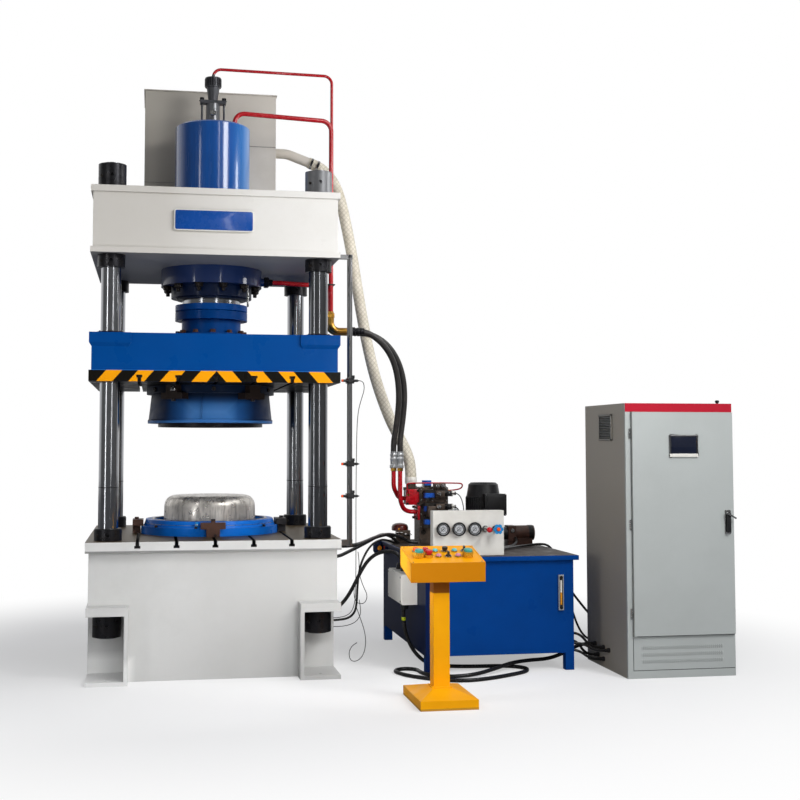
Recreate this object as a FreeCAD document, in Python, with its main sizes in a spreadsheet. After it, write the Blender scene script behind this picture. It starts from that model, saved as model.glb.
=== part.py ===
"""Four-column hydraulic press with its oil tank, power unit, push-button pedestal and control cabinet.

Millimetres. The origin is on the floor under the ram axis, +X to the operator's right, +Y to the rear,
+Z up. Every size lives in the sheet "Sizes", and each sub-part is bound to it.
"""
import FreeCAD
import Part
import math
import os
import re
import Sketcher
from FreeCAD import Rotation, Vector

SIZES = {
    # press frame
    "plate_width": (1660, "bed top plate, side to side"),
    "plate_depth": (1694, "bed top plate, front to rear"),
    "bed_height": (900, "floor to the top of the bed"),
    "bed_plate": (70, "thickness of the bed top plate"),
    "body_width": (1620, "bodies of bed and crown between their plates, side to side"),
    "bed_body_depth": (1560, "bed body, front to rear"),
    "foot_spread": (250, "outside width over the column feet beyond the column spacing"),
    "foot_reach": (1836, "outside depth over the column feet"),
    "foot_width": (266, "one column foot, side to side"),
    "foot_plate": (25, "thickness of the foot plate on the floor"),
    "foot_side_plate": (26, "upright inner plate of a column foot"),
    "ledge_bottom": (436, "floor to the underside of the ledge that carries a column"),
    "ledge_plate": (55, "thickness of that ledge"),
    "pocket_back": (576, "centre plane to the back wall of a foot pocket"),
    "anchor_spacing_side": (1380, "anchor holes, side to side"),
    "anchor_spacing_deep": (1700, "anchor holes, front to rear"),
    "anchor_hole": (26, "diameter of an anchor hole"),
    "crown_width": (1650, "crown plates, side to side"),
    "crown_depth": (1622, "crown plates, front to rear"),
    "crown_body_depth": (1592, "crown body, front to rear"),
    "crown_bottom": (2783, "floor to the underside of the crown"),
    "crown_height": (445, "crown, underside to top"),
    "crown_top_plate": (42, "thickness of the crown top plate"),
    "crown_bottom_plate": (38, "thickness of the crown bottom plate"),
    # tie columns
    "column_diameter": (130, "tie column"),
    "column_spacing_side": (1384, "column axes, side to side"),
    "column_spacing_deep": (1358, "column axes, front to rear"),
    "column_overhang": (8, "column end beyond its nut"),
    "nut_diameter": (184, "round tie nut"),
    "tie_nut_height": (158, "round tie nut"),
    "collar_diameter": (180, "locating collars against crown and bed"),
    "crown_collar_height": (85, "collar under the crown"),
    "bed_collar_height": (72, "collar on the bed"),
    "spanner_hole": (24, "spanner holes round nuts and collars"),
    "spanner_hole_deep": (20, "depth of a spanner hole"),
    "fit_gap": (0.1, "radial clearance of parts that seat on a shaft or in a bore"),
    "running_gap": (0.4, "radial clearance of the slide on its columns and of the ram in the cylinder"),
    "turning_gap": (0.3, "radial clearance of small parts that turn or slide in a hole"),
    # T-slots
    "slot_pitch": (250, "T-slots in bed and slide, axis to axis"),
    "slot_neck": (22, "T-slot neck"),
    "slot_head": (37, "T-slot head"),
    "slot_head_height": (16, "T-slot head"),
    "slot_depth": (42, "T-slot, face to bottom"),
    # slide
    "slide_width": (1648, "slide plate and corner pads, side to side"),
    "slide_depth": (1658, "slide plate and corner pads, front to rear"),
    "slide_body_width": (1616, "slide body, side to side"),
    "slide_body_depth": (1628, "slide body, front to rear"),
    "slide_bottom": (1937, "floor to the slide face, ram up"),
    "slide_height": (320, "slide face to slide top"),
    "slide_plate": (73, "striped bottom plate of the slide"),
    "pad_side": (268, "corner pad, measured along either edge"),
    "pad_height": (67, "corner pad, downwards from the slide top"),
    "pad_skirt": (27, "slope under the corner pad"),
    "wiper_diameter": (180, "wiper ring on the slide"),
    "wiper_height": (12, "wiper ring on the slide"),
    "boss_diameter": (530, "ring on the slide round the ram neck"),
    "boss_height": (60, "that ring"),
    "neck_diameter": (424, "ram neck on the slide"),
    "neck_height": (158, "slide top to the neck flange"),
    "ram_flange_diameter": (518, "both ram flanges"),
    "neck_flange_height": (62, "flange on the neck"),
    "ram_flange_height": (46, "split ring flange round the rod"),
    "flange_groove": (2, "joint between the two ram flanges"),
    "rod_seat": (215, "depth of the rod in the neck"),
    # main cylinder
    "cylinder_diameter": (540, "barrel outside"),
    "cylinder_bore": (450, "barrel bore"),
    "cylinder_top": (3836, "floor to the top of the barrel"),
    "cylinder_head": (116, "thickness of the closed end"),
    "cylinder_flange_diameter": (724, "flange under the crown"),
    "cylinder_flange_height": (123, "flange under the crown"),
    "gland_diameter": (578, "rod gland under the flange"),
    "gland_height": (95, "rod gland under the flange"),
    "rod_diameter": (418, "chromed rod"),
    "piston_top": (3680, "floor to the top of the piston, ram up"),
    "piston_height": (200, "piston"),
    "head_port": (60, "port through the closed end"),
    # prefill valve
    "valve_stem_diameter": (100, "prefill valve barrel"),
    "valve_stem_height": (181, "prefill valve barrel"),
    "valve_bridge_length": (188, "bridge over the barrel"),
    "valve_bridge_depth": (70, "bridge over the barrel"),
    "valve_bridge_height": (23, "bridge over the barrel"),
    "valve_post_diameter": (16, "posts under the bridge"),
    "valve_post_spacing": (160, "posts under the bridge, axis to axis"),
    "valve_cone_low": (66, "diameter at the foot of the cone"),
    "valve_cone_top": (96, "diameter at the top of the cone"),
    "valve_cone_height": (100, "cone under the cap"),
    "valve_cap_diameter": (116, "knurled cap"),
    "valve_cap_height": (70, "knurled cap"),
    # upper oil tank
    "header_width": (984, "upper tank, side to side"),
    "header_front": (300, "ram axis to the front of the upper tank"),
    "header_depth": (500, "upper tank, front to rear"),
    "header_top": (4183, "floor to the top of the upper tank"),
    "header_wall": (6, "sheet of the upper tank"),
    "outlet_height": (3800, "floor to the axis of the tank outlet"),
    "outlet_diameter": (76, "outlet pipe"),
    "outlet_bore": (66, "outlet pipe"),
    # rigid pipes on the press
    "pilot_pipe": (22, "pilot pipe"),
    "pressure_pipe": (34, "pressure pipes"),
    "pipe_clearance": (62, "crown body to the axes of the pipes beside it"),
    "pipe_drop": (317, "crown underside to the lower ends of the pipes"),
    "port_boss": (60, "boss of the lower cylinder port"),
    "port_reach": (18, "that boss beyond the cylinder flange"),
    "elbow_drop": (106, "pipe end to the hose end of an elbow"),
    "elbow_reach": (160, "pipe to the hose end of an elbow, sideways"),
    "hose_end": (1470, "floor to the lower ends of the pressure hoses"),
    "hose_back": (190, "ram axis plane to those ends, rearwards"),
    "hose_room": (214, "front hose's lower end to the valve manifold, sideways"),
    "hose_pitch": (50, "front to rear hose, lower ends"),
    # tooling
    "die_plate_diameter": (910, "plate of the upper die"),
    "die_plate": (55, "thickness of that plate"),
    "die_top_diameter": (842, "die body under the plate"),
    "die_rim_diameter": (892, "die body at its rim"),
    "die_rim_height": (24, "upright rim of the die"),
    "die_rim_bottom": (1676, "floor to the rim, ram up"),
    "die_cavity_diameter": (700, "cavity inside the die"),
    "die_cavity_top": (1852, "floor to the cavity's roof, ram up"),
    "insert_diameter": (746, "draw ring outside"),
    "insert_bore": (680, "draw ring bore"),
    "insert_height": (70, "draw ring"),
    "insert_bottom": (1650, "floor to the draw ring, ram up"),
    "holder_diameter": (968, "blank holder at its foot"),
    "holder_step_height": (54, "lower step of the blank holder"),
    "holder_upper_diameter": (930, "blank holder above the step"),
    "holder_rim_diameter": (900, "blank holder at its rim"),
    "holder_bore": (786, "blank holder bore"),
    "holder_height": (100, "blank holder"),
    "punch_diameter": (656, "forming punch at its foot"),
    "punch_top_diameter": (640, "forming punch at its shoulder"),
    "punch_height": (265, "forming punch"),
    "punch_corner": (75, "rounding of the punch"),
    "clamp_bar": (168, "T clamp, bar length"),
    "clamp_bar_height": (43, "T clamp, bar"),
    "clamp_stem": (90, "T clamp, stem width"),
    "clamp_depth": (56, "T clamp, front to rear of the stem"),
    "clamp_bite": (26, "T clamp, reach over the clamped flange"),
    "clamp_clearance": (3, "T clamp stem to the clamped flange"),
    "clamp_bolt": (30, "T clamp, bolt head"),
    # sensor pole
    "pole_side": (900, "ram axis to the sensor pole, sideways"),
    "pole_front": (740, "ram axis to the sensor pole, forwards"),
    "pole_diameter": (36, "sensor pole"),
    "pole_bracket": (30, "width of the pole's brackets"),
    "sensor_low": (1181, "floor to the lowest sensor"),
    "sensor_middle": (1396, "floor to the middle sensor"),
    "sensor_high": (1956, "floor to the highest sensor"),
    "sensor_diameter": (18, "sensor barrel"),
    "sensor_length": (92, "sensor barrel"),
    # power unit
    "unit_left": (1394, "ram axis to the left side of the reservoir"),
    "unit_width": (1032, "reservoir, side to side"),
    "unit_front": (-870, "ram axis plane to the front of the reservoir"),
    "unit_depth": (1530, "reservoir, front to rear"),
    "unit_bottom": (116, "floor to the reservoir floor"),
    "unit_top": (760, "floor to the reservoir rim"),
    "unit_wall": (6, "reservoir sheet"),
    "unit_leg": (60, "side of a reservoir leg"),
    "lid_plate": (14, "reservoir lid"),
    "lid_overhang": (26, "lid beyond the reservoir"),
    "lug_length": (120, "lifting lug along the reservoir"),
    "lug_reach": (60, "lifting lug above the hole's foot"),
    "lug_hole": (36, "hole in the lifting lug"),
    "lug_plate": (16, "lifting lug thickness"),
    "motor_side": (2062, "ram axis to the motor axis, sideways"),
    "motor_back": (120, "ram axis to the motor axis, rearwards"),
    "motor_diameter": (256, "motor body"),
    "motor_foot": (86, "bell housing between lid and motor"),
    "motor_body_height": (270, "motor body"),
    "motor_cowl_height": (105, "fan cowl"),
    "motor_cowl_top": (222, "fan cowl diameter at the top"),
    "motor_shell": (12, "motor body wall"),
    "motor_shaft": (38, "motor shaft"),
    "pump_diameter": (150, "pump under the lid"),
    "pump_height": (260, "pump under the lid"),
    "manifold_room": (336, "left face of the valve manifold to the motor"),
    "manifold_width": (222, "valve manifold"),
    "manifold_front": (250, "ram axis plane to the front of the manifold"),
    "manifold_depth": (200, "valve manifold"),
    "manifold_height": (424, "valve manifold"),
    "feed_room": (6, "motor to the feed pump"),
    "feed_length": (236, "feed pump set"),
    "feed_back": (60, "ram axis to the feed pump axis, rearwards"),
    "feed_diameter": (112, "feed pump set"),
    "feed_foot": (30, "feet under the feed pump"),
    "panel_left": (1464, "ram axis to the gauge panel"),
    "panel_width": (496, "gauge panel"),
    "panel_front": (-790, "ram axis plane to the front of the gauge panel"),
    "panel_depth": (80, "gauge panel, depth of its folded sides"),
    "panel_height": (302, "gauge panel"),
    "panel_sheet": (4, "gauge panel sheet"),
    "panel_axis": (180, "lid to the gauge axes"),
    "gauge_diameter": (92, "pressure gauge"),
    "gauge_pitch": (110, "pressure gauges, axis to axis"),
    "gauge_first": (67, "panel edge to the first gauge"),
    "gauge_deep": (24, "gauge case in front of the panel"),
    "gauge_dial": (74, "dial"),
    "needle_length": (30, "gauge needle, axis to tip"),
    "needle_width": (3, "gauge needle"),
    "relief_offset": (362, "panel edge to the relief valve"),
    "relief_stem": (16, "stem of the relief valve"),
    "wheel_offset": (436, "panel edge to the shut-off handwheel"),
    "wheel_stem": (14, "stem of the shut-off handwheel"),
    "level_left": (2316, "ram axis to the level gauge"),
    "level_width": (36, "level gauge"),
    "level_bottom": (404, "floor to the level gauge"),
    "level_height": (238, "level gauge"),
    "junction_length": (484, "junction box along the reservoir"),
    "junction_front": (-606, "ram axis plane to the front of the junction box"),
    "junction_depth": (104, "junction box, out from the reservoir"),
    "junction_bottom": (426, "floor to the junction box"),
    "junction_height": (208, "junction box"),
    # push-button pedestal
    "stand_side": (1290, "ram axis to the pedestal column, sideways"),
    "stand_front": (-1727, "ram axis plane to the pedestal column"),
    "stand_base_width": (345, "pedestal foot, side to side"),
    "stand_base_depth": (502, "pedestal foot, front to rear"),
    "stand_base_edge": (56, "pedestal foot, upright edge"),
    "stand_base_top": (92, "pedestal foot, top of its slopes"),
    "stand_top_width": (130, "flat top of the foot, side to side"),
    "stand_top_depth": (170, "flat top of the foot, front to rear"),
    "stand_column": (98, "pedestal column, square"),
    "desk_width": (450, "push-button box, side to side"),
    "desk_depth": (316, "push-button box, front to rear"),
    "desk_back_height": (904, "floor to the rear edge of the panel"),
    "desk_front_height": (831, "floor to the front edge of the panel"),
    "desk_thickness": (112, "push-button box, upright"),
    "desk_wall": (3, "push-button box sheet"),
    "desk_shift": (22, "box axis to column axis, sideways"),
    "button_hole": (22, "hole for a control"),
    "button_travel": (5, "travel of the push buttons"),
    "collar_height": (4, "collars round the controls"),
    "button_pitch": (60, "controls, side to side"),
    "button_first": (71, "left edge to the first control"),
    "row_back": (110, "rear edge to the back row, along the panel"),
    "row_front": (207, "rear edge to the front row, along the panel"),
    # control cabinet
    "cabinet_left": (2660, "ram axis to the left side of the cabinet"),
    "cabinet_width": (752, "cabinet"),
    "cabinet_front": (-1253, "ram axis plane to the front of the cabinet"),
    "cabinet_depth": (765, "cabinet"),
    "cabinet_height": (1800, "cabinet"),
    "cabinet_wall": (4, "cabinet sheet"),
    "cabinet_frame": (38, "folded frame round the door opening"),
    "door_left": (40, "cabinet side to the door"),
    "door_bottom": (276, "floor to the door"),
    "door_top": (1739, "floor to the top of the door"),
    "door_thickness": (20, "door"),
    "door_gap": (2, "door to its frame"),
    "hinge_inset": (6, "door edge to the hinge axis"),
    "hinge_pin": (6, "hinge pin"),
    "hinge_plate": (5, "thickness of the hinge brackets above and below the door"),
    "hinge_play": (0.5, "hinge bracket to the door"),
    "sill_bottom": (50, "floor to the louvred panel"),
    "sill_height": (206, "louvred panel"),
    "louvre_length": (560, "louvre row"),
    "louvre_pitch": (44, "louvre rows"),
    "screen_left": (298, "cabinet side to the touch screen"),
    "screen_width": (196, "touch screen"),
    "screen_height": (142, "touch screen"),
    "screen_bottom": (1446, "floor to the touch screen"),
    "handle_left": (700, "cabinet side to the handle axis"),
    "handle_height": (1052, "floor to the handle axis"),
    "handle_pivot": (20, "pivot of the handle"),
    "gland_size": (24, "cable gland"),
    # hoses and cables
    "suction_hose_size": (86, "hose from the upper tank"),
    "pressure_hose_size": (44, "hoses to the pressure pipes"),
    "ferrule_size": (48, "ferrules and elbows of those hoses"),
    "ferrule_length": (120, "ferrules of those hoses"),
    "signal_cable_size": (26, "cables from press to power unit"),
    "floor_cable_size": (26, "cable on the floor"),
}

DERIVED = {
    "foot_span": ("=column_spacing_side + foot_spread", "outside width over the column feet"),
    "pipe_side": ("=body_width / 2 + pipe_clearance", "ram axis to the pipes beside the crown"),
    "pipe_end": ("=crown_bottom - pipe_drop", "floor to the lower ends of the pipes"),
    "manifold_left": ("=motor_side - motor_diameter / 2 - manifold_room", "ram axis to the valve manifold"),
    "hose_left": ("=manifold_left - hose_room", "ram axis to the front hose's lower end"),
    "feed_left": ("=motor_side + motor_diameter / 2 + feed_room", "ram axis to the feed pump"),
}

doc = FreeCAD.newDocument("hydraulic_press")
sheet = doc.addObject("Spreadsheet::Sheet", "Sizes")
for row, (alias, (number, meaning)) in enumerate((SIZES | DERIVED).items(), start=1):
    sheet.set(f"A{row}", meaning)
    sheet.set(f"B{row}", str(number))
    sheet.setAlias(f"B{row}", alias)
doc.recompute()

ALIAS = re.compile(r"[a-z]+(?:_[a-z]+)+")
CORNERS = ((-1, -1), (1, -1), (1, 1), (-1, 1))
nodes = []


# ---- working with the sheet ------------------------------------------------------------------
def formula(text):
    """Turn "bed_height - bed_plate" into an expression on the sheet."""
    return ALIAS.sub(lambda word: "Sizes." + word.group(0), str(text))


def bind(thing, **formulas):
    """Bind properties such as Length or Radius to formulas."""
    for name, text in formulas.items():
        thing.setExpression(name, formula(text))


def measure(text):
    """Value of a formula now, as a number."""
    value = sheet.evalExpression(formula(text))
    return float(getattr(value, "Value", value))


def place(thing, at_x=0, at_y=0, at_z=0, turn=None):
    """Bind the place of an object, after an optional turn."""
    if turn is not None:
        thing.Placement = FreeCAD.Placement(Vector(), turn)
    for axis, text in (("x", at_x), ("y", at_y), ("z", at_z)):
        thing.setExpression(f".Placement.Base.{axis}", formula(text))
    return thing


def node(thing, name):
    """Name an object as a sub-part of the press."""
    thing.Label = name
    nodes.append(thing)
    return thing


# ---- shapes ----------------------------------------------------------------------------------
def box(name, size_x, size_y, size_z, at_x, at_y, at_z):
    """Box from its low corner."""
    made = doc.addObject("Part::Box", name)
    bind(made, Length=size_x, Width=size_y, Height=size_z)
    return place(made, at_x, at_y, at_z)


def centred_box(name, size_x, size_y, size_z, at_x, at_y, at_z):
    """Box centred in plan on a point, standing on at_z."""
    return box(name, size_x, size_y, size_z,
               f"{at_x} - ({size_x}) / 2", f"{at_y} - ({size_y}) / 2", at_z)


ALONG = {"x": Rotation(Vector(0, 1, 0), 90), "y": Rotation(Vector(1, 0, 0), -90), "z": None}


def rod(name, diameter, length, at_x, at_y, at_z, along="z"):
    """Cylinder from a point, towards +X, +Y or +Z."""
    made = doc.addObject("Part::Cylinder", name)
    bind(made, Radius=f"({diameter}) / 2", Height=length)
    return place(made, at_x, at_y, at_z, ALONG[along])


def cone(name, low, high, length, at_x, at_y, at_z, along="z"):
    """Cone from a point, given by its two diameters."""
    made = doc.addObject("Part::Cone", name)
    bind(made, Radius1=f"({low}) / 2", Radius2=f"({high}) / 2", Height=length)
    return place(made, at_x, at_y, at_z, ALONG[along])


def cut(name, base, *tools):
    """Base without the tools."""
    made = doc.addObject("Part::Cut", name)
    made.Base = base
    made.Tool = tools[0] if len(tools) == 1 else fuse(name + "_tools", *tools)
    return made


def fuse(name, *shapes):
    """One solid of several."""
    made = doc.addObject("Part::MultiFuse", name)
    made.Shapes = list(shapes)
    made.Refine = True
    return made


def group(name, shapes):
    """Several solids under one name."""
    made = doc.addObject("Part::Compound", name)
    made.Links = list(shapes)
    return made


def sketched(body, plane, outline, name):
    """Closed polygon in a body; each corner is held by the two formulas it is given."""
    sketch = body.newObject("Sketcher::SketchObject", name)
    sketch.AttachmentSupport = [(next(f for f in body.Origin.OriginFeatures if f.Role == plane), "")]
    sketch.MapMode = "FlatFace"
    corners = [Vector(measure(across), measure(up), 0) for across, up in outline]
    for start, end in zip(corners, corners[1:] + corners[:1]):
        sketch.addGeometry(Part.LineSegment(start, end))
    last = len(corners) - 1
    for index in range(len(corners)):
        sketch.addConstraint(Sketcher.Constraint("Coincident", index, 2, 0 if index == last else index + 1, 1))
    for index, (texts, corner) in enumerate(zip(outline, corners)):
        for kind, text, value, axis in (("DistanceX", texts[0], corner.x, -2), ("DistanceY", texts[1], corner.y, -1)):
            if str(text) == "0":
                sketch.addConstraint(Sketcher.Constraint("PointOnObject", index, 1, axis))
            else:
                held = sketch.addConstraint(Sketcher.Constraint(kind, -1, 1, index, 1, value))
                sketch.setExpression(f"Constraints[{held}]", formula(text))
    return sketch


def turned(name, outline):
    """Body turned about +Z from its half section, given as (radius, height)."""
    body = doc.addObject("PartDesign::Body", name)
    sketch = sketched(body, "XZ_Plane", outline, name + "_section")
    feature = body.newObject("PartDesign::Revolution", name + "_turned")
    feature.Profile = sketch
    feature.ReferenceAxis = (sketch, ["V_Axis"])
    feature.Angle = 360
    sketch.Visibility = False
    return body


def padded(name, plane, outline, length, reversed_pad=False):
    """Body padded square to one of its origin planes."""
    body = doc.addObject("PartDesign::Body", name)
    sketch = sketched(body, plane, outline, name + "_outline")
    feature = body.newObject("PartDesign::Pad", name + "_pad")
    feature.Profile = sketch
    feature.Reversed = reversed_pad
    bind(feature, Length=length)
    return body


def dressed(body, kind, chosen, size):
    """Fillet or chamfer the edges of a body that the function chosen picks."""
    doc.recompute()
    base = body.Tip
    names = [f"Edge{number}" for number, edge in enumerate(base.Shape.Edges, start=1) if chosen(edge)]
    feature = body.newObject("PartDesign::" + kind, body.Name + "_" + kind.lower())
    feature.Base = (base, names)
    bind(feature, **{"Radius" if kind == "Fillet" else "Size": size})
    body.Tip = feature
    return body


def circle_at(height, radius):
    """Chooser of round edges at a height with a radius."""
    def chosen(edge):
        curve = edge.Curve
        return (isinstance(curve, Part.Circle) and abs(curve.Radius - radius) < 0.01
                and abs(curve.Center.z - height) < 0.01)
    return chosen


# ---- tubes along a route ---------------------------------------------------------------------
def route_wire(points, bend=None):
    """Straight runs joined by tangent arcs, and the arcs' radii.

    Without a bend radius each arc is as large as its two runs allow.
    """
    edges, radii, start = [], [], points[0]
    for before, corner, after in zip(points, points[1:], points[2:]):
        back = (before - corner).normalize()
        ahead = (after - corner).normalize()
        half_turn = (math.pi - back.getAngle(ahead)) / 2
        if bend is None:
            reach = 0.45 * min(before.distanceToPoint(corner), after.distanceToPoint(corner))
            radius = reach / math.tan(half_turn)
        else:
            radius = bend
            reach = radius * math.tan(half_turn)
        inward = (back + ahead).normalize()
        middle = corner + inward * (radius / math.cos(half_turn) - radius)
        entry, leave = corner + back * reach, corner + ahead * reach
        edges += [Part.LineSegment(start, entry).toShape(), Part.Arc(entry, middle, leave).toShape()]
        radii.append(radius)
        start = leave
    edges.append(Part.LineSegment(start, points[-1]).toShape())
    return Part.Wire(edges), radii


def tube(name, points, diameter, bend=None, bore=0):
    """Tube along a route, checked against its section times its length."""
    points = [Vector(*point) for point in points]
    wire, radii = route_wire(points, bend)
    direction = points[1] - points[0]

    def swept(size):
        profile = Part.Wire(Part.makeCircle(size / 2, points[0], direction))
        return wire.makePipeShell([profile], True, False)

    shape = swept(diameter)
    expected = math.pi * diameter ** 2 / 4 * wire.Length
    if abs(shape.Volume - expected) > 0.01 * expected:
        raise ValueError(f"{name}: volume {shape.Volume:.0f}, expected {expected:.0f}")
    if bore:
        shape = shape.cut(swept(bore))
    if bend is None:
        print(f"{name}: length {wire.Length:.0f}, radii {', '.join(f'{r:.0f}' for r in radii)}")
    made = doc.addObject("Part::Feature", name)
    made.Shape = shape
    return made


# ---- press frame -----------------------------------------------------------------------------
def at_columns(name, make):
    """Copies of a piece at the four column axes."""
    return [make(f"{name}_{number}", f"{side} * column_spacing_side / 2", f"{deep} * column_spacing_deep / 2")
            for number, (side, deep) in enumerate(CORNERS)]


def slots(name, depth, face, upward):
    """Cutters for five T-slots from front to rear, opening at a face."""
    tools = []
    for step in (-2, -1, 0, 1, 2):
        centre = f"{step} * slot_pitch"
        neck_low = f"{face} - slot_depth" if upward else face
        head_low = f"{face} - slot_depth" if upward else f"{face} + slot_depth - slot_head_height"
        for part, width, height, low in (("neck", "slot_neck", "slot_depth", neck_low),
                                         ("head", "slot_head", "slot_head_height", head_low)):
            tools.append(centred_box(f"{name}_{part}_{step + 2}", width, depth, height, centre, 0, low))
    return tools


def make_bed():
    """Welded bed: top plate with T-slots, body, and four column feet with open pockets."""
    foot_height = "ledge_bottom + ledge_plate"
    solids = [
        centred_box("bed_body", "body_width", "bed_body_depth", "bed_height - bed_plate", 0, 0, 0),
        centred_box("bed_top", "plate_width", "plate_depth", "bed_plate", 0, 0, "bed_height - bed_plate"),
    ]
    tools = slots("bed_slot", "plate_depth + 2", "bed_height", upward=True)
    foot_deep = "foot_reach / 2 - pocket_back + foot_side_plate"
    for number, (side, deep) in enumerate(CORNERS):
        middle_x = f"{side} * (foot_span - foot_width) / 2"
        middle_y = f"{deep} * (foot_reach / 2 - ({foot_deep}) / 2)"
        solids.append(centred_box(f"bed_foot_{number}", "foot_width", foot_deep, foot_height,
                                  middle_x, middle_y, 0))
        pocket_x = f"{side} * (foot_span / 2 - (foot_width - foot_side_plate) / 2 + 5)"
        tools.append(centred_box(f"bed_pocket_{number}", "foot_width - foot_side_plate + 10",
                                 "foot_reach / 2 - pocket_back + 10", "ledge_bottom - foot_plate",
                                 pocket_x, f"{deep} * ((foot_reach / 2 + pocket_back) / 2 + 5)", "foot_plate"))
        tools.append(rod(f"bed_anchor_{number}", "anchor_hole", "foot_plate + 2",
                         f"{side} * anchor_spacing_side / 2", f"{deep} * anchor_spacing_deep / 2", "-1"))
    tools += at_columns("bed_bore", lambda name, x, y: rod(
        name, "column_diameter + 2 * fit_gap", "bed_height - ledge_bottom + 2", x, y, "ledge_bottom - 1"))
    node(cut("bed", fuse("bed_weldment", *solids), *tools), "bed")


def make_crown():
    """Welded crown between a top and a bottom plate, bored for the cylinder and the columns."""
    solids = [
        centred_box("crown_body", "body_width", "crown_body_depth",
                    "crown_height - crown_top_plate - crown_bottom_plate", 0, 0, "crown_bottom + crown_bottom_plate"),
        centred_box("crown_lower", "crown_width", "crown_depth", "crown_bottom_plate", 0, 0, "crown_bottom"),
        centred_box("crown_upper", "crown_width", "crown_depth", "crown_top_plate", 0, 0,
                    "crown_bottom + crown_height - crown_top_plate"),
    ]
    tools = [rod("crown_bore", "cylinder_diameter + 2 * fit_gap", "crown_height + 2", 0, 0, "crown_bottom - 1")]
    tools += at_columns("crown_column", lambda name, x, y: rod(
        name, "column_diameter + 2 * fit_gap", "crown_height + 2", x, y, "crown_bottom - 1"))
    node(cut("crown", fuse("crown_weldment", *solids), *tools), "crown")


def make_columns():
    """Four tie columns from under the ledges to above the crown."""
    low = "ledge_bottom - tie_nut_height - column_overhang"
    node(group("columns", at_columns("column", lambda name, x, y: rod(
        name, "column_diameter", f"crown_bottom + crown_height + tie_nut_height + column_overhang - ({low})",
        x, y, low))), "columns")


def round_nut(name, diameter, height, x, y, z):
    """Round nut on a column with four blind spanner holes."""
    tools = [rod(name + "_bore", "column_diameter + 2 * fit_gap", f"{height} + 2", x, y, f"{z} - 1")]
    middle = f"{z} + {height} / 2"
    tools += [
        rod(name + "_hole_right", "spanner_hole", "spanner_hole_deep",
            f"{x} + {diameter} / 2 - spanner_hole_deep", y, middle, "x"),
        rod(name + "_hole_left", "spanner_hole", "spanner_hole_deep", f"{x} - {diameter} / 2", y, middle, "x"),
        rod(name + "_hole_back", "spanner_hole", "spanner_hole_deep",
            x, f"{y} + {diameter} / 2 - spanner_hole_deep", middle, "y"),
        rod(name + "_hole_front", "spanner_hole", "spanner_hole_deep", x, f"{y} - {diameter} / 2", middle, "y"),
    ]
    return cut(name, rod(name + "_blank", diameter, height, x, y, z), *tools)


def make_nuts():
    """Tie nuts at both column ends, and the collars that locate crown and bed."""
    upper = at_columns("upper_nut", lambda name, x, y: round_nut(
        name, "nut_diameter", "tie_nut_height", x, y, "(crown_bottom + crown_height)"))
    lower = at_columns("lower_nut", lambda name, x, y: round_nut(
        name, "nut_diameter", "tie_nut_height", x, y, "(ledge_bottom - tie_nut_height)"))
    under_crown = at_columns("crown_collar", lambda name, x, y: round_nut(
        name, "collar_diameter", "crown_collar_height", x, y, "(crown_bottom - crown_collar_height)"))
    on_bed = at_columns("bed_collar", lambda name, x, y: round_nut(
        name, "collar_diameter", "bed_collar_height", x, y, "bed_height"))
    node(group("column_nuts", upper + lower + under_crown + on_bed), "column_nuts")


# ---- cylinder and ram ------------------------------------------------------------------------
def make_cylinder():
    """Barrel with its closed end and the flange under the crown, and the gland below it."""
    flange_low = "crown_bottom - cylinder_flange_height"
    barrel = turned("cylinder_body", [
        ("cylinder_bore / 2", flange_low),
        ("cylinder_flange_diameter / 2", flange_low),
        ("cylinder_flange_diameter / 2", "crown_bottom"),
        ("cylinder_diameter / 2", "crown_bottom"),
        ("cylinder_diameter / 2", "cylinder_top"),
        ("head_port / 2", "cylinder_top"),
        ("head_port / 2", "cylinder_top - cylinder_head"),
        ("cylinder_bore / 2", "cylinder_top - cylinder_head"),
    ])
    dressed(barrel, "Chamfer", circle_at(measure("cylinder_top"), measure("cylinder_diameter / 2")), 12)
    boss = rod("rod_side_boss", "port_boss", "port_reach + 20", "cylinder_flange_diameter / 2 - 20", 0,
               "crown_bottom - cylinder_flange_height * 0.6", "x")
    node(fuse("cylinder_whole", barrel, boss), "main_cylinder")
    gland_low = f"{flange_low} - gland_height"
    gland = turned("gland_body", [
        ("rod_diameter / 2 + running_gap", gland_low),
        ("gland_diameter / 2 - 40", gland_low),
        ("gland_diameter / 2 - 40", f"{gland_low} + 12"),
        ("gland_diameter / 2", f"{gland_low} + 12"),
        ("gland_diameter / 2", flange_low),
        ("rod_diameter / 2 + running_gap", flange_low),
    ])
    node(gland, "rod_gland")


def make_ram():
    """Piston and chromed rod in one piece, down into the neck of the slide."""
    seat = "slide_bottom + slide_height + neck_height + neck_flange_height - rod_seat"
    piston = "cylinder_bore / 2 - running_gap"
    ram = turned("ram_body", [
        ("0", seat),
        ("rod_diameter / 2 - fit_gap", seat),
        ("rod_diameter / 2 - fit_gap", "piston_top - piston_height"),
        (piston, "piston_top - piston_height"),
        (piston, "piston_top"),
        ("0", "piston_top"),
    ])
    dressed(ram, "Chamfer", circle_at(measure("piston_top"), measure(piston)), 6)
    node(ram, "ram")
    flange_low = "slide_bottom + slide_height + neck_height + neck_flange_height + flange_groove"
    flange = turned("ram_flange_body", [
        ("rod_diameter / 2", flange_low),
        ("ram_flange_diameter / 2 - 4", flange_low),
        ("ram_flange_diameter / 2", f"{flange_low} + 4"),
        ("ram_flange_diameter / 2", f"{flange_low} + ram_flange_height"),
        ("rod_diameter / 2", f"{flange_low} + ram_flange_height"),
    ])
    node(flange, "ram_flange")


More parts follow.
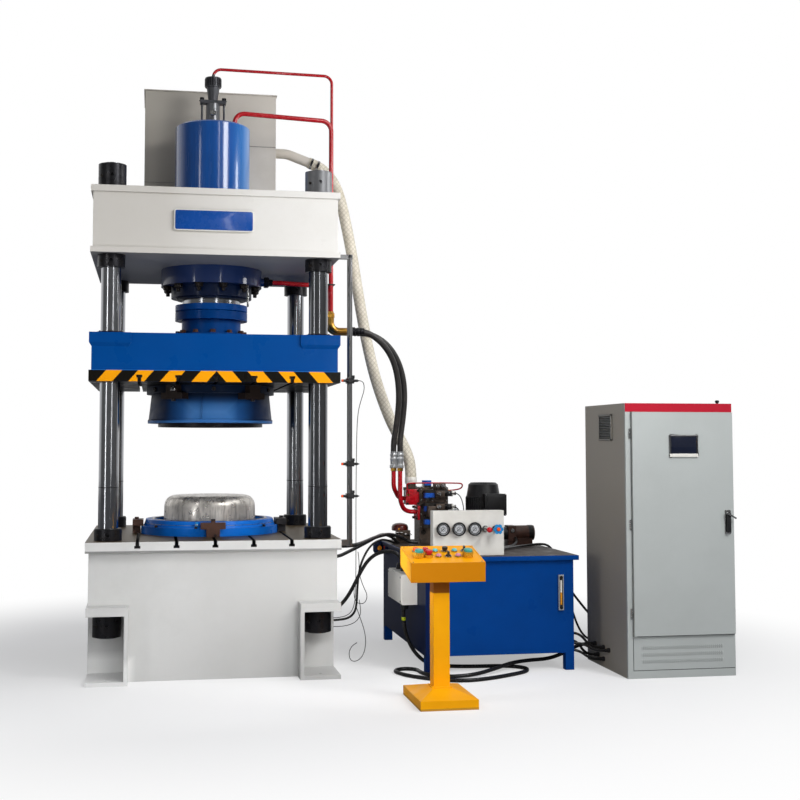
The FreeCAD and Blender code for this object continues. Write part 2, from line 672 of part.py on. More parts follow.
def make_prefill_valve():
    """Prefill valve on the closed end: barrel, bridge on two posts, cone and knurled cap."""
    base = "cylinder_top"
    bridge = f"{base} + valve_stem_height"
    cone_low = f"{bridge} + valve_bridge_height"
    cap_low = f"{cone_low} + valve_cone_height"
    pieces = [
        rod("valve_spigot", "head_port - 2 * fit_gap", "cylinder_head", 0, 0, f"{base} - cylinder_head"),
        rod("valve_barrel", "valve_stem_diameter", "valve_stem_height", 0, 0, base),
        centred_box("valve_bridge", "valve_bridge_length", "valve_bridge_depth", "valve_bridge_height", 0, 0, bridge),
        cone("valve_cone", "valve_cone_low", "valve_cone_top", "valve_cone_height", 0, 0, cone_low),
        rod("valve_cap", "valve_cap_diameter", "valve_cap_height", 0, 0, cap_low),
    ]
    for side in (-1, 1):
        pieces.append(rod(f"valve_post_{side + 1}", "valve_post_diameter",
                          "valve_stem_height + valve_bridge_height + 26",
                          f"{side} * valve_post_spacing / 2", 0, base))
        pieces.append(rod(f"valve_post_nut_{side + 1}", "valve_post_diameter + 12", 16,
                          f"{side} * valve_post_spacing / 2", 0, cone_low))
    node(fuse("prefill_valve", *pieces), "prefill_valve")


def make_upper_tank():
    """Oil tank behind the cylinder, with the outlet pipe that the suction hose slips over."""
    low = "crown_bottom + crown_height"
    tall = f"header_top - ({low})"
    shell = centred_box("header_shell", "header_width", "header_depth", tall, 0,
                        "header_front + header_depth / 2", low)
    lid = centred_box("header_lid", "header_width + 16", "header_depth + 16", 8, 0,
                      "header_front + header_depth / 2", "header_top")
    hollow = centred_box("header_hollow", "header_width - 2 * header_wall", "header_depth - 2 * header_wall",
                         f"{tall} - 2 * header_wall", 0, "header_front + header_depth / 2", f"{low} + header_wall")
    right, middle = measure("header_width / 2"), measure("header_front + header_depth / 2")
    height = measure("outlet_height")
    route = [(right - measure("header_wall") / 2, middle, height), (right + 110, middle, height),
             (right + 282, middle, height - 62)]
    pipe = tube("header_outlet", route, measure("outlet_diameter"), bend=200)
    bore = tube("header_outlet_bore", route, measure("outlet_bore"), bend=200)
    drilled = rod("header_port", "outlet_bore", 40, "header_width / 2 - 20", "header_front + header_depth / 2",
                  "outlet_height", "x")
    shell = fuse("header_case", shell, lid, pipe)
    node(cut("upper_tank", shell, hollow, bore, drilled), "upper_tank")


def skirt(name, side, tall, inset_side, inset_deep, at_x, at_y, at_z):
    """Square block that narrows downwards from at_z by the two insets, given by its low corner in plan."""
    made = doc.addObject("Part::Wedge", name)
    bind(made, Xmax=side, Zmax=side, Ymax=tall, X2min=inset_side, X2max=f"{side} - ({inset_side})",
         Z2min=inset_deep, Z2max=f"{side} - ({inset_deep})")
    made.Xmin = made.Ymin = made.Zmin = 0
    return place(made, at_x, at_y, at_z, Rotation(Vector(1, 0, 0), -90))


def make_slide():
    """Moving slide: body, corner pads, striped bottom plate with T-slots, wiper rings, neck for the ram."""
    top = "slide_bottom + slide_height"
    solids = [
        centred_box("slide_body", "slide_body_width", "slide_body_depth", "slide_height - slide_plate",
                    0, 0, "slide_bottom + slide_plate"),
        centred_box("slide_face", "slide_width", "slide_depth", "slide_plate", 0, 0, "slide_bottom"),
    ]
    for number, (side, deep) in enumerate(CORNERS):
        middle_x, middle_y = f"{side} * (slide_width - pad_side) / 2", f"{deep} * (slide_depth - pad_side) / 2"
        solids.append(centred_box(f"slide_pad_{number}", "pad_side", "pad_side", "pad_height",
                                  middle_x, middle_y, f"{top} - pad_height"))
        solids.append(skirt(f"slide_skirt_{number}", "pad_side", "pad_skirt",
                            "(slide_width - slide_body_width) / 2 + 1", "(slide_depth - slide_body_depth) / 2 + 1",
                            f"{middle_x} - pad_side / 2", f"{middle_y} - pad_side / 2", f"{top} - pad_height"))
    neck = turned("slide_neck", [
        ("rod_diameter / 2", top),
        ("boss_diameter / 2", top),
        ("boss_diameter / 2", f"{top} + boss_height"),
        ("neck_diameter / 2", f"{top} + boss_height"),
        ("neck_diameter / 2", f"{top} + neck_height"),
        ("ram_flange_diameter / 2", f"{top} + neck_height"),
        ("ram_flange_diameter / 2", f"{top} + neck_height + neck_flange_height - 4"),
        ("ram_flange_diameter / 2 - 4", f"{top} + neck_height + neck_flange_height"),
        ("rod_diameter / 2", f"{top} + neck_height + neck_flange_height"),
    ])
    tools = slots("slide_slot", "slide_depth + 2", "slide_bottom", upward=False)
    tools += at_columns("slide_bore", lambda name, x, y: rod(
        name, "column_diameter + 2 * running_gap", "slide_height + wiper_height + 2", x, y, "slide_bottom - 1"))
    solids += at_columns("wiper", lambda name, x, y: rod(name, "wiper_diameter", "wiper_height", x, y, top))
    block = cut("slide_block", fuse("slide_weldment", *solids), *tools)
    node(fuse("slide_whole", block, neck), "slide")


# ---- tooling ---------------------------------------------------------------------------------
def t_clamp(name, reach, angle, flange, bite="clamp_bite", hanging=False):
    """T-shaped clamp: the stem stands on the bed or hangs from the slide, the bar grips a round flange.

    reach is the flange's radius, angle the place round the ram axis, flange the flange's thickness, bite
    how far the bar reaches over it.
    """
    if hanging:
        stem_low = f"slide_bottom - {flange}"
        bar_low = f"{stem_low} - clamp_bar_height"
        bolt_low = f"{bar_low} - clamp_bolt / 2"
    else:
        stem_low = "bed_height"
        bar_low = f"bed_height + {flange}"
        bolt_low = f"{bar_low} + clamp_bar_height"
    stem = box(name + "_stem", "clamp_depth", "clamp_stem", flange,
               f"{reach} + clamp_clearance", "-clamp_stem / 2", stem_low)
    bar = box(name + "_bar", f"clamp_depth + clamp_clearance + ({bite})", "clamp_bar", "clamp_bar_height",
              f"{reach} - ({bite})", "-clamp_bar / 2", bar_low)
    bolt = rod(name + "_bolt", "clamp_bolt", "clamp_bolt / 2", f"{reach} + clamp_clearance + clamp_depth / 2",
               0, bolt_low)
    piece = fuse(name, stem, bar, bolt)
    piece.Placement = FreeCAD.Placement(Vector(), Rotation(Vector(0, 0, 1), angle))
    return piece


def make_tooling():
    """Upper die with its draw ring, and the punch inside the blank holder on the bed."""
    plate_low = "slide_bottom - die_plate"
    rim_top = "die_rim_bottom + die_rim_height"
    die = turned("die_body", [
        ("0", "die_cavity_top"),
        ("die_cavity_diameter / 2", "die_cavity_top"),
        ("die_cavity_diameter / 2", "insert_bottom + insert_height"),
        ("insert_diameter / 2", "insert_bottom + insert_height"),
        ("insert_diameter / 2", "die_rim_bottom"),
        ("die_rim_diameter / 2", "die_rim_bottom"),
        ("die_rim_diameter / 2", rim_top),
        ("die_rim_diameter / 2 - 6", f"{rim_top} + 4"),
        ("die_top_diameter / 2", plate_low),
        ("die_plate_diameter / 2", plate_low),
        ("die_plate_diameter / 2", "slide_bottom"),
        ("0", "slide_bottom"),
    ])
    node(die, "upper_die")
    ring = turned("insert_body", [
        ("insert_bore / 2 + 12", "insert_bottom"),
        ("insert_diameter / 2", "insert_bottom"),
        ("insert_diameter / 2", "insert_bottom + insert_height"),
        ("insert_bore / 2", "insert_bottom + insert_height"),
        ("insert_bore / 2", "insert_bottom + 12"),
    ])
    node(ring, "draw_ring")
    clamps = [t_clamp(f"die_clamp_{angle}", "die_plate_diameter / 2", angle, "die_plate", hanging=True)
              for angle in (56, 124, 236, 304)]
    node(group("die_clamps", clamps), "die_clamps")
    holder = turned("holder_body", [
        ("holder_bore / 2", "bed_height"),
        ("holder_diameter / 2", "bed_height"),
        ("holder_diameter / 2", "bed_height + holder_step_height"),
        ("holder_upper_diameter / 2", "bed_height + holder_step_height"),
        ("holder_rim_diameter / 2", "bed_height + holder_height"),
        ("holder_bore / 2 + 6", "bed_height + holder_height"),
        ("holder_bore / 2", "bed_height + holder_height - 6"),
    ])
    node(holder, "blank_holder")
    punch = turned("punch_body", [
        ("0", "bed_height"),
        ("punch_diameter / 2", "bed_height"),
        ("punch_top_diameter / 2", "bed_height + punch_height"),
        ("0", "bed_height + punch_height"),
    ])
    dressed(punch, "Fillet", circle_at(measure("bed_height + punch_height"), measure("punch_top_diameter / 2")),
            "punch_corner")
    node(punch, "forming_punch")
    step = "(holder_diameter - holder_upper_diameter) / 2 - clamp_clearance"
    bed_clamps = [t_clamp(f"bed_clamp_{angle}", "holder_diameter / 2", angle, "holder_step_height", bite=step)
                  for angle in (0, 180, 270)]
    node(group("bed_clamps", bed_clamps), "bed_clamps")


# ---- pipes on the press ----------------------------------------------------------------------
def make_pressure_pipes():
    """Red pipes beside the crown with the hose elbows, and the pipes down to the manifold.

    The pilot pipe comes from the prefill valve, the other two from both ends of the cylinder.
    """
    side, low = measure("pipe_side"), measure("pipe_end")
    small, large = measure("pilot_pipe"), measure("pressure_pipe")
    cap_top = measure("cylinder_top + valve_stem_height + valve_bridge_height + valve_cone_height"
                      " + valve_cap_height")
    top = measure("cylinder_top")
    boss = measure("cylinder_flange_diameter / 2 + port_reach")
    port = measure("crown_bottom - cylinder_flange_height * 0.6")
    rear = 96
    solids = [
        tube("pilot_pipe_run", [(0, 0, cap_top), (0, 0, cap_top + 70), (side + 12, 32, cap_top + 70),
                                (side + 12, 32, low - 40)], small, bend=60),
        tube("head_pipe_run", [(150, -150, top), (150, -150, top + 84), (side, -30, top + 84), (side, -30, low)],
             large, bend=75),
        tube("rod_side_pipe_run", [(boss, 0, port), (boss + 120, 0, port), (side - 120, rear, port),
                                   (side, rear, port), (side, rear, low)], large, bend=60),
    ]
    drop, reach, ferrule = measure("elbow_drop"), measure("elbow_reach"), measure("ferrule_size")
    for name, at_y in (("head_elbow", -30), ("rod_side_elbow", rear)):
        solids.append(tube(name, [(side, at_y, low), (side, at_y, low - drop), (side + reach, at_y, low - drop)],
                           ferrule, bend=62))
    first, pitch, back = measure("hose_left"), measure("hose_pitch"), measure("hose_back")
    high = measure("hose_end")
    low_end = high - measure("ferrule_length")
    left, inlet = measure("manifold_left"), measure("manifold_front + manifold_depth * 0.3")
    lid = measure("unit_top + lid_plate")
    for number, at_x in enumerate((first, first + pitch)):
        solids.append(rod(f"hose_ferrule_{number}", "ferrule_size", "ferrule_length", at_x, back, low_end))
    solids.append(tube("unit_pipe_upper", [
        (first, back, low_end), (first, back, lid + 430), (left - 150, inlet, lid + 340),
        (left - 96, inlet, lid + 340)], large, bend=70))
    solids.append(tube("unit_pipe_lower", [
        (first + pitch, back, low_end), (first + pitch, back, lid + 330), (left - 110, inlet - 30, lid + 240),
        (left, inlet - 30, lid + 240)], large, bend=90))
    node(group("pipework", solids), "pressure_pipes")


def make_sensor_pole():
    """Pole beside the press with three sensors that watch the slide."""
    crown_side, bed_side = "crown_width / 2", "plate_width / 2"
    pole_low, pole_high = "bed_height - 56", "crown_bottom + 12"
    pole = rod("pole_tube", "pole_diameter", f"{pole_high} - ({pole_low})", "pole_side", "-pole_front", pole_low)
    upper = box("pole_bracket_upper", f"pole_side + pole_diameter / 2 - ({crown_side})", "pole_bracket", 30,
                crown_side, "-pole_front - pole_bracket / 2", "crown_bottom + 2")
    lower = box("pole_bracket_lower", f"pole_side + pole_diameter / 2 - ({bed_side})", "pole_bracket", 40,
                bed_side, "-pole_front - pole_bracket / 2", "bed_height - 50")
    node(fuse("sensor_pole", pole, upper, lower), "sensor_pole")
    sensors = []
    for name in ("sensor_low", "sensor_middle", "sensor_high"):
        clamp = cut(name + "_clamp",
                    centred_box(name + "_block", 52, 52, 34, "pole_side + 2", "-pole_front", f"{name} - 17"),
                    rod(name + "_clamp_bore", "pole_diameter + 2 * fit_gap", 36, "pole_side", "-pole_front",
                        f"{name} - 18"))
        barrel = rod(name + "_barrel", "sensor_diameter", "sensor_length", "pole_side - 50",
                     "-pole_front - 34", name, "x")
        screw = rod(name + "_screw", 18, 20, "pole_side + 24", "-pole_front - 14", f"{name} + 17")
        holder = box(name + "_holder", 30, 30, 26, "pole_side - 15", "-pole_front - 50", f"{name} - 13")
        sensors.append(fuse(name + "_whole", clamp, barrel, holder, screw))
    node(group("sensors", sensors), "sensors")


# ---- power unit ------------------------------------------------------------------------------
def make_reservoir():
    """Oil reservoir on four legs with lifting lugs, its lid, level gauge and junction box."""
    right, back = "(unit_left + unit_width)", "(unit_front + unit_depth)"
    shell = box("unit_shell", "unit_width", "unit_depth", "unit_top - unit_bottom", "unit_left", "unit_front",
                "unit_bottom")
    hollow = box("unit_hollow", "unit_width - 2 * unit_wall", "unit_depth - 2 * unit_wall", "unit_top",
                 "unit_left + unit_wall", "unit_front + unit_wall", "unit_bottom + unit_wall")
    pieces = [cut("unit_tank", shell, hollow)]
    for number, (side, deep) in enumerate(CORNERS):
        leg_x = "unit_left" if side < 0 else f"{right} - unit_leg"
        leg_y = "unit_front" if deep < 0 else f"{back} - unit_leg"
        pieces.append(box(f"unit_leg_{number}", "unit_leg", "unit_leg", "unit_bottom", leg_x, leg_y, 0))
        lug_x = "unit_left - lug_plate" if side < 0 else right
        lug_y = f"{back} - 60 - lug_length" if deep > 0 else "unit_front + 60"
        plate = box(f"lug_{number}", "lug_plate", "lug_length", "lug_reach", lug_x, lug_y, "unit_top - lug_reach")
        hole = rod(f"lug_hole_{number}", "lug_hole", "lug_plate + 2", f"{lug_x} - 1", f"{lug_y} + lug_length / 2",
                   "unit_top - lug_reach / 2", "x")
        pieces.append(cut(f"lug_cut_{number}", plate, hole))
    node(fuse("reservoir", *pieces), "reservoir")
    lid = box("lid_blank", "unit_width + 2 * lid_overhang", "unit_depth + 2 * lid_overhang", "lid_plate",
              "unit_left - lid_overhang", "unit_front - lid_overhang", "unit_top")
    node(cut("reservoir_lid", lid, rod("lid_bore", "motor_shaft + 24", "lid_plate + 2", "motor_side",
                                       "motor_back", "unit_top - 1")), "reservoir_lid")
    frame = box("level_frame", "level_width", 14, "level_height", "level_left", "unit_front - 14", "level_bottom")
    window = box("level_window", 14, 10, "level_height - 70", "level_left + level_width / 2 - 7",
                 "unit_front - 16", "level_bottom + 35")
    node(cut("level_gauge", frame, window), "level_gauge")
    junction = box("junction_box", "junction_depth", "junction_length", "junction_height",
                   "unit_left - junction_depth", "junction_front", "junction_bottom")
    node(junction, "junction_box")


def make_motor():
    """Vertical motor on the lid: shell with terminal box, turning shaft with fan, and pump below."""
    low = "unit_top + lid_plate"
    body_low = f"{low} + motor_foot"
    cowl_low = f"{body_low} + motor_body_height"
    top = f"{cowl_low} + motor_cowl_height"
    shell = turned("motor_turned", [
        ("motor_shaft / 2 + 8", low),
        ("motor_diameter / 2 - 10", low),
        ("motor_diameter / 2 - 10", f"{low} + 16"),
        ("motor_diameter / 2 - 34", f"{low} + 24"),
        ("motor_diameter / 2 - 34", body_low),
        ("motor_diameter / 2", body_low),
        ("motor_diameter / 2", cowl_low),
        ("motor_cowl_top / 2", f"{top} - 10"),
        ("motor_cowl_top / 2 - 14", top),
        ("40", top),
        ("40", f"{top} - 4"),
        ("motor_cowl_top / 2 - motor_shell", f"{top} - 16"),
        ("motor_diameter / 2 - motor_shell", f"{cowl_low} + 4"),
        ("motor_diameter / 2 - motor_shell", f"{cowl_low}"),
        ("motor_shaft / 2 + 8", f"{cowl_low}"),
    ])
    terminal = box("terminal_box", 156, 124, 158, "motor_side - 38", "motor_back - 200", f"{top} - 236")
    shell.Placement = FreeCAD.Placement(Vector(), Rotation())
    place(shell, "motor_side", "motor_back", 0)
    bore = rod("terminal_clear", "motor_diameter - 2 * motor_shell", 400, "motor_side", "motor_back", cowl_low)
    node(fuse("motor", shell, cut("terminal_cut", terminal, bore)), "motor")
    rotor = [
        rod("rotor_shaft", "motor_shaft", f"{cowl_low} + 50 - (unit_top - 60)", "motor_side", "motor_back",
            "unit_top - 60"),
        rod("rotor_hub", "motor_shaft + 30", 22, "motor_side", "motor_back", f"{cowl_low} + 20"),
    ]
    for angle in range(0, 180, 45):
        blade = box(f"fan_blade_{angle}", "motor_diameter - 2 * motor_shell - 30", 5, 40,
                    "-(motor_diameter - 2 * motor_shell - 30) / 2", "-2.5", f"{cowl_low} + 14")
        turned_blade = doc.addObject("Part::Compound", f"fan_blade_turned_{angle}")
        turned_blade.Links = [blade]
        place(turned_blade, "motor_side", "motor_back", 0, Rotation(Vector(0, 0, 1), angle))
        rotor.append(turned_blade)
    node(fuse("motor_rotor", *rotor), "motor_rotor")
    pump_high = "unit_top"
    pump = rod("pump_body", "pump_diameter", "pump_height", "motor_side", "motor_back",
               f"{pump_high} - pump_height")
    seat = rod("pump_seat", "motor_shaft + 2 * turning_gap", 62, "motor_side", "motor_back", f"{pump_high} - 61")
    node(cut("pump", pump, seat), "pump")


def make_manifold():
    """Valve manifold with its inlet elbow, and the valves that are screwed to it."""
    low = "unit_top + lid_plate"
    block = box("manifold_block", "manifold_width", "manifold_depth", "manifold_height", "manifold_left",
                "manifold_front", low)
    inlet = box("manifold_inlet", 96, 110, 110, "manifold_left - 96", "manifold_front + 30",
                f"{low} + manifold_height - 130")
    stub = rod("manifold_stub", "outlet_diameter", 60, "manifold_left - 50", "manifold_front + 85",
               f"{low} + manifold_height - 20")
    collar = rod("manifold_collar", "outlet_diameter + 44", 20, "manifold_left - 50", "manifold_front + 85",
                 f"{low} + manifold_height - 20")
    node(fuse("valve_manifold", block, inlet, stub, collar), "valve_manifold")
    valves = []
    for number, height in enumerate(("350", "250", "150")):
        body = box(f"valve_body_{number}", 150, 60, 58, "manifold_left + 30", "manifold_front - 60",
                   f"{low} + {height}")
        coil = rod(f"valve_coil_{number}", 52, 80, "manifold_left + 52", "manifold_front - 30",
                   f"{low} + {height} - 30", "z")
        end = rod(f"valve_end_{number}", 44, 60, "manifold_left + 180", "manifold_front - 30",
                  f"{low} + {height} + 29", "x")
        valves.append(fuse(f"valve_{number}", body, end, coil))
    cap = rod("valve_top", 74, 52, "manifold_left + 70", "manifold_front + 70", f"{low} + manifold_height")
    valves.append(cap)
    node(group("control_valves", valves), "control_valves")


def make_feed_pump():
    """Small horizontal pump set on the lid that circulates the oil."""
    axis = "unit_top + lid_plate + feed_foot + feed_diameter / 2"
    low = "unit_top + lid_plate"
    motor = rod("feed_motor", "feed_diameter", "feed_length * 0.62", "feed_left + feed_length * 0.38", "feed_back",
                axis, "x")
    pump = rod("feed_pump_body", "feed_diameter * 0.8", "feed_length * 0.4", "feed_left", "feed_back", axis, "x")
    head = centred_box("feed_head", 60, "feed_diameter", "feed_diameter", "feed_left + 60", "feed_back",
                       f"{low} + feed_foot")
    feet = box("feed_feet", "feed_length * 0.8", "feed_diameter * 0.8", "feed_foot + 20", "feed_left + 30",
               "feed_back - feed_diameter * 0.4", low)
    node(fuse("feed_pump", motor, pump, head, feet), "feed_pump")


def make_gauge_panel():
    """Folded gauge panel with three gauges, a relief valve knob and a shut-off handwheel."""
    low = "unit_top + lid_plate"
    axis = f"{low} + panel_axis"
    sheet_metal = box("panel_blank", "panel_width", "panel_depth", "panel_height", "panel_left", "panel_front", low)
    inside = box("panel_inside", "panel_width - 2 * panel_sheet", "panel_depth", "panel_height - panel_sheet",
                 "panel_left + panel_sheet", "panel_front + panel_sheet", f"{low} - 1")
    offsets = [f"gauge_first + {number} * gauge_pitch" for number in range(3)]
    holes = [rod(f"panel_hole_{number}", "gauge_diameter - 16", "panel_sheet + 2", f"panel_left + {offset}",
                 "panel_front - 1", axis, "y") for number, offset in enumerate(offsets)]
    holes += [rod(f"panel_hole_{name}", f"{name}_stem + 2 * turning_gap", "panel_sheet + 2",
                  f"panel_left + {name}_offset", "panel_front - 1", axis, "y") for name in ("relief", "wheel")]
    node(cut("gauge_panel", sheet_metal, inside, *holes), "gauge_panel")
    cases, dial_depth = [], 6
    for number, offset in enumerate(offsets):
        centre = f"panel_left + {offset}"
        rim = rod(f"gauge_rim_{number}", "gauge_diameter", "gauge_deep", centre, "panel_front - gauge_deep",
                  axis, "y")
        case = rod(f"gauge_case_{number}", "gauge_diameter - 18", 40, centre, "panel_front", axis, "y")
        dial = rod(f"gauge_dial_{number}", "gauge_dial", dial_depth, centre,
                   "panel_front - gauge_deep", axis, "y")
        spindle_hole = rod(f"gauge_spindle_{number}", 4.6, 20, centre, "panel_front - gauge_deep", axis, "y")
        cases.append(cut(f"gauge_{number}", fuse(f"gauge_blank_{number}", rim, case), dial, spindle_hole))
    node(group("gauges", cases), "gauges")
    for number, offset in enumerate(offsets):
        centre = f"panel_left + {offset}"
        needle = box(f"needle_blade_{number}", "needle_width", 1.2, "needle_length + 8",
                     "-needle_width / 2", "panel_front - gauge_deep + 3", "-needle_length")
        hub = rod(f"needle_hub_{number}", 8, 1.6, 0, "panel_front - gauge_deep + 2.8", 0, "y")
        spindle = rod(f"needle_spindle_{number}", 4, 12, 0, "panel_front - gauge_deep + 3", 0, "y")
        piece = fuse(f"gauge_needle_{number + 1}", needle, hub, spindle)
        place(piece, centre, 0, axis, Rotation(Vector(0, 1, 0), 45))
        node(piece, f"gauge_needle_{number + 1}")
    knob = [
        rod("relief_spindle", "relief_stem", 126, "panel_left + relief_offset", "panel_front - 120", axis, "y"),
        rod("relief_grip", 32, 34, "panel_left + relief_offset", "panel_front - 128", axis, "y"),
    ]
    node(fuse("relief_knob_whole", *knob), "relief_knob")
    wheel = [
        rod("wheel_spindle", "wheel_stem", 86, "panel_left + wheel_offset", "panel_front - 78", axis, "y"),
        rod("wheel_hub", 30, 22, "panel_left + wheel_offset", "panel_front - 84", axis, "y"),
    ]
    for lobe in range(6):
        angle = math.radians(60 * lobe)
        wheel.append(rod(f"wheel_lobe_{lobe}", 26, 18, f"panel_left + wheel_offset + {22 * math.cos(angle):.4f}",
                         "panel_front - 82", f"{axis} + {22 * math.sin(angle):.4f}", "y"))
    node(fuse("shutoff_wheel_whole", *wheel), "shutoff_wheel")


# ---- push-button pedestal --------------------------------------------------------------------
CONTROLS = (
    # name, column, row, collar, head diameter, head height, travel
    ("orange_button", 0, "row_back", 30, 34, 26),
    ("red_button", 1, "row_back", 30, 34, 26),
    ("black_button", 3, "row_back", 30, 34, 30),
    ("rear_selector", 5, "row_back", 30, 26, 30),
    ("left_palm_button", 0, "row_front", 56, 50, 46),
    ("emergency_stop", 1, "row_front", 40, 42, 42),
    ("front_selector", 3, "row_front", 30, 26, 30),
    ("right_palm_button", 5, "row_front", 56, 50, 46),
)
LAMPS = ((2, "row_back"), (4, "row_back"), (2, "row_front"), (4, "row_front"))


def on_panel(thing, column, row):
    """Put a piece, made upright at the origin, on the slanted panel."""
    slope = math.degrees(math.atan2(measure("desk_back_height - desk_front_height"), measure("desk_depth")))
    tilt = "atan((desk_back_height - desk_front_height) / desk_depth)"
    place(thing,
          f"stand_side + desk_shift - desk_width / 2 + button_first + {column} * button_pitch",
          f"stand_front + 20 + desk_depth / 2 - {row} * cos({tilt})",
          f"desk_back_height - {row} * sin({tilt})",
          Rotation(Vector(1, 0, 0), slope))
    return thing


def make_stand():
    """Pedestal foot with sloping top, square column, and the slanted box on it."""
    base = centred_box("stand_edge", "stand_base_width", "stand_base_depth", "stand_base_edge", "stand_side",
                       "stand_front", 0)
    hip = doc.addObject("Part::Wedge", "stand_hip")
    bind(hip, Xmin="-stand_base_width / 2", Xmax="stand_base_width / 2", Zmin="-stand_base_depth / 2",
         Zmax="stand_base_depth / 2", Ymin="0", Ymax="stand_base_top - stand_base_edge",
         X2min="-stand_top_width / 2", X2max="stand_top_width / 2", Z2min="-stand_top_depth / 2",
         Z2max="stand_top_depth / 2")
    place(hip, "stand_side", "stand_front", "stand_base_edge", Rotation(Vector(1, 0, 0), 90))
    slope = "(desk_back_height - desk_front_height) / desk_depth"
    under = "(desk_back_height + desk_front_height) / 2 - desk_thickness"
    back_top = f"{under} + ({slope}) * (stand_column / 2 - 20)"
    front_top = f"{under} + ({slope}) * (-stand_column / 2 - 20)"
    column = padded("stand_column_body", "YZ_Plane", [
        ("stand_front - stand_column / 2", "stand_base_edge"),
        ("stand_front + stand_column / 2", "stand_base_edge"),
        ("stand_front + stand_column / 2", back_top),
        ("stand_front - stand_column / 2", front_top),
    ], "stand_column")
    place(column, "stand_side - stand_column / 2", 0, 0)
    node(fuse("pedestal_stand", base, hip, column), "pedestal_stand")
    front, back = "stand_front + 20 - desk_depth / 2", "stand_front + 20 + desk_depth / 2"

    def prism(name, inset):
        body = padded(name, "YZ_Plane", [
            (f"{front} + {inset}", f"desk_front_height - desk_thickness + {inset}"),
            (f"{back} - {inset}", f"desk_back_height - desk_thickness + {inset}"),
            (f"{back} - {inset}", f"desk_back_height - {inset}"),
            (f"{front} + {inset}", f"desk_front_height - {inset}"),
        ], f"desk_width - 2 * {inset}")
        return place(body, f"stand_side + desk_shift - desk_width / 2 + {inset}", 0, 0)

    tools = [prism("desk_inside", "desk_wall")]
    places = [(column_number, row) for _, column_number, row, *_ in CONTROLS] + list(LAMPS)
    for number, (column_number, row) in enumerate(places):
        hole = doc.addObject("Part::Cylinder", f"desk_hole_{number}")
        bind(hole, Radius="button_hole / 2", Height="4 * desk_wall")
        holder = group(f"desk_hole_set_{number}", [hole])
        hole.Placement.Base = Vector(0, 0, -measure("2 * desk_wall"))
        tools.append(on_panel(holder, column_number, row))
    node(cut("pedestal_box", prism("desk_case", "0"), *tools), "pedestal_box")


def make_controls():
    """Push buttons, palm buttons, emergency stop and selectors in their collars, and the pilot lamps."""
    stem_width = "button_hole - 2 * turning_gap"
    collars = []
    for name, column, row, collar, head, height in CONTROLS:
        ring = cut(name + "_collar", rod(name + "_collar_blank", collar, "collar_height", 0, 0, 0),
                   rod(name + "_collar_bore", "button_hole", "collar_height + 2", 0, 0, -1))
        collars.append(on_panel(ring, column, row))
        if "selector" in name:
            pieces = [rod(name + "_stem", stem_width, "44 + collar_height", 0, 0, -40),
                      rod(name + "_skirt", head + 4, 8, 0, 0, "collar_height + turning_gap"),
                      box(name + "_bar", 9, head, height, -4.5, -head / 2, "collar_height + turning_gap")]
        else:
            head_height = 14
            pieces = [rod(name + "_stem", stem_width, 40 + height - 2, 0, 0, -40),
                      rod(name + "_head", head, head_height, 0, 0, height - head_height)]
            if head > 40:
                pieces.append(rod(name + "_neck", f"{stem_width} + 8", f"{height} - collar_height - button_travel - 5",
                                  0, 0, "collar_height + button_travel + 1"))
        node(on_panel(fuse(name + "_whole", *pieces), column, row), name)
    node(group("control_collars", collars), "button_collars")
    lamps = []
    for number, (column, row) in enumerate(LAMPS):
        lamp = fuse(f"pilot_lamp_{number}", rod(f"lamp_stem_{number}", stem_width, 40, 0, 0, -39),
                    rod(f"lamp_head_{number}", 30, 12, 0, 0, 0))
        lamps.append(on_panel(lamp, column, row))
    node(group("lamp_set", lamps), "pilot_lamps")


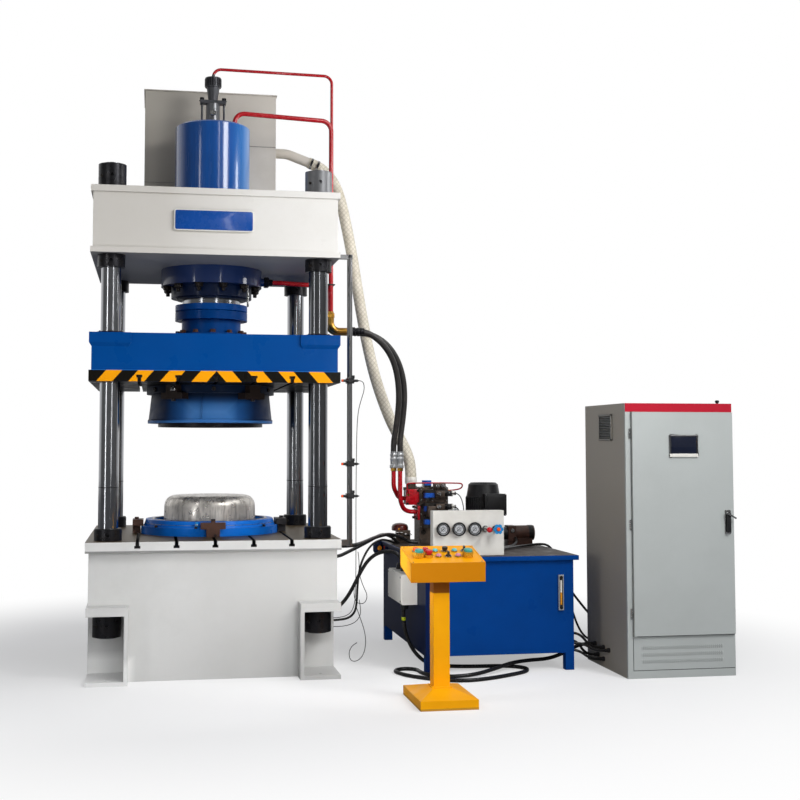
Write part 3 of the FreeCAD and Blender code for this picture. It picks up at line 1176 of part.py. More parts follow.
# ---- control cabinet -------------------------------------------------------------------------
def make_cabinet():
    """Sheet-metal cabinet with a hinged door, a touch screen, a handle and cable glands."""
    front = "cabinet_front"
    case = box("cabinet_case", "cabinet_width", "cabinet_depth", "cabinet_height", "cabinet_left", front, 0)
    inside = box("cabinet_inside", "cabinet_width - 2 * cabinet_wall", "cabinet_depth - 2 * cabinet_wall",
                 "cabinet_height - 2 * cabinet_wall", "cabinet_left + cabinet_wall", f"{front} + cabinet_wall",
                 "cabinet_wall")
    door_width = "cabinet_width - door_left - cabinet_wall - 2"
    opening = box("cabinet_opening", f"{door_width} - 2 * cabinet_frame", "cabinet_wall + 2",
                  "door_top - door_bottom - 2 * cabinet_frame", "cabinet_left + door_left + cabinet_frame",
                  f"{front} - 1", "door_bottom + cabinet_frame")
    tools = [inside, opening]
    for row in (-1, 0, 1):
        tools.append(box(f"louvre_{row + 1}", "louvre_length", "cabinet_wall + 2", 6,
                         "cabinet_left + cabinet_width / 2 - louvre_length / 2", f"{front} - 1",
                         f"sill_bottom + sill_height / 2 + {row} * louvre_pitch - 3"))
    for row in range(6):
        tools.append(box(f"side_vent_{row}", "cabinet_wall + 2", 240, 6, "cabinet_left - 1",
                         f"{front} + 226", f"1570 + {row} * 25"))
    hinge_x, hinge_y = "cabinet_left + door_left + hinge_inset", f"{front} - door_gap - door_thickness / 2"
    brackets = []
    for name, plate_low, pin_low in (
            ("hinge_upper", "door_top + hinge_play", "door_top - 8"),
            ("hinge_lower", "door_bottom - hinge_play - hinge_plate", "door_bottom - hinge_play - hinge_plate")):
        brackets.append(box(name + "_plate", 18, "door_gap + door_thickness - 2", "hinge_plate",
                            f"{hinge_x} - 7", f"{front} - door_gap - door_thickness + 2", plate_low))
        brackets.append(rod(name + "_pin", "hinge_pin", "hinge_plate + hinge_play + 8", hinge_x, hinge_y, pin_low))
    node(fuse("cabinet_whole", cut("cabinet_shell", case, *tools), *brackets), "cabinet")
    door = box("door_pan", door_width, "door_thickness", "door_top - door_bottom", "cabinet_left + door_left",
               f"{front} - door_gap - door_thickness", "door_bottom")
    hollow = box("door_hollow", f"{door_width} - 8", "door_thickness", "door_top - door_bottom - 8",
                 "cabinet_left + door_left + 4", f"{front} - door_gap - door_thickness + 3", "door_bottom + 4")
    screen_hole = box("door_screen_hole", "screen_width - 12", 8, "screen_height - 12",
                      "cabinet_left + screen_left + 6", f"{front} - door_gap - door_thickness - 1",
                      "screen_bottom + 6")
    handle_hole = rod("door_handle_hole", "handle_pivot + 2 * turning_gap", 10, "cabinet_left + handle_left",
                      f"{front} - door_gap - door_thickness - 1", "handle_height", "y")
    pin_holes = [rod(f"door_pin_hole_{number}", "hinge_pin + 2 * turning_gap", 10, hinge_x, hinge_y, low)
                 for number, low in enumerate(("door_bottom - 1", "door_top - 9"))]
    node(cut("door_whole", door, hollow, screen_hole, handle_hole, *pin_holes), "cabinet_door")
    skin = f"{front} - door_gap - door_thickness"
    bezel = box("screen_bezel", "screen_width", 6, "screen_height", "cabinet_left + screen_left", f"{skin} - 6",
                "screen_bottom")
    back = box("screen_body", "screen_width - 14", 40, "screen_height - 14", "cabinet_left + screen_left + 7",
               f"{skin} - 1", "screen_bottom + 7")
    node(fuse("touch_screen", bezel, back), "touch_screen")
    pivot = rod("handle_pin", "handle_pivot", 44, "cabinet_left + handle_left", f"{skin} - 24", "handle_height", "y")
    lever = box("handle_lever", 24, 14, 128, "cabinet_left + handle_left - 12", f"{skin} - 30",
                "handle_height - 108")
    node(fuse("door_handle", pivot, lever), "door_handle")
    glands = []
    for number, (depth, height) in enumerate(((594, 137), (432, 137), (332, 132), (539, 72), (434, 58))):
        at_y = f"{front} + {depth}"
        glands.append(fuse(f"gland_{number}",
                           rod(f"gland_nut_{number}", "gland_size + 8", 14, "cabinet_left - 14", at_y, height, "x"),
                           rod(f"gland_cap_{number}", "gland_size", 20, "cabinet_left - 34", at_y, height, "x")))
    node(group("cable_glands", glands), "cable_glands")


# ---- hoses and cables ------------------------------------------------------------------------
def make_hoses():
    """Hoses and cables that hang or lie free, each one tube along its route.

    The points between the two ends are the lie of each hose, chosen by hand.
    """
    outlet_x = measure("header_width / 2") + 282
    outlet_y = measure("header_front + header_depth / 2")
    outlet_z = measure("outlet_height") - 62
    fall = 62 / 172
    stub_x, stub_y = measure("manifold_left") - 50, measure("manifold_front") + 85
    stub_top = measure("unit_top + lid_plate + manifold_height") + 40
    suction = [
        (outlet_x, outlet_y, outlet_z), (outlet_x + 76, outlet_y, outlet_z - 76 * fall), (918, 549, 3660),
        (970, 547, 3592), (1010, 544, 3508), (1040, 539, 3398), (1070, 532, 3260), (1110, 521, 3050),
        (1160, 500, 2720), (1200, 485, 2470), (1240, 470, 2255), (1298, 450, 2008), (1392, 422, 1738),
        (1462, 390, 1590), (1522, 354, 1462), (stub_x, stub_y, stub_top + 110), (stub_x, stub_y, stub_top),
    ]
    node(tube("suction_hose_run", suction, measure("suction_hose_size")), "suction_hose")

    elbow_x = measure("pipe_side + elbow_reach")
    elbow_z = measure("pipe_end - elbow_drop")
    end_x, end_y, end_z = measure("hose_left"), measure("hose_back"), measure("hose_end")
    front = [
        (elbow_x, -30, elbow_z), (elbow_x + 90, -30, elbow_z), (1205, -16, 2322), (1292, 12, 2248),
        (1360, 48, 2142), (1398, 84, 2010), (1412, 116, 1862), (1404, 148, 1712), (1390, 176, 1592),
        (end_x, end_y, end_z + 70), (end_x, end_y, end_z),
    ]
    node(tube("pressure_hose_front_run", front, measure("pressure_hose_size")), "pressure_hose_front")
    rear = [
        (elbow_x, 96, elbow_z), (elbow_x + 90, 96, elbow_z), (1222, 106, 2342), (1328, 124, 2276),
        (1410, 146, 2164), (1458, 168, 2022), (1470, 184, 1872), (1458, 194, 1722), (1441, 194, 1602),
        (end_x + measure("hose_pitch"), end_y, end_z + 70), (end_x + measure("hose_pitch"), end_y, end_z),
    ]
    node(tube("pressure_hose_rear_run", rear, measure("pressure_hose_size")), "pressure_hose_rear")

    bed_side, lid = measure("plate_width / 2"), measure("unit_top + lid_plate")
    upper = [
        (bed_side, -690, 842), (bed_side + 66, -690, 842), (962, -636, 844), (1014, -548, 848),
        (1070, -440, 854),
        (1134, -310, 861), (1218, -160, 868), (1300, -20, 868), (1376, 80, 852), (1448, 140, lid + 50),
        (1500, 152, lid + 18), (1560, 152, lid + 18),
    ]
    node(tube("press_cable_run", upper, measure("signal_cable_size")), "press_cable")

    foot_side = measure("body_width / 2")
    inlet_x, inlet_z = measure("unit_left - junction_depth / 2"), measure("junction_bottom + junction_height")
    feed = [
        (foot_side, -300, 372), (foot_side + 60, -300, 372), (916, -298, 404), (964, -294, 462),
        (1010, -288, 542), (1056, -284, 632), (1110, -284, 712), (1180, -304, 762), (1269, -346, 774),
        (1315, -367, 744), (inlet_x, -380, inlet_z + 60), (inlet_x, -380, inlet_z),
    ]
    node(tube("junction_cable_run", feed, measure("signal_cable_size")), "junction_cable")

    under_x = measure("unit_left - junction_depth") + 16
    under_z = measure("junction_bottom")
    gland_x, gland_y, gland_z = measure("cabinet_left") - 34, measure("cabinet_front") + 594, 137
    on_floor = measure("floor_cable_size / 2")
    floor = [
        (under_x, -560, under_z), (under_x, -560, under_z - 80), (1314, -560, 258), (1340, -562, 172),
        (1386, -572, 92), (1446, -594, 36), (1530, -630, on_floor), (1650, -676, on_floor),
        (1790, -700, on_floor), (1930, -704, on_floor), (2040, -740, on_floor), (2108, -824, on_floor),
        (2076, -932, on_floor), (1950, -1026, on_floor), (1790, -1122, on_floor), (1620, -1186, on_floor),
        (1480, -1158, on_floor), (1362, -1070, on_floor), (1254, -950, on_floor), (1206, -825, on_floor),
        (1206, -755, on_floor), (1256, -705, on_floor), (1314, -705, on_floor), (1362, -753, on_floor),
        (1362, -830, on_floor), (1378, -914, on_floor), (1442, -992, on_floor), (1558, -1040, on_floor),
        (1700, -1016, on_floor + 6), (1850, -916, on_floor + 18),
        (1998, -800, on_floor + 34), (2150, -716, on_floor + 34), (2310, -668, on_floor + 30), (2430, -650, 78),
        (2510, gland_y, 122), (2562, gland_y, gland_z), (gland_x, gland_y, gland_z),
    ]
    node(tube("floor_cable_run", floor, measure("floor_cable_size")), "floor_cable")


make_bed()
make_crown()
make_columns()
make_nuts()
make_cylinder()
make_ram()
make_prefill_valve()
make_upper_tank()
make_slide()
make_tooling()
make_pressure_pipes()
make_sensor_pole()
make_reservoir()
make_motor()
make_manifold()
make_feed_pump()
make_gauge_panel()
make_stand()
make_controls()
make_cabinet()
make_hoses()

doc.recompute()
for thing in doc.Objects:
    if "Invalid" in thing.State or "Error" in thing.State:
        raise RuntimeError(f"{thing.Label}: {thing.State}")
os.makedirs("parts", exist_ok=True)
for thing in nodes:
    if thing.Shape.isNull() or not thing.Shape.isValid() or not thing.Shape.Solids:
        raise RuntimeError(f"{thing.Label}: no valid solid")
    thing.Shape.exportStep(f"parts/{thing.Label}.step")
print(f"{len(nodes)} sub-parts")
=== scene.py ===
"""Hydraulic deep-drawing press with its tank, power unit, pedestal and cabinet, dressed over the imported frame.

Metres, +X to the operator's right, +Y to the rear, +Z up, the floor at z = 0 under the ram.
"""

import logging
import math
from collections.abc import Callable, Iterable, Sequence
from dataclasses import dataclass
from enum import Enum

import bmesh
import bpy
from mathutils import Euler, Matrix, Vector

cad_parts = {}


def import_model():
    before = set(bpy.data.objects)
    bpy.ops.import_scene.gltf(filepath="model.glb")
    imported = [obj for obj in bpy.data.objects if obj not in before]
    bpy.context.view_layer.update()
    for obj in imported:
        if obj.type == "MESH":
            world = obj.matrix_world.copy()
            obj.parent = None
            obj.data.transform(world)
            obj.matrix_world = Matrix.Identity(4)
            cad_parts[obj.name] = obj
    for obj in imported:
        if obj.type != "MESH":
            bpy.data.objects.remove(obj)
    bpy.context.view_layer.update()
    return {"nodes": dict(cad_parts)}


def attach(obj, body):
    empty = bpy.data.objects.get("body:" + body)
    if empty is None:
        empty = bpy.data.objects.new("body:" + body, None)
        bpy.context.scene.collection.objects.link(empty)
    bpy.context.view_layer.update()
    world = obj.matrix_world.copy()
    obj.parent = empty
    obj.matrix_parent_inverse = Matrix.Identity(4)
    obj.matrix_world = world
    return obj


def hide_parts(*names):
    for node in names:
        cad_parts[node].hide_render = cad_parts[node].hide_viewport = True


Point = tuple[float, float, float]
Piece = bpy.types.Object
Socket = bpy.types.NodeSocket
Tree = bpy.types.NodeTree

logging.basicConfig(level=logging.INFO, format="%(message)s")
LOG = logging.getLogger("press")


class Axis(Enum):
    """Direction that a turned or long piece is built along."""

    X = (0.0, math.pi / 2, 0.0)
    Y = (-math.pi / 2, 0.0, 0.0)
    Z = (0.0, 0.0, 0.0)


# ---- colour and nodes ------------------------------------------------------------------------
def linear(colour: str) -> tuple[float, float, float, float]:
    """Turn an sRGB hex colour to linear light.

    Args:
        colour: "#rrggbb".

    Returns:
        Red, green, blue and an alpha of 1.
    """
    shares = [int(colour[start:start + 2], 16) / 255 for start in (1, 3, 5)]
    light = [share / 12.92 if share <= 0.04045 else ((share + 0.055) / 1.055) ** 2.4 for share in shares]
    return light[0], light[1], light[2], 1.0


def wired(tree: Tree, kind: str, values: dict | None = None) -> bpy.types.Node:
    """Add a node with its settings and links.

    Args:
        tree: The node tree.
        kind: Blender's name of the node type, without ShaderNode.
        values: Properties by name, and inputs by name or number: a socket is linked, another value is set.

    Returns:
        The new node.
    """
    made = tree.nodes.new("ShaderNode" + kind)
    for key, value in (values or {}).items():
        if isinstance(value, Socket):
            tree.links.new(value, made.inputs[key])
        elif isinstance(key, str) and hasattr(made, key) and (key not in made.inputs or key.islower()):
            setattr(made, key, value)
        else:
            made.inputs[key].default_value = value
    return made


def maths(tree: Tree, operation: str, *values: Socket | float) -> Socket:
    """Add a math node and give its output."""
    return wired(tree, "Math", {"operation": operation, **dict(enumerate(values))}).outputs[0]


def vectors(tree: Tree, operation: str, *values: Socket | Sequence[float]) -> bpy.types.Node:
    """Add a vector math node."""
    return wired(tree, "VectorMath", {"operation": operation, **dict(enumerate(values))})


def spread(tree: Tree, value: Socket, given: tuple[float, float], wanted: tuple[float, float],
           **settings: str) -> Socket:
    """Map a value from one range to another.

    Args:
        tree: The node tree.
        value: What to map.
        given: The range that it comes in.
        wanted: The range that it leaves in.
        settings: Further properties of the node.

    Returns:
        The mapped value.
    """
    return wired(tree, "MapRange", {"From Min": given[0], "From Max": given[1], "To Min": wanted[0],
                                    "To Max": wanted[1], "Value": value, **settings}).outputs[0]


def noise(tree: Tree, place: Socket, scale: float, detail: float, **settings: float) -> Socket:
    """Add a noise texture.

    Args:
        tree: The node tree.
        place: Object coordinates.
        scale: Its scale.
        detail: Its detail.
        settings: Further inputs.

    Returns:
        The noise.
    """
    return wired(tree, "TexNoise", {"Scale": scale, "Detail": detail, "Vector": place, **settings}).outputs[0]


def placed(tree: Tree, place: Socket, **turn: Point) -> Socket:
    """Stretch or turn coordinates, by Scale and Rotation."""
    return wired(tree, "Mapping", {"Vector": place, **turn}).outputs[0]


def bumped(tree: Tree, height: Socket, depth_mm: float, strength: float, rounded: Socket) -> Socket:
    """Raise a height over the rounded normal.

    Args:
        tree: The node tree.
        height: The height.
        depth_mm: Its depth.
        strength: Strength of the bump.
        rounded: The normal with rounded edges.

    Returns:
        The normal.
    """
    return wired(tree, "Bump", {"Strength": strength, "Distance": depth_mm / 1000, "Height": height,
                                "Normal": rounded}).outputs[0]


def mixed(tree: Tree, share: Socket | float, first: object, second: object) -> Socket:
    """Mix two colours, each a socket or a colour, by the share of the second."""
    return wired(tree, "Mix", {"data_type": "RGBA", "clamp_factor": True, 0: share, 6: first, 7: second}).outputs[2]


def blended(tree: Tree, share: Socket, first: object, second: object) -> Socket:
    """Mix two numbers, each a socket or a number, by the share of the second."""
    return wired(tree, "Mix", {"data_type": "FLOAT", 0: share, 2: first, 3: second}).outputs[0]


@dataclass(frozen=True)
class Zone:
    """A region of a piece with another finish: a box in the frame, at the piece's rest place."""

    low: Point
    high: Point
    colour: str
    roughness: float
    metallic: float = 0.0
    soft: float = 0.0008

    def mask(self, tree: Tree, place: Socket) -> Socket:
        """Build the share of this zone at each point.

        Args:
            tree: The node tree.
            place: Object coordinates.

        Returns:
            A socket that is 1 inside the box and 0 outside.
        """
        middle = [(a + b) / 2 for a, b in zip(self.low, self.high)]
        half = [(b - a) / 2 for a, b in zip(self.low, self.high)]
        off = vectors(tree, "SUBTRACT", place, middle).outputs[0]
        size = vectors(tree, "ABSOLUTE", off).outputs[0]
        over = vectors(tree, "SUBTRACT", size, half).outputs[0]
        parts = wired(tree, "SeparateXYZ", {0: over}).outputs
        most = maths(tree, "MAXIMUM", maths(tree, "MAXIMUM", parts[0], parts[1]), parts[2])
        return spread(tree, most, (self.soft, -self.soft), (0.0, 1.0))


@dataclass(frozen=True)
class Finish:
    """A surface: its colour, its gloss and the traces that making and use leave.

    colour is the clean one and dull the one that clouds, dust or handling mix in. cloud_mm and grain_mm are
    the widths of those clouds and of the surface's own grain. relief_mm is the grain's depth. The edge share is
    how far edges show the edge colour: worn metal or primer on some finishes, and on others a lighter tint of the
    paint, a painted highlight. Zones give regions another colour, among them painted light and painted shade.
    """

    name: str
    colour: str
    dull: str
    roughness: float
    metallic: float = 0.0
    coat: float = 0.0
    cloud_mm: float = 420.0
    cloud: float = 0.35
    grain_mm: float = 14.0
    relief_mm: float = 0.25
    smudge: float = 0.12
    edge_wear_and_light: float = 0.25
    edge_colour_worn_and_lit: str = "#C9CBCC"
    edge_mm: float = 3.0
    stretch: Point = (1.0, 1.0, 1.0)
    specular: float = 0.5
    zones: tuple[Zone, ...] = ()

    def build(self) -> bpy.types.Material:
        """Make the material, once.

        Returns:
            The material, with all its patterns on Object coordinates.
        """
        known = bpy.data.materials.get(self.name)
        if known is not None:
            return known
        made = bpy.data.materials.new(self.name)
        made.use_nodes = True
        tree = made.node_tree
        tree.nodes.clear()
        place = wired(tree, "TexCoord").outputs["Object"]
        along = placed(tree, place, Scale=self.stretch)
        shader = wired(tree, "BsdfPrincipled", {"Metallic": self.metallic, "Coat Weight": self.coat,
                                                "Coat Roughness": 0.08, "Specular IOR Level": self.specular})
        colour = self.patterned(tree, place, self.clouded(tree, along))
        gloss = self.smudged(tree, along)
        metal = None
        for zone in self.zones:
            share = zone.mask(tree, place)
            colour = mixed(tree, share, colour, linear(zone.colour))
            gloss = blended(tree, share, gloss, zone.roughness)
            if zone.metallic or metal is not None or self.metallic:
                metal = blended(tree, share, self.metallic if metal is None else metal, zone.metallic)
        rounded = wired(tree, "Bevel", {"samples": 4, "Radius": self.edge_mm / 1000}).outputs[0]
        if self.edge_wear_and_light:
            colour = self.edges_worn_and_lit(tree, place, rounded, colour)
        tree.links.new(colour, shader.inputs["Base Color"])
        tree.links.new(gloss, shader.inputs["Roughness"])
        tree.links.new(self.relief(tree, along, rounded), shader.inputs["Normal"])
        if metal is not None:
            tree.links.new(metal, shader.inputs["Metallic"])
        wired(tree, "OutputMaterial", {"Surface": shader.outputs[0]})
        return made

    def clouded(self, tree: Tree, place: Socket) -> Socket:
        """Mix the dull colour into the clean one in slow clouds and finer specks."""
        slow = noise(tree, place, 1000 / self.cloud_mm, 6.0, Roughness=0.62)
        return mixed(tree, spread(tree, slow, (0.42, 0.72), (0.0, self.cloud)), linear(self.colour),
                     linear(self.dull))

    def smudged(self, tree: Tree, place: Socket) -> Socket:
        """Vary the roughness as wiping and handling do."""
        hand = noise(tree, place, 1000 / (self.cloud_mm * 0.35), 4.0)
        return spread(tree, hand, (0.3, 0.7), (max(0.03, self.roughness - self.smudge),
                                               min(1.0, self.roughness + self.smudge)))

    def patterned(self, tree: Tree, place: Socket, colour: Socket) -> Socket:
        """Leave the colour as it is; finishes with a pattern of their own override this."""
        return colour

    def edges_worn_and_lit(self, tree: Tree, place: Socket, rounded: Socket, colour: Socket) -> Socket:
        """Mix the edge colour into the edges in patches: wear, and on some finishes a painted highlight.

        Args:
            tree: The node tree.
            place: Object coordinates.
            rounded: The normal with rounded edges.
            colour: The colour so far.

        Returns:
            The colour with worn edges and painted edge highlights.
        """
        flat = wired(tree, "NewGeometry").outputs["Normal"]
        turn = vectors(tree, "DOT_PRODUCT", rounded, flat).outputs["Value"]
        edge = spread(tree, turn, (0.985, 0.86), (0.0, self.edge_wear_and_light))
        share = wired(tree, "Math", {"operation": "MULTIPLY", "use_clamp": True, 0: edge,
                                     1: noise(tree, place, 22.0, 5.0)})
        return mixed(tree, share.outputs[0], colour, linear(self.edge_colour_worn_and_lit))

    def relief(self, tree: Tree, place: Socket, rounded: Socket) -> Socket:
        """Raise the surface's grain, over the normal with rounded edges."""
        return bumped(tree, noise(tree, place, 1000 / self.grain_mm, 3.0), self.relief_mm, 0.6, rounded)


@dataclass(frozen=True)
class StripedEnamel(Finish):
    """Enamel with slanting warning bands in one strip of the piece, mirrored about the ram axis."""

    strip_low: float = 1.937
    strip_high: float = 2.010
    pitch: float = 0.203
    duty: float = 0.5
    lean: float = 0.87
    start: float = 0.0635
    count: float = 4.0
    face: float = -0.8
    band: str = "#F7A20A"
    ground: str = "#15130F"

    def patterned(self, tree: Tree, place: Socket, colour: Socket) -> Socket:
        """Paint the strip, with its bands on the front face only.

        Args:
            tree: The node tree.
            place: Object coordinates.
            colour: The enamel.

        Returns:
            The colour with the strip.
        """
        parts = wired(tree, "SeparateXYZ", {0: place}).outputs
        slant = maths(tree, "MULTIPLY_ADD", parts[2], self.lean, maths(tree, "ABSOLUTE", parts[0]))
        steps = maths(tree, "MULTIPLY_ADD", slant, 1 / self.pitch,
                      -(self.start + self.lean * self.strip_low) / self.pitch)
        bands = maths(tree, "LESS_THAN", maths(tree, "FRACT", steps), self.duty)
        for test in (("GREATER_THAN", steps, 0.0), ("LESS_THAN", steps, self.count),
                     ("LESS_THAN", parts[1], self.face)):
            bands = maths(tree, "MULTIPLY", bands, maths(tree, *test))
        tape = mixed(tree, bands, linear(self.ground), linear(self.band))
        strip = maths(tree, "COMPARE", parts[2], (self.strip_low + self.strip_high) / 2,
                      (self.strip_high - self.strip_low) / 2)
        return mixed(tree, strip, colour, tape)


@dataclass(frozen=True)
class GroundSteel(Finish):
    """Ground or turned metal: fine rings round the piece, smeared along it by wiping."""

    rings_mm: float = 7.0

    def relief(self, tree: Tree, place: Socket, rounded: Socket) -> Socket:
        """Cut the rings of the tool, drawn coarser than real so that they show."""
        flat = placed(tree, place, Scale=(0.05, 0.05, 1.0))
        return bumped(tree, noise(tree, flat, 1000 / self.rings_mm, 2.0), self.relief_mm, 0.5, rounded)


@dataclass(frozen=True)
class ScuffedSteel(Finish):
    """Steel rubbed by sheet after sheet: broad dents of light, hair scratches up and down."""

    dent_mm: float = 75.0
    dent_depth_mm: float = 1.6
    scratch: str = "#77726C"

    def patterned(self, tree: Tree, place: Socket, colour: Socket) -> Socket:
        """Draw the scratches in two leaning sets.

        Args:
            tree: The node tree.
            place: Object coordinates.
            colour: The steel.

        Returns:
            The colour with its scratches.
        """
        for lean, size, most in ((0.45, 55.0, 0.5), (-0.7, 32.0, 0.6)):
            long = placed(tree, place, Rotation=(lean, lean, 0.0), Scale=(1.0, 1.0, 0.13))
            share = spread(tree, noise(tree, long, size, 4.0), (0.52, 0.66), (0.0, most))
            colour = mixed(tree, share, colour, linear(self.scratch))
        return colour

    def relief(self, tree: Tree, place: Socket, rounded: Socket) -> Socket:
        """Dent the surface softly."""
        dents = noise(tree, place, 1000 / self.dent_mm, 0.6, Distortion=0.8)
        return bumped(tree, dents, self.dent_depth_mm, 0.8, rounded)


@dataclass(frozen=True)
class FibreRubber(Finish):
    """Hose rubber with the diamonds of its fibre wrap showing through."""

    diamond_mm: float = 26.0
    fibre: str = "#8D8574"

    def patterned(self, tree: Tree, place: Socket, colour: Socket) -> Socket:
        """Cross two sets of slanting lines.

        Args:
            tree: The node tree.
            place: Object coordinates.
            colour: The rubber.

        Returns:
            The colour with the fibre in it.
        """
        sets = []
        for lean in (0.75, -0.75):
            wave = wired(tree, "TexWave", {"wave_type": "BANDS", "bands_direction": "X", "Distortion": 0.6,
                                           "Scale": 314.0 / self.diamond_mm,
                                           "Vector": placed(tree, place, Rotation=(0.0, lean, 0.0))})
            sets.append(spread(tree, wave.outputs[1], (0.78, 0.98), (0.0, 0.42)))
        return mixed(tree, maths(tree, "MAXIMUM", *sets), colour, linear(self.fibre))


SLOT_PITCH = 0.25
SLOTS = tuple(SLOT_PITCH * number for number in range(-2, 3))


def slot_zones(mouth: tuple[float, float], head: tuple[float, float], deep: float) -> tuple[Zone, ...]:
    """Darken the T-slots of a plate, where no light reaches.

    Args:
        mouth: Low and high edge of the slots' necks.
        head: Low and high edge of their heads.
        deep: How far the slots reach to the front and rear.

    Returns:
        The zones.
    """
    return tuple(Zone((middle - half, -deep, low), (middle + half, deep, high), "#0C0B0B", 0.7)
                 for middle in SLOTS for half, (low, high) in ((0.0118, mouth), (0.0193, head)))


# ---- the finishes of the machine -------------------------------------------------------------
def moulded(name: str, colour: str, dull: str, roughness: float = 0.3, edge_mm: float = 0.8) -> Finish:
    """Give the even finish of a small moulded plastic part."""
    return Finish(name, colour, dull, roughness, cloud_mm=20, edge_wear_and_light=0.0, edge_mm=edge_mm)


# Each value starts from the real material and was then matched to the machine.
# White two-pack paint on welded plate: soft gloss, faint weld heat and dust clouds, edges rubbed to primer. The
# top plate's face is bare machined steel, oiled brown. Painted shade darkens the right half and draws a dark line
# under the top plate's edge; painted light brightens the left foot.
BED = Finish("bed_paint_grey_white", "#D6D6D4", "#BABAB6", 0.4, specular=0.3, cloud=0.35, edge_wear_and_light=0.3,
             edge_colour_worn_and_lit="#8E8A84",
             zones=(Zone((0.1, -1.5, -0.5), (1.5, 1.5, 1.5), "#BFBFBD", 0.4, soft=0.4),
                    Zone((-1.5, -1.5, -0.5), (-0.53, 1.5, 0.14), "#F0F0EE", 0.4, soft=0.03),
                    Zone((-0.9, -0.93, 0.8300), (0.9, 0.93, 0.8425), "#8C8C8A", 0.5),
                    Zone((-0.9, -0.9, 0.8992), (0.9, 0.9, 0.91), "#56472F", 0.45, 0.4),
                    *slot_zones((0.8740, 0.8985), (0.8572, 0.8748), 0.93)))
# The same paint in cream: large calm faces with a slow sheen, painted shade darkening the left end and the
# underside, and a painted white highlight on the edges.
CROWN = Finish("crown_paint_cream", "#EBE9E4", "#D6D2C9", 0.38, specular=0.25, cloud=0.3, edge_wear_and_light=0.15,
               edge_colour_worn_and_lit="#FFFFFF",
               zones=(Zone((-1.3, -0.9, 2.7), (-0.25, 0.9, 3.3), "#BDB8AF", 0.4, soft=0.5),
                      Zone((-0.83, -0.82, 2.7), (0.83, 0.82, 2.7835), "#7E8083", 0.5),))
# Brushed-on cream paint over thin sheet: flatter, with warm streaks and grey rubbed corners; the left part is
# painted darker as the cylinder's shadow.
TANK_CREAM = Finish("upper_tank_paint_cream", "#CCC6BC", "#B3ACA0", 0.45, specular=0.2, cloud=0.5, edge_wear_and_light=0.3,
                    edge_colour_worn_and_lit="#8A857B",
                    zones=(Zone((-0.9, 0.1, 3.1), (-0.1, 1.0, 4.4), "#A7A298", 0.45, soft=0.3),))
# Ground hard chrome: mirror-like up and down the column, broken by fine rings, so it shows long streaks; the
# front right column is painted darker as shade.
CHROME = GroundSteel("hard_chrome_ground", "#A9ABAF", "#85878A", 0.15, 1.0, cloud_mm=90, cloud=0.3, smudge=0.04,
                     edge_wear_and_light=0.0, relief_mm=0.02, edge_mm=1.0, stretch=(1.0, 1.0, 0.35),
                     zones=(Zone((0.60, -0.78, 0.0), (0.78, -0.60, 3.5), "#86888C", 0.15, 1.0),))
# Black oxide on turned steel: near black with a dull metal glint, corners worn bright; the front right nut on top
# of the crown is painted lighter as a highlight.
BLACK_STEEL = Finish("black_oxide_steel", "#26262A", "#3B3834", 0.36, 0.7, cloud_mm=60, edge_wear_and_light=0.35,
                     edge_colour_worn_and_lit="#77777A", edge_mm=1.5,
                     zones=(Zone((0.58, -0.80, 3.22), (0.80, -0.56, 3.40), "#77787A", 0.42, 0.6),))
# Sprayed machine enamel: deep saturated blue, slight orange peel, with hard-edged yellow and black tape; a painted
# highlight line runs just above the tape, and the edges carry a painted lighter-blue highlight.
SLIDE_BLUE = StripedEnamel("enamel_slide_blue", "#00468E", "#003A78", 0.34, coat=0.02, specular=0.08, cloud=0.35,
                           grain_mm=22, edge_wear_and_light=0.2, edge_colour_worn_and_lit="#3F7FD0", zones=(
                               Zone((-0.84, -0.84, 2.0095), (0.84, -0.80, 2.0135), "#2E86D8", 0.3),
                               Zone((-0.83, -0.83, 2.2578), (-0.45, 0.83, 2.2705), "#1E1512", 0.5),
                               Zone((0.45, -0.83, 2.2578), (0.83, 0.83, 2.2705), "#1E1512", 0.5),
                               *slot_zones((1.9365, 1.9795), (1.9622, 1.9800), 0.86)))
# Glossier enamel over a turned barrel: the softboxes stand in it as tall bands, and a lighter band is painted down
# its right side as a highlight; the flange under the crown is painted dark as shade; the edges carry a painted
# lighter-blue highlight.
CYLINDER_BLUE = Finish("enamel_cylinder_blue", "#034E9C", "#05376E", 0.22, coat=0.7, specular=0.4, cloud_mm=70,
                       cloud=0.5, grain_mm=18, edge_wear_and_light=0.2, edge_colour_worn_and_lit="#3F7FD0", stretch=(1.0, 1.0, 0.06),
                       zones=(Zone((0.17, -0.4, 2.80), (0.40, 0.4, 3.95), "#2470B6", 0.3, soft=0.05),
                              Zone((-0.5, -0.5, 2.655), (0.5, 0.5, 2.784), "#0C2A5E", 0.42),))
# Blue enamel painted dark as shade, under the crown and on the tank's end lug: almost black, the edges catching
# light blue as a painted highlight.
NAVY = Finish("enamel_navy", "#0B1D3E", "#081429", 0.38, coat=0.1, specular=0.25, cloud=0.4, edge_wear_and_light=0.25,
              edge_colour_worn_and_lit="#3A6FB9")
# The same enamel painted a little lighter as light, on the split ring round the rod; its edges carry a painted
# lighter-blue highlight.
RAM_FLANGE = Finish("enamel_flange_blue", "#0254A8", "#02438A", 0.36, coat=0.03, specular=0.1, edge_wear_and_light=0.3,
                    edge_colour_worn_and_lit="#4F8FDF")
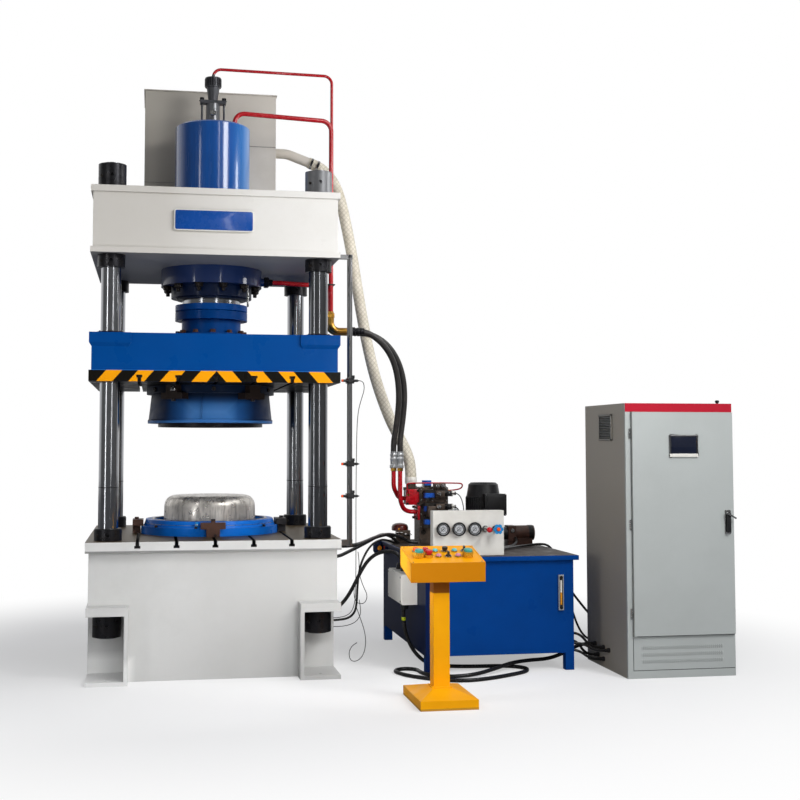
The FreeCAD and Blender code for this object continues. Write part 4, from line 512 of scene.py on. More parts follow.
# Hand-brushed enamel on a forged die: blotchy, navy above, a painted reflection lightening the middle of the front,
# a painted highlight along the lower rim, edges scuffed.
DIE_BLUE = Finish("die_paint_blue", "#0C2C58", "#081D3C", 0.42, coat=0.03, specular=0.15, cloud_mm=200, cloud=0.75,
                  edge_wear_and_light=0.4, edge_colour_worn_and_lit="#6E87A8", zones=(
                      Zone((-0.24, -0.60, 1.60), (0.20, -0.30, 1.81), "#2C69B2", 0.4, soft=0.09),
                      Zone((-0.16, -0.52, 1.71), (0.12, -0.36, 1.79), "#4C86C8", 0.4, soft=0.05),
                      Zone((-0.5, -0.5, 1.835), (0.5, 0.5, 1.98), "#0A1930", 0.45, soft=0.03),
                      Zone((-0.5, -0.5, 1.670), (0.5, 0.5, 1.692), "#3A78C0", 0.4, soft=0.003)))
# Turned steel left bare and oiled: grey-brown, fine tool rings.
MACHINED = GroundSteel("turned_steel", "#8E8C88", "#5C5853", 0.3, 1.0, cloud_mm=120, cloud=0.5, edge_wear_and_light=0.0,
                       relief_mm=0.05, edge_mm=1.5)
# Polished by pressed sheets: dull silver with long scuffs and patches, rings faintly seen.
PUNCH = ScuffedSteel("polished_steel_scuffed", "#E4DFD8", "#A9A49C", 0.36, 0.75, cloud_mm=150, cloud=0.55,
                     smudge=0.16, edge_wear_and_light=0.0, edge_mm=4.0)
# Bright blue enamel on the holder ring, chipped by plates along its rim.
HOLDER = Finish("enamel_holder_blue", "#0A68C8", "#0850A0", 0.36, coat=0.03, specular=0.1, cloud_mm=180, edge_wear_and_light=0.35,
                edge_colour_worn_and_lit="#9FB4C9")
# Blackened bolts over clamps that keep their brown primer.
DIE_CLAMP = Finish("die_clamp_black_and_primer", "#26262A", "#3B3834", 0.42, 0.2, cloud_mm=60, edge_wear_and_light=0.35,
                   edge_colour_worn_and_lit="#77777A", edge_mm=1.5,
                   zones=(Zone((-0.6, -0.6, 1.83), (0.6, 0.6, 1.93), "#211712", 0.55),))
# Cast filter cap in dark red-brown enamel: half gloss, dusty on top.
FILTER_BROWN = Finish("cast_cap_red_brown", "#58180F", "#34120D", 0.35, coat=0.2, cloud_mm=50, cloud=0.6, edge_wear_and_light=0.3,
                      edge_colour_worn_and_lit="#8E5A4A", edge_mm=1.5)
# Gunmetal grey of the valve's castings, its middle turned bright.
GUNMETAL = GroundSteel("gunmetal_turned", "#55565A", "#3E3F42", 0.4, 0.6, cloud_mm=70, cloud=0.5, edge_wear_and_light=0.2,
                       relief_mm=0.05, edge_mm=1.5,
                       zones=(Zone((-0.06, -0.06, 3.85), (0.06, 0.06, 4.015), "#7C7D80", 0.34, 0.75),))
# Drawn bar: long straight streaks, one bright line on it.
POLE_STEEL = GroundSteel("drawn_steel_pole", "#8C8C8D", "#6C6C6E", 0.3, 1.0, cloud_mm=50, cloud=0.25, smudge=0.04,
                         edge_wear_and_light=0.0, relief_mm=0.01, edge_mm=1.0, stretch=(1.0, 1.0, 0.05))
# Black sensor barrels in nickel-plated clamps.
SENSOR = Finish("sensor_black_in_plated_clamp", "#1B1B1D", "#2A2A2B", 0.4, cloud_mm=40, grain_mm=3, relief_mm=0.05,
                edge_wear_and_light=0.0, edge_mm=1.0,
                zones=(Zone((0.874, -0.760, 1.0), (0.930, -0.712, 2.1), "#8E8F90", 0.32, 0.85),))
# Red-brown primer on rough castings and clamps: matt, grainy.
CLAMP = Finish("primer_brown", "#4A2E22", "#33221B", 0.55, cloud_mm=60, cloud=0.7, grain_mm=8, relief_mm=0.4,
               edge_wear_and_light=0.4, edge_colour_worn_and_lit="#8A6A55", zones=(Zone((0.3, -0.9, 0.89), (0.8, 0.9, 1.1), "#262426", 0.5),))
# Wet-looking crimson enamel on bent tube: one hard highlight along its length; the edges carry a painted
# lighter-red highlight.
PIPE_RED = Finish("enamel_pipe_red", "#B00F1B", "#8A0B15", 0.24, coat=0.5, specular=0.35, cloud_mm=140, edge_wear_and_light=0.1,
                  edge_colour_worn_and_lit="#E0606A", edge_mm=1.0, zones=(
                      Zone((0.84, -0.06, 2.33), (1.04, 0.13, 2.46), "#B98A3A", 0.3, 1.0),
                      Zone((-0.05, -0.05, 4.20), (0.03, 0.06, 4.240), "#3A3532", 0.4),
                      Zone((1.35, 0.16, 1.345), (1.46, 0.22, 1.475), "#B5B6B7", 0.32, 0.9)))
# Moulded ABS, slightly satin, with a fine pebble.
BLACK_PLASTIC = Finish("moulded_plastic_black", "#1B1B1D", "#2A2A2B", 0.42, cloud_mm=40, grain_mm=3,
                       relief_mm=0.08, edge_wear_and_light=0.1, edge_colour_worn_and_lit="#555555", edge_mm=1.0)
# Enamel on folded sheet: deep blue with a slow sag of light; the left end plate and the front of the left leg are
# painted navy as shade, and the edges carry a painted lighter-blue highlight.
TANK_BLUE = Finish("enamel_tank_blue", "#033E88", "#02306C", 0.36, coat=0.03, specular=0.08, cloud_mm=500, cloud=0.45,
                   edge_wear_and_light=0.15, edge_colour_worn_and_lit="#3F7FD0",
                   zones=(Zone((1.36, -0.8692, 0.1), (1.396, 0.7, 0.77), "#06163A", 0.45),
                          Zone((1.36, -0.8900, -0.1), (1.432, -0.8600, 0.741), "#071A44", 0.45)))
# Brown-black floor paint trodden by oil and boots: uneven, dusty, blue enamel left round the edge, the left end's
# edge painted darker as shade.
LID = Finish("lid_paint_brown_black", "#2B211C", "#40342C", 0.55, specular=0.25, cloud_mm=220, cloud=0.7, edge_wear_and_light=0.3,
             edge_colour_worn_and_lit="#6A5F57", zones=(
                 Zone((1.3, -0.92, 0.75), (2.5, -0.893, 0.7732), "#0A3F8C", 0.35),
                 Zone((2.449, -0.92, 0.75), (2.47, 0.8, 0.7732), "#0A3F8C", 0.35),
                 Zone((1.3, -0.92, 0.75), (1.371, 0.8, 0.7732), "#123263", 0.35)))
# Drawn aluminium bar: bright, streaked along its length.
ALUMINIUM = Finish("drawn_aluminium", "#D5D7D8", "#A4A6A8", 0.36, 0.85, cloud_mm=60, edge_wear_and_light=0.0, relief_mm=0.03,
                   edge_mm=1.0, stretch=(1.0, 1.0, 0.2))
# The same bar milled out behind the sight tube, painted black there.
GAUGE_FRAME = Finish("drawn_aluminium_milled", "#E2E4E5", "#B4B6B8", 0.36, 0.8, cloud_mm=60, edge_wear_and_light=0.0, relief_mm=0.03,
                     edge_mm=1.0, zones=(Zone((2.3225, -0.90, 0.428), (2.3455, -0.80, 0.618), "#1E1E20", 0.5),))
# Textured powder coat on folded sheet: pale grey, matt, a painted highlight along the folds; the junction box is
# painted lighter as light.
LIGHT_GREY = Finish("powder_coat_light_grey", "#DAD8D2", "#BFBBB3", 0.5, specular=0.3, cloud_mm=160, cloud=0.5,
                    grain_mm=3, relief_mm=0.12, edge_wear_and_light=0.3, edge_colour_worn_and_lit="#FAFAF8", edge_mm=1.5,
                    zones=(Zone((1.27, -0.62, 0.42), (1.40, -0.11, 0.64), "#F2F0EA", 0.5),))
# Shade in the fine slots of the sill: grey, matt.
SLOT_GREY = Finish("slot_shade_grey", "#838685", "#767978", 0.6, cloud_mm=60, edge_wear_and_light=0.0, relief_mm=0.0, edge_mm=0.3)
# Satin black on cast aluminium, dusty.
MOTOR_BLACK = Finish("motor_paint_black", "#151517", "#262524", 0.45, cloud_mm=90, grain_mm=4, relief_mm=0.15,
                     edge_wear_and_light=0.25, edge_colour_worn_and_lit="#5A5A5C", edge_mm=1.5)
# Phosphated valve steel: brown-black, mottled, ground edges.
DARK_STEEL = Finish("phosphated_steel_block", "#4A4039", "#6A5A4C", 0.45, 0.45, cloud_mm=50, cloud=0.8,
                    grain_mm=6, edge_wear_and_light=0.4, edge_colour_worn_and_lit="#9D9388", edge_mm=1.5)
# Phosphated valve bodies, near black, with a moulded blue coil round each and a blue cap on the cartridge.
COIL_BLUE = Finish("valve_black_with_blue_coils", "#2C2927", "#45403B", 0.42, 0.4, cloud_mm=40, cloud=0.6, edge_wear_and_light=0.35,
                   edge_colour_worn_and_lit="#8E8A85", edge_mm=1.5, zones=(
                       Zone((1.60, 0.15, 1.120), (1.70, 0.25, 1.158), "#0D4FB0", 0.35),
                       Zone((1.60, 0.15, 1.020), (1.70, 0.25, 1.058), "#0D4FB0", 0.35),
                       Zone((1.60, 0.15, 0.920), (1.70, 0.25, 0.958), "#0D4FB0", 0.35),
                       Zone((1.60, 0.27, 1.212), (1.72, 0.37, 1.260), "#0D4FB0", 0.35)))
# Primed iron castings of the small pump: brown, rough.
FEED_BROWN = Finish("cast_primer_brown", "#4B2F24", "#33211B", 0.5, cloud_mm=50, cloud=0.8, grain_mm=5,
                    relief_mm=0.4, edge_wear_and_light=0.35, edge_colour_worn_and_lit="#8A6A55", edge_mm=2.0)
# Nickel plate: small bright parts with sharp glints.
PLATED = Finish("nickel_plating", "#C2C2C1", "#8F8F8F", 0.2, 1.0, cloud_mm=30, edge_wear_and_light=0.0, relief_mm=0.02,
                edge_mm=0.8)
# Yellow enamel on sheet steel: warm and even; painted shade on the box's front and left faces, a painted shadow
# of the box across the post, the foot plate darker, and a painted lighter-yellow highlight on the edges.
YELLOW = Finish("enamel_pedestal_yellow", "#F8AB08", "#EB9A05", 0.42, specular=0.1, coat=0.02, cloud_mm=260,
                cloud=0.45, grain_mm=18, edge_wear_and_light=0.25, edge_colour_worn_and_lit="#FFD27A",
                zones=(Zone((1.05, -1.872, 0.70), (1.57, -1.8632, 0.91), "#CC7F05", 0.45),
                       Zone((1.05, -1.86, 0.70), (1.0885, -1.50, 0.905), "#E09A10", 0.45),
                       Zone((1.0, -2.0, -0.01), (1.6, -1.4, 0.0125), "#C98F30", 0.45),
                       Zone((1.2, -1.80, 0.646), (1.4, -1.60, 0.712), "#80490A", 0.5, soft=0.003)))
# Moulded caps: clean colours with a small soft highlight.
ORANGE_CAP = moulded("moulded_plastic_orange", "#F0581E", "#D94C18")
AMBER_CAP = moulded("moulded_plastic_amber", "#F79A18", "#DE8410")
RED_CAP = moulded("moulded_plastic_red", "#C41220", "#A30D19")
TEAL_CAP = moulded("moulded_plastic_teal", "#3C9C95", "#318781", 0.35)
# Polycarbonate lenses, unlit: cyan in the back row, rose in the front one.
LAMP_CYAN = Finish("lamp_lens_cyan", "#5FC4CC", "#4AAFB8", 0.18, cloud_mm=10, edge_wear_and_light=0.0, edge_mm=0.6, zones=(
    Zone((1.0, -1.9, 0.70), (1.6, -1.7, 0.9), "#D58AA6", 0.2),))
# Yellow zinc on the collars: gold with an uneven sheen.
COLLAR_GOLD = Finish("passivated_collar_yellow", "#D9A62C", "#B98A1C", 0.32, 0.5, cloud_mm=20, edge_wear_and_light=0.0,
                     edge_mm=0.8)
# Wrinkle powder coat on the cabinet: matt pale grey, fine pebble, one red band along the front's top; the left
# side is painted darker and warmer as shade, the side vent's opening painted dark as shade, and the edges carry a
# painted highlight.
CABINET = Finish("textured_powder_coat_grey", "#B5BAB8", "#A4A8A6", 0.52, specular=0.3, cloud_mm=600, cloud=0.4,
                 grain_mm=5, relief_mm=0.18, edge_wear_and_light=0.15, edge_colour_worn_and_lit="#E4E5E4", edge_mm=2.0,
                 zones=(Zone((2.65, -1.235, 0.0), (2.668, -0.4, 1.81), "#A29D93", 0.5, soft=0.004),
                        Zone((2.65, -1.016, 1.552), (2.680, -0.782, 1.732), "#343534", 0.6),
                        Zone((2.6, -1.3, 1.742), (3.45, -1.2490, 1.7995), "#B3142C", 0.45)))
# Touch glass, switched off: blue-black and glossy.
SCREEN = Finish("display_glass_dark", "#12182A", "#1A2236", 0.12, coat=0.6, cloud_mm=60, edge_wear_and_light=0.0, relief_mm=0.0,
                edge_mm=1.0)
# Lobed wheel in light-blue plastic.
WHEEL_BLUE = moulded("moulded_plastic_light_blue", "#1F86C7", "#1A74AE", 0.32, edge_mm=1.0)
# Wire-braided hose in black rubber: satin, with the wrap of its braid just showing.
HOSE_BLACK = Finish("rubber_hose_black", "#2A2827", "#3D3A36", 0.42, cloud_mm=70, cloud=0.6, grain_mm=3,
                    relief_mm=0.3, edge_wear_and_light=0.0)
# Fibre-reinforced suction hose: milky rubber, the fibre's diamonds showing as grey lines.
HOSE_CREAM = FibreRubber("rubber_hose_cream", "#DED7C6", "#BDB39C", 0.5, cloud_mm=90, cloud=0.6, grain_mm=6,
                         relief_mm=0.6, edge_wear_and_light=0.0)
# PVC cable jacket: black, a thin highlight along it.
CABLE = Finish("cable_jacket_black", "#161617", "#2A2A2A", 0.34, cloud_mm=50, grain_mm=4, relief_mm=0.15,
               edge_wear_and_light=0.0)
# Machined brass of the hose tails: warm, worn bright.
BRASS = Finish("machined_brass", "#B98A3A", "#8A6428", 0.3, 1.0, cloud_mm=20, edge_wear_and_light=0.0, relief_mm=0.02, edge_mm=0.8)
# Zinc-plated and blackened screws: dark grey, sockets darker.
SCREW = Finish("blackened_screws", "#2A2724", "#4A3A30", 0.42, 0.6, cloud_mm=20, edge_wear_and_light=0.3, edge_colour_worn_and_lit="#8C8178",
               edge_mm=0.8)
# Red-brown primed hexagon screws round the ram neck.
BROWN_SCREW = Finish("primed_screws_brown", "#54301F", "#3A2218", 0.5, 0.2, cloud_mm=20, grain_mm=3, edge_wear_and_light=0.4,
                     edge_colour_worn_and_lit="#9A7A62", edge_mm=0.8)
# Enamelled nameplate, left bare.
PLATE_BLUE = Finish("enamelled_plate_blue", "#0B4A9C", "#094087", 0.28, coat=0.3, specular=0.3, cloud_mm=120,
                    edge_wear_and_light=0.0, edge_mm=1.0)
# The cream rim round it, also used for pale plastic and glass.
PLATE_RIM = Finish("enamelled_plate_rim_cream", "#E8E6DE", "#D2CFC6", 0.35, cloud_mm=60, edge_wear_and_light=0.0, edge_mm=0.6)
# Printed paper-white dial under glass.
DIAL = Finish("printed_dial_white", "#B9BCBF", "#A9ACAF", 0.5, cloud_mm=60, edge_wear_and_light=0.0, relief_mm=0.0, edge_mm=0.3)
# The ink on it.
DIAL_INK = Finish("dial_ink_black", "#18181A", "#242426", 0.5, cloud_mm=20, edge_wear_and_light=0.0, relief_mm=0.0, edge_mm=0.2)
# Oil standing in the sight tube: amber.
OIL_AMBER = Finish("oil_in_sight_tube", "#E59A1A", "#C87A12", 0.12, coat=0.5, cloud_mm=40, edge_wear_and_light=0.0, relief_mm=0.0,
                   edge_mm=0.5)
# Painted shade along the header tank's folds, drawn as grey lines: matt, uneven.
FOLD_SHADE_GREY = Finish("fold_line_painted_shade_grey", "#8F8B84", "#77736C", 0.5, cloud_mm=30, grain_mm=6, relief_mm=1.2,
                   edge_wear_and_light=0.0)
# Earth lead's sleeve: yellow-green plastic.
LEAD_GREEN = moulded("moulded_sleeve_yellow_green", "#B6C21E", "#93A018", 0.4)

NODE_FINISHES: dict[str, Finish] = {
    "bed": BED, "crown": CROWN, "columns": CHROME, "column_nuts": BLACK_STEEL, "main_cylinder": CYLINDER_BLUE,
    "rod_gland": NAVY, "ram": CHROME, "ram_flange": RAM_FLANGE, "prefill_valve": GUNMETAL,
    "upper_tank": TANK_CREAM, "slide": SLIDE_BLUE, "upper_die": DIE_BLUE, "draw_ring": BLACK_STEEL,
    "die_clamps": DIE_CLAMP, "blank_holder": HOLDER, "forming_punch": PUNCH, "bed_clamps": CLAMP,
    "pressure_pipes": PIPE_RED, "sensor_pole": POLE_STEEL, "sensors": SENSOR, "reservoir": TANK_BLUE,
    "reservoir_lid": LID, "level_gauge": GAUGE_FRAME, "junction_box": LIGHT_GREY, "motor": MOTOR_BLACK,
    "motor_rotor": MACHINED, "pump": MOTOR_BLACK, "valve_manifold": DARK_STEEL, "control_valves": COIL_BLUE,
    "feed_pump": FEED_BROWN, "gauge_panel": LIGHT_GREY, "gauges": PLATED, "gauge_needle_1": BLACK_PLASTIC,
    "gauge_needle_2": BLACK_PLASTIC, "gauge_needle_3": BLACK_PLASTIC, "relief_knob": PLATED,
    "shutoff_wheel": WHEEL_BLUE, "pedestal_stand": YELLOW, "pedestal_box": YELLOW, "button_collars": COLLAR_GOLD,
    "orange_button": ORANGE_CAP, "red_button": RED_CAP, "black_button": BLACK_PLASTIC,
    "rear_selector": BLACK_PLASTIC, "left_palm_button": TEAL_CAP, "emergency_stop": RED_CAP,
    "front_selector": BLACK_PLASTIC, "right_palm_button": TEAL_CAP, "pilot_lamps": LAMP_CYAN,
    "cabinet": CABINET, "cabinet_door": CABINET, "touch_screen": SCREEN, "door_handle": BLACK_PLASTIC,
    "cable_glands": BLACK_PLASTIC,
}


# ---- studio ----------------------------------------------------------------------------------
@dataclass(frozen=True)
class Softbox:
    """One rectangular lamp."""

    name: str
    place: Point
    aim: Point
    wide: float
    tall: float
    watts: float
    glossy: bool = True


@dataclass
class Studio:
    """Camera, lamps, world and floor."""

    eye: Point = (-0.412, -9.016, 1.535)
    heading: float = 10.044
    rise: float = 3.532
    lens: float = 55.71
    shift: tuple[float, float] = (0.0350, -0.0415)
    floor_size: float = 60.0
    floor_bounce: str = "#8E8E90"
    floor_light: float = 0.42
    fade: tuple[float, float] = (2.2, 4.6)
    gloss_front: float = 0.16
    gloss_back: float = 0.95
    fill_left: float = 0.14
    fill_right: float = 0.5
    boxes: tuple[Softbox, ...] = (
        Softbox("key", (4.6, -6.0, 5.6), (0.9, -0.4, 1.6), 1.8, 1.8, 175.0),
        Softbox("wash", (2.9, -2.2, 3.3), (0.8, -0.8, 3.0), 0.9, 1.4, 26.0, glossy=False),
        Softbox("low_fill", (0.3, -5.2, 0.35), (0.1, -0.9, 0.15), 2.6, 0.6, 31.0, glossy=False),
        Softbox("box_fill", (0.72, -1.75, 0.85), (1.29, -0.36, 0.53), 0.3, 0.3, 4.0, glossy=False),
        Softbox("die_light", (0.2, -2.6, 1.2), (0.0, -0.4, 1.75), 0.5, 0.3, 8.0, glossy=False),
        Softbox("cabinet_wash", (4.4, -4.6, 2.6), (3.0, -1.27, 1.0), 1.0, 1.6, 42.0, glossy=False),
        Softbox("strip_left", (-2.2, -2.6, 2.4), (0.0, 0.0, 2.4), 0.16, 4.2, 16.0),
        Softbox("strip_right", (1.3, -4.4, 3.2), (0.0, 0.0, 2.6), 0.16, 4.0, 16.0),
        Softbox("strip_soft", (3.0, -0.8, 3.6), (0.0, 0.0, 3.5), 0.5, 1.2, 22.0),
    )

    def build(self) -> None:
        """Set up everything round the object."""
        self.camera()
        self.world()
        self.lamps()
        self.floor()
        bpy.context.scene.view_settings.view_transform = "Standard"

    def camera(self) -> None:
        """Place the camera where the photograph was taken from."""
        data = bpy.data.cameras.new("camera")
        data.lens, data.sensor_width = self.lens, 36.0
        data.shift_x, data.shift_y = self.shift
        data.clip_end = 200.0
        eye = bpy.data.objects.new("camera", data)
        turn, tilt = math.radians(self.heading), math.radians(self.rise)
        ahead = Vector((math.sin(turn) * math.cos(tilt), math.cos(turn) * math.cos(tilt), math.sin(tilt)))
        eye.location = self.eye
        eye.rotation_euler = ahead.to_track_quat("-Z", "Y").to_euler()
        bpy.context.collection.objects.link(eye)
        bpy.context.scene.camera = eye

    def world(self) -> None:
        """White behind the machine, darker where the workshop would be, brighter on matt surfaces to the right."""
        world = bpy.data.worlds.new("studio")
        bpy.context.scene.world = world
        world.use_nodes = True
        tree = world.node_tree
        tree.nodes.clear()
        ray = wired(tree, "LightPath").outputs
        seen = maths(tree, "MAXIMUM", ray["Is Camera Ray"], ray["Is Transmission Ray"])
        way = wired(tree, "SeparateXYZ", {0: wired(tree, "TexCoord").outputs["Generated"]}).outputs
        shares = {"gloss": spread(tree, way[1], (0.0, 0.45), (self.gloss_front, self.gloss_back)),
                  "soft": spread(tree, way[0], (-0.8, 0.8), (self.fill_left, self.fill_right)), "white": 1.0}
        light = {name: wired(tree, "Background", {"Color": linear("#F6F8FF" if name == "soft" else "#FFFFFF"),
                                                  "Strength": share}).outputs[0]
                 for name, share in shares.items()}
        matt = wired(tree, "MixShader", {0: ray["Is Glossy Ray"], 1: light["soft"], 2: light["gloss"]})
        both = wired(tree, "MixShader", {0: seen, 1: matt.outputs[0], 2: light["white"]})
        wired(tree, "OutputWorld", {"Surface": both.outputs[0]})

    def lamps(self) -> None:
        """Hang the softboxes, each aimed at its own part of the machine."""
        for box in self.boxes:
            data = bpy.data.lights.new(box.name, "AREA")
            data.shape, data.energy = "RECTANGLE", box.watts
            data.size, data.size_y = box.wide, box.tall
            lamp = bpy.data.objects.new(box.name, data)
            lamp.location = box.place
            lamp.rotation_euler = (Vector(box.aim) - Vector(box.place)).to_track_quat("-Z", "Y").to_euler()
            lamp.visible_glossy = box.glossy
            lamp.visible_camera = False
            bpy.context.collection.objects.link(lamp)

    def floor(self) -> None:
        """Lay a pale floor that keeps the shadow and turns white away from the machine."""
        bpy.ops.mesh.primitive_plane_add(size=self.floor_size, location=(0.8, 0.0, -0.0005))
        floor = bpy.context.object
        floor.name = "studio_floor"
        made = bpy.data.materials.new("studio_floor_white")
        made.use_nodes = True
        tree = made.node_tree
        tree.nodes.clear()
        place = wired(tree, "TexCoord").outputs["Object"]
        far = spread(tree, vectors(tree, "LENGTH", place).outputs["Value"], self.fade, (self.floor_light, 1.0),
                     interpolation_type="SMOOTHSTEP")
        seen = wired(tree, "LightPath").outputs["Is Camera Ray"]
        paint = mixed(tree, seen, linear(self.floor_bounce), linear("#F6F6F6"))
        matt = wired(tree, "BsdfDiffuse", {"Color": paint}).outputs[0]
        white = wired(tree, "Emission", {"Color": linear("#FFFFFF"), "Strength": 1.0}).outputs[0]
        both = wired(tree, "MixShader", {0: maths(tree, "MULTIPLY", seen, far), 1: matt, 2: white})
        wired(tree, "OutputMaterial", {"Surface": both.outputs[0]})
        floor.data.materials.append(made)


# ---- hoses and cables ------------------------------------------------------------------------
def smooth_curve(name: str, route: Sequence[Point], diameter: float, rounds: int, steps: int) -> Piece:
    """Draw one smooth curve with a round section.

    Args:
        name: Its name.
        route: The curve's control points.
        diameter: Outside diameter.
        rounds: Roundness of its section.
        steps: Steps between two control points.

    Returns:
        The curve.
    """
    data = bpy.data.curves.new(name, "CURVE")
    data.dimensions = "3D"
    data.bevel_depth, data.bevel_resolution, data.resolution_u = diameter / 2, rounds, steps
    data.use_fill_caps = True
    line = data.splines.new("NURBS")
    line.points.add(len(route) - 1)
    for point, place in zip(line.points, route):
        point.co = (*place, 1.0)
    line.order_u = 3
    line.use_endpoint_u = True
    made = bpy.data.objects.new(name, data)
    bpy.context.collection.objects.link(made)
    return made


@dataclass
class Cord:
    """A hose or cable along its route, one smooth curve."""

    name: str
    route: Sequence[Point]
    diameter: float
    length: float
    finish: Finish
    slot: str
    stiffness: str = "medium"
    lay: str = "loose"
    far_end: str = "object"
    stands_for: tuple[str, ...] = ()
    body: str = "frame"

    def build(self) -> Piece:
        """Lay the curve.

        Returns:
            The curve.
        """
        made = smooth_curve(self.name, self.route, self.diameter, rounds=5, steps=8)
        made.data.materials.append(self.finish.build())
        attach(made, self.body)
        if self.stands_for:
            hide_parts(*self.stands_for)
        LOG.info("cord %s", self.name)
        return made


SUCTION_ROUTE = (
    (0.774, 0.550, 3.738), (0.850, 0.550, 3.7106), (0.918, 0.549, 3.660), (0.970, 0.547, 3.592),
    (1.010, 0.544, 3.508), (1.040, 0.539, 3.398), (1.070, 0.532, 3.260), (1.110, 0.521, 3.050),
    (1.160, 0.500, 2.720), (1.200, 0.485, 2.470), (1.240, 0.470, 2.255), (1.298, 0.450, 2.008),
    (1.392, 0.422, 1.738), (1.462, 0.390, 1.590), (1.522, 0.354, 1.462), (1.548, 0.335, 1.348),
    (1.548, 0.335, 1.238))
FRONT_ROUTE = (
    (1.032, -0.030, 2.360), (1.122, -0.030, 2.360), (1.205, -0.016, 2.322), (1.292, 0.012, 2.248),
    (1.360, 0.048, 2.142), (1.398, 0.084, 2.010), (1.412, 0.116, 1.862), (1.404, 0.148, 1.712),
    (1.390, 0.176, 1.592), (1.384, 0.190, 1.540), (1.384, 0.190, 1.470))
REAR_ROUTE = (
    (1.032, 0.096, 2.360), (1.122, 0.096, 2.360), (1.222, 0.106, 2.342), (1.328, 0.124, 2.276),
    (1.410, 0.146, 2.164), (1.458, 0.168, 2.022), (1.470, 0.184, 1.872), (1.458, 0.194, 1.722),
    (1.441, 0.194, 1.602), (1.434, 0.190, 1.540), (1.434, 0.190, 1.470))
PRESS_CABLE_ROUTE = (
    (0.830, -0.690, 0.842), (0.896, -0.690, 0.842), (0.962, -0.636, 0.844), (1.014, -0.548, 0.848),
    (1.070, -0.440, 0.854), (1.134, -0.310, 0.861), (1.218, -0.160, 0.868), (1.300, -0.020, 0.868),
    (1.376, 0.080, 0.852), (1.448, 0.140, 0.824), (1.500, 0.152, 0.792), (1.560, 0.152, 0.792))
JUNCTION_CABLE_ROUTE = (
    (0.810, -0.300, 0.372), (0.870, -0.300, 0.372), (0.916, -0.298, 0.404), (0.964, -0.294, 0.462),
    (1.010, -0.288, 0.542), (1.056, -0.284, 0.632), (1.110, -0.284, 0.712), (1.180, -0.304, 0.762),
    (1.269, -0.346, 0.774), (1.315, -0.367, 0.744), (1.342, -0.380, 0.694), (1.342, -0.380, 0.634))
FLOOR_CABLE_ROUTE = (
    (1.306, -0.560, 0.426), (1.306, -0.560, 0.346), (1.314, -0.560, 0.258), (1.340, -0.562, 0.172),
    (1.386, -0.572, 0.092), (1.446, -0.594, 0.036), (1.530, -0.630, 0.013), (1.650, -0.676, 0.013),
    (1.790, -0.700, 0.013), (1.930, -0.704, 0.013), (2.040, -0.740, 0.013), (2.108, -0.824, 0.013),
    (2.076, -0.932, 0.013), (1.950, -1.026, 0.013), (1.790, -1.122, 0.013), (1.620, -1.186, 0.013),
    (1.480, -1.158, 0.013), (1.362, -1.070, 0.013), (1.254, -0.950, 0.013), (1.206, -0.825, 0.013),
    (1.206, -0.755, 0.013), (1.256, -0.705, 0.013), (1.314, -0.705, 0.013), (1.362, -0.753, 0.013),
    (1.362, -0.830, 0.013), (1.378, -0.914, 0.013), (1.442, -0.992, 0.013), (1.558, -1.040, 0.013),
    (1.700, -1.016, 0.019), (1.850, -0.916, 0.031), (1.998, -0.800, 0.047), (2.150, -0.716, 0.047),
    (2.310, -0.668, 0.043), (2.430, -0.650, 0.078), (2.510, -0.659, 0.122), (2.562, -0.659, 0.137),
    (2.626, -0.659, 0.137))

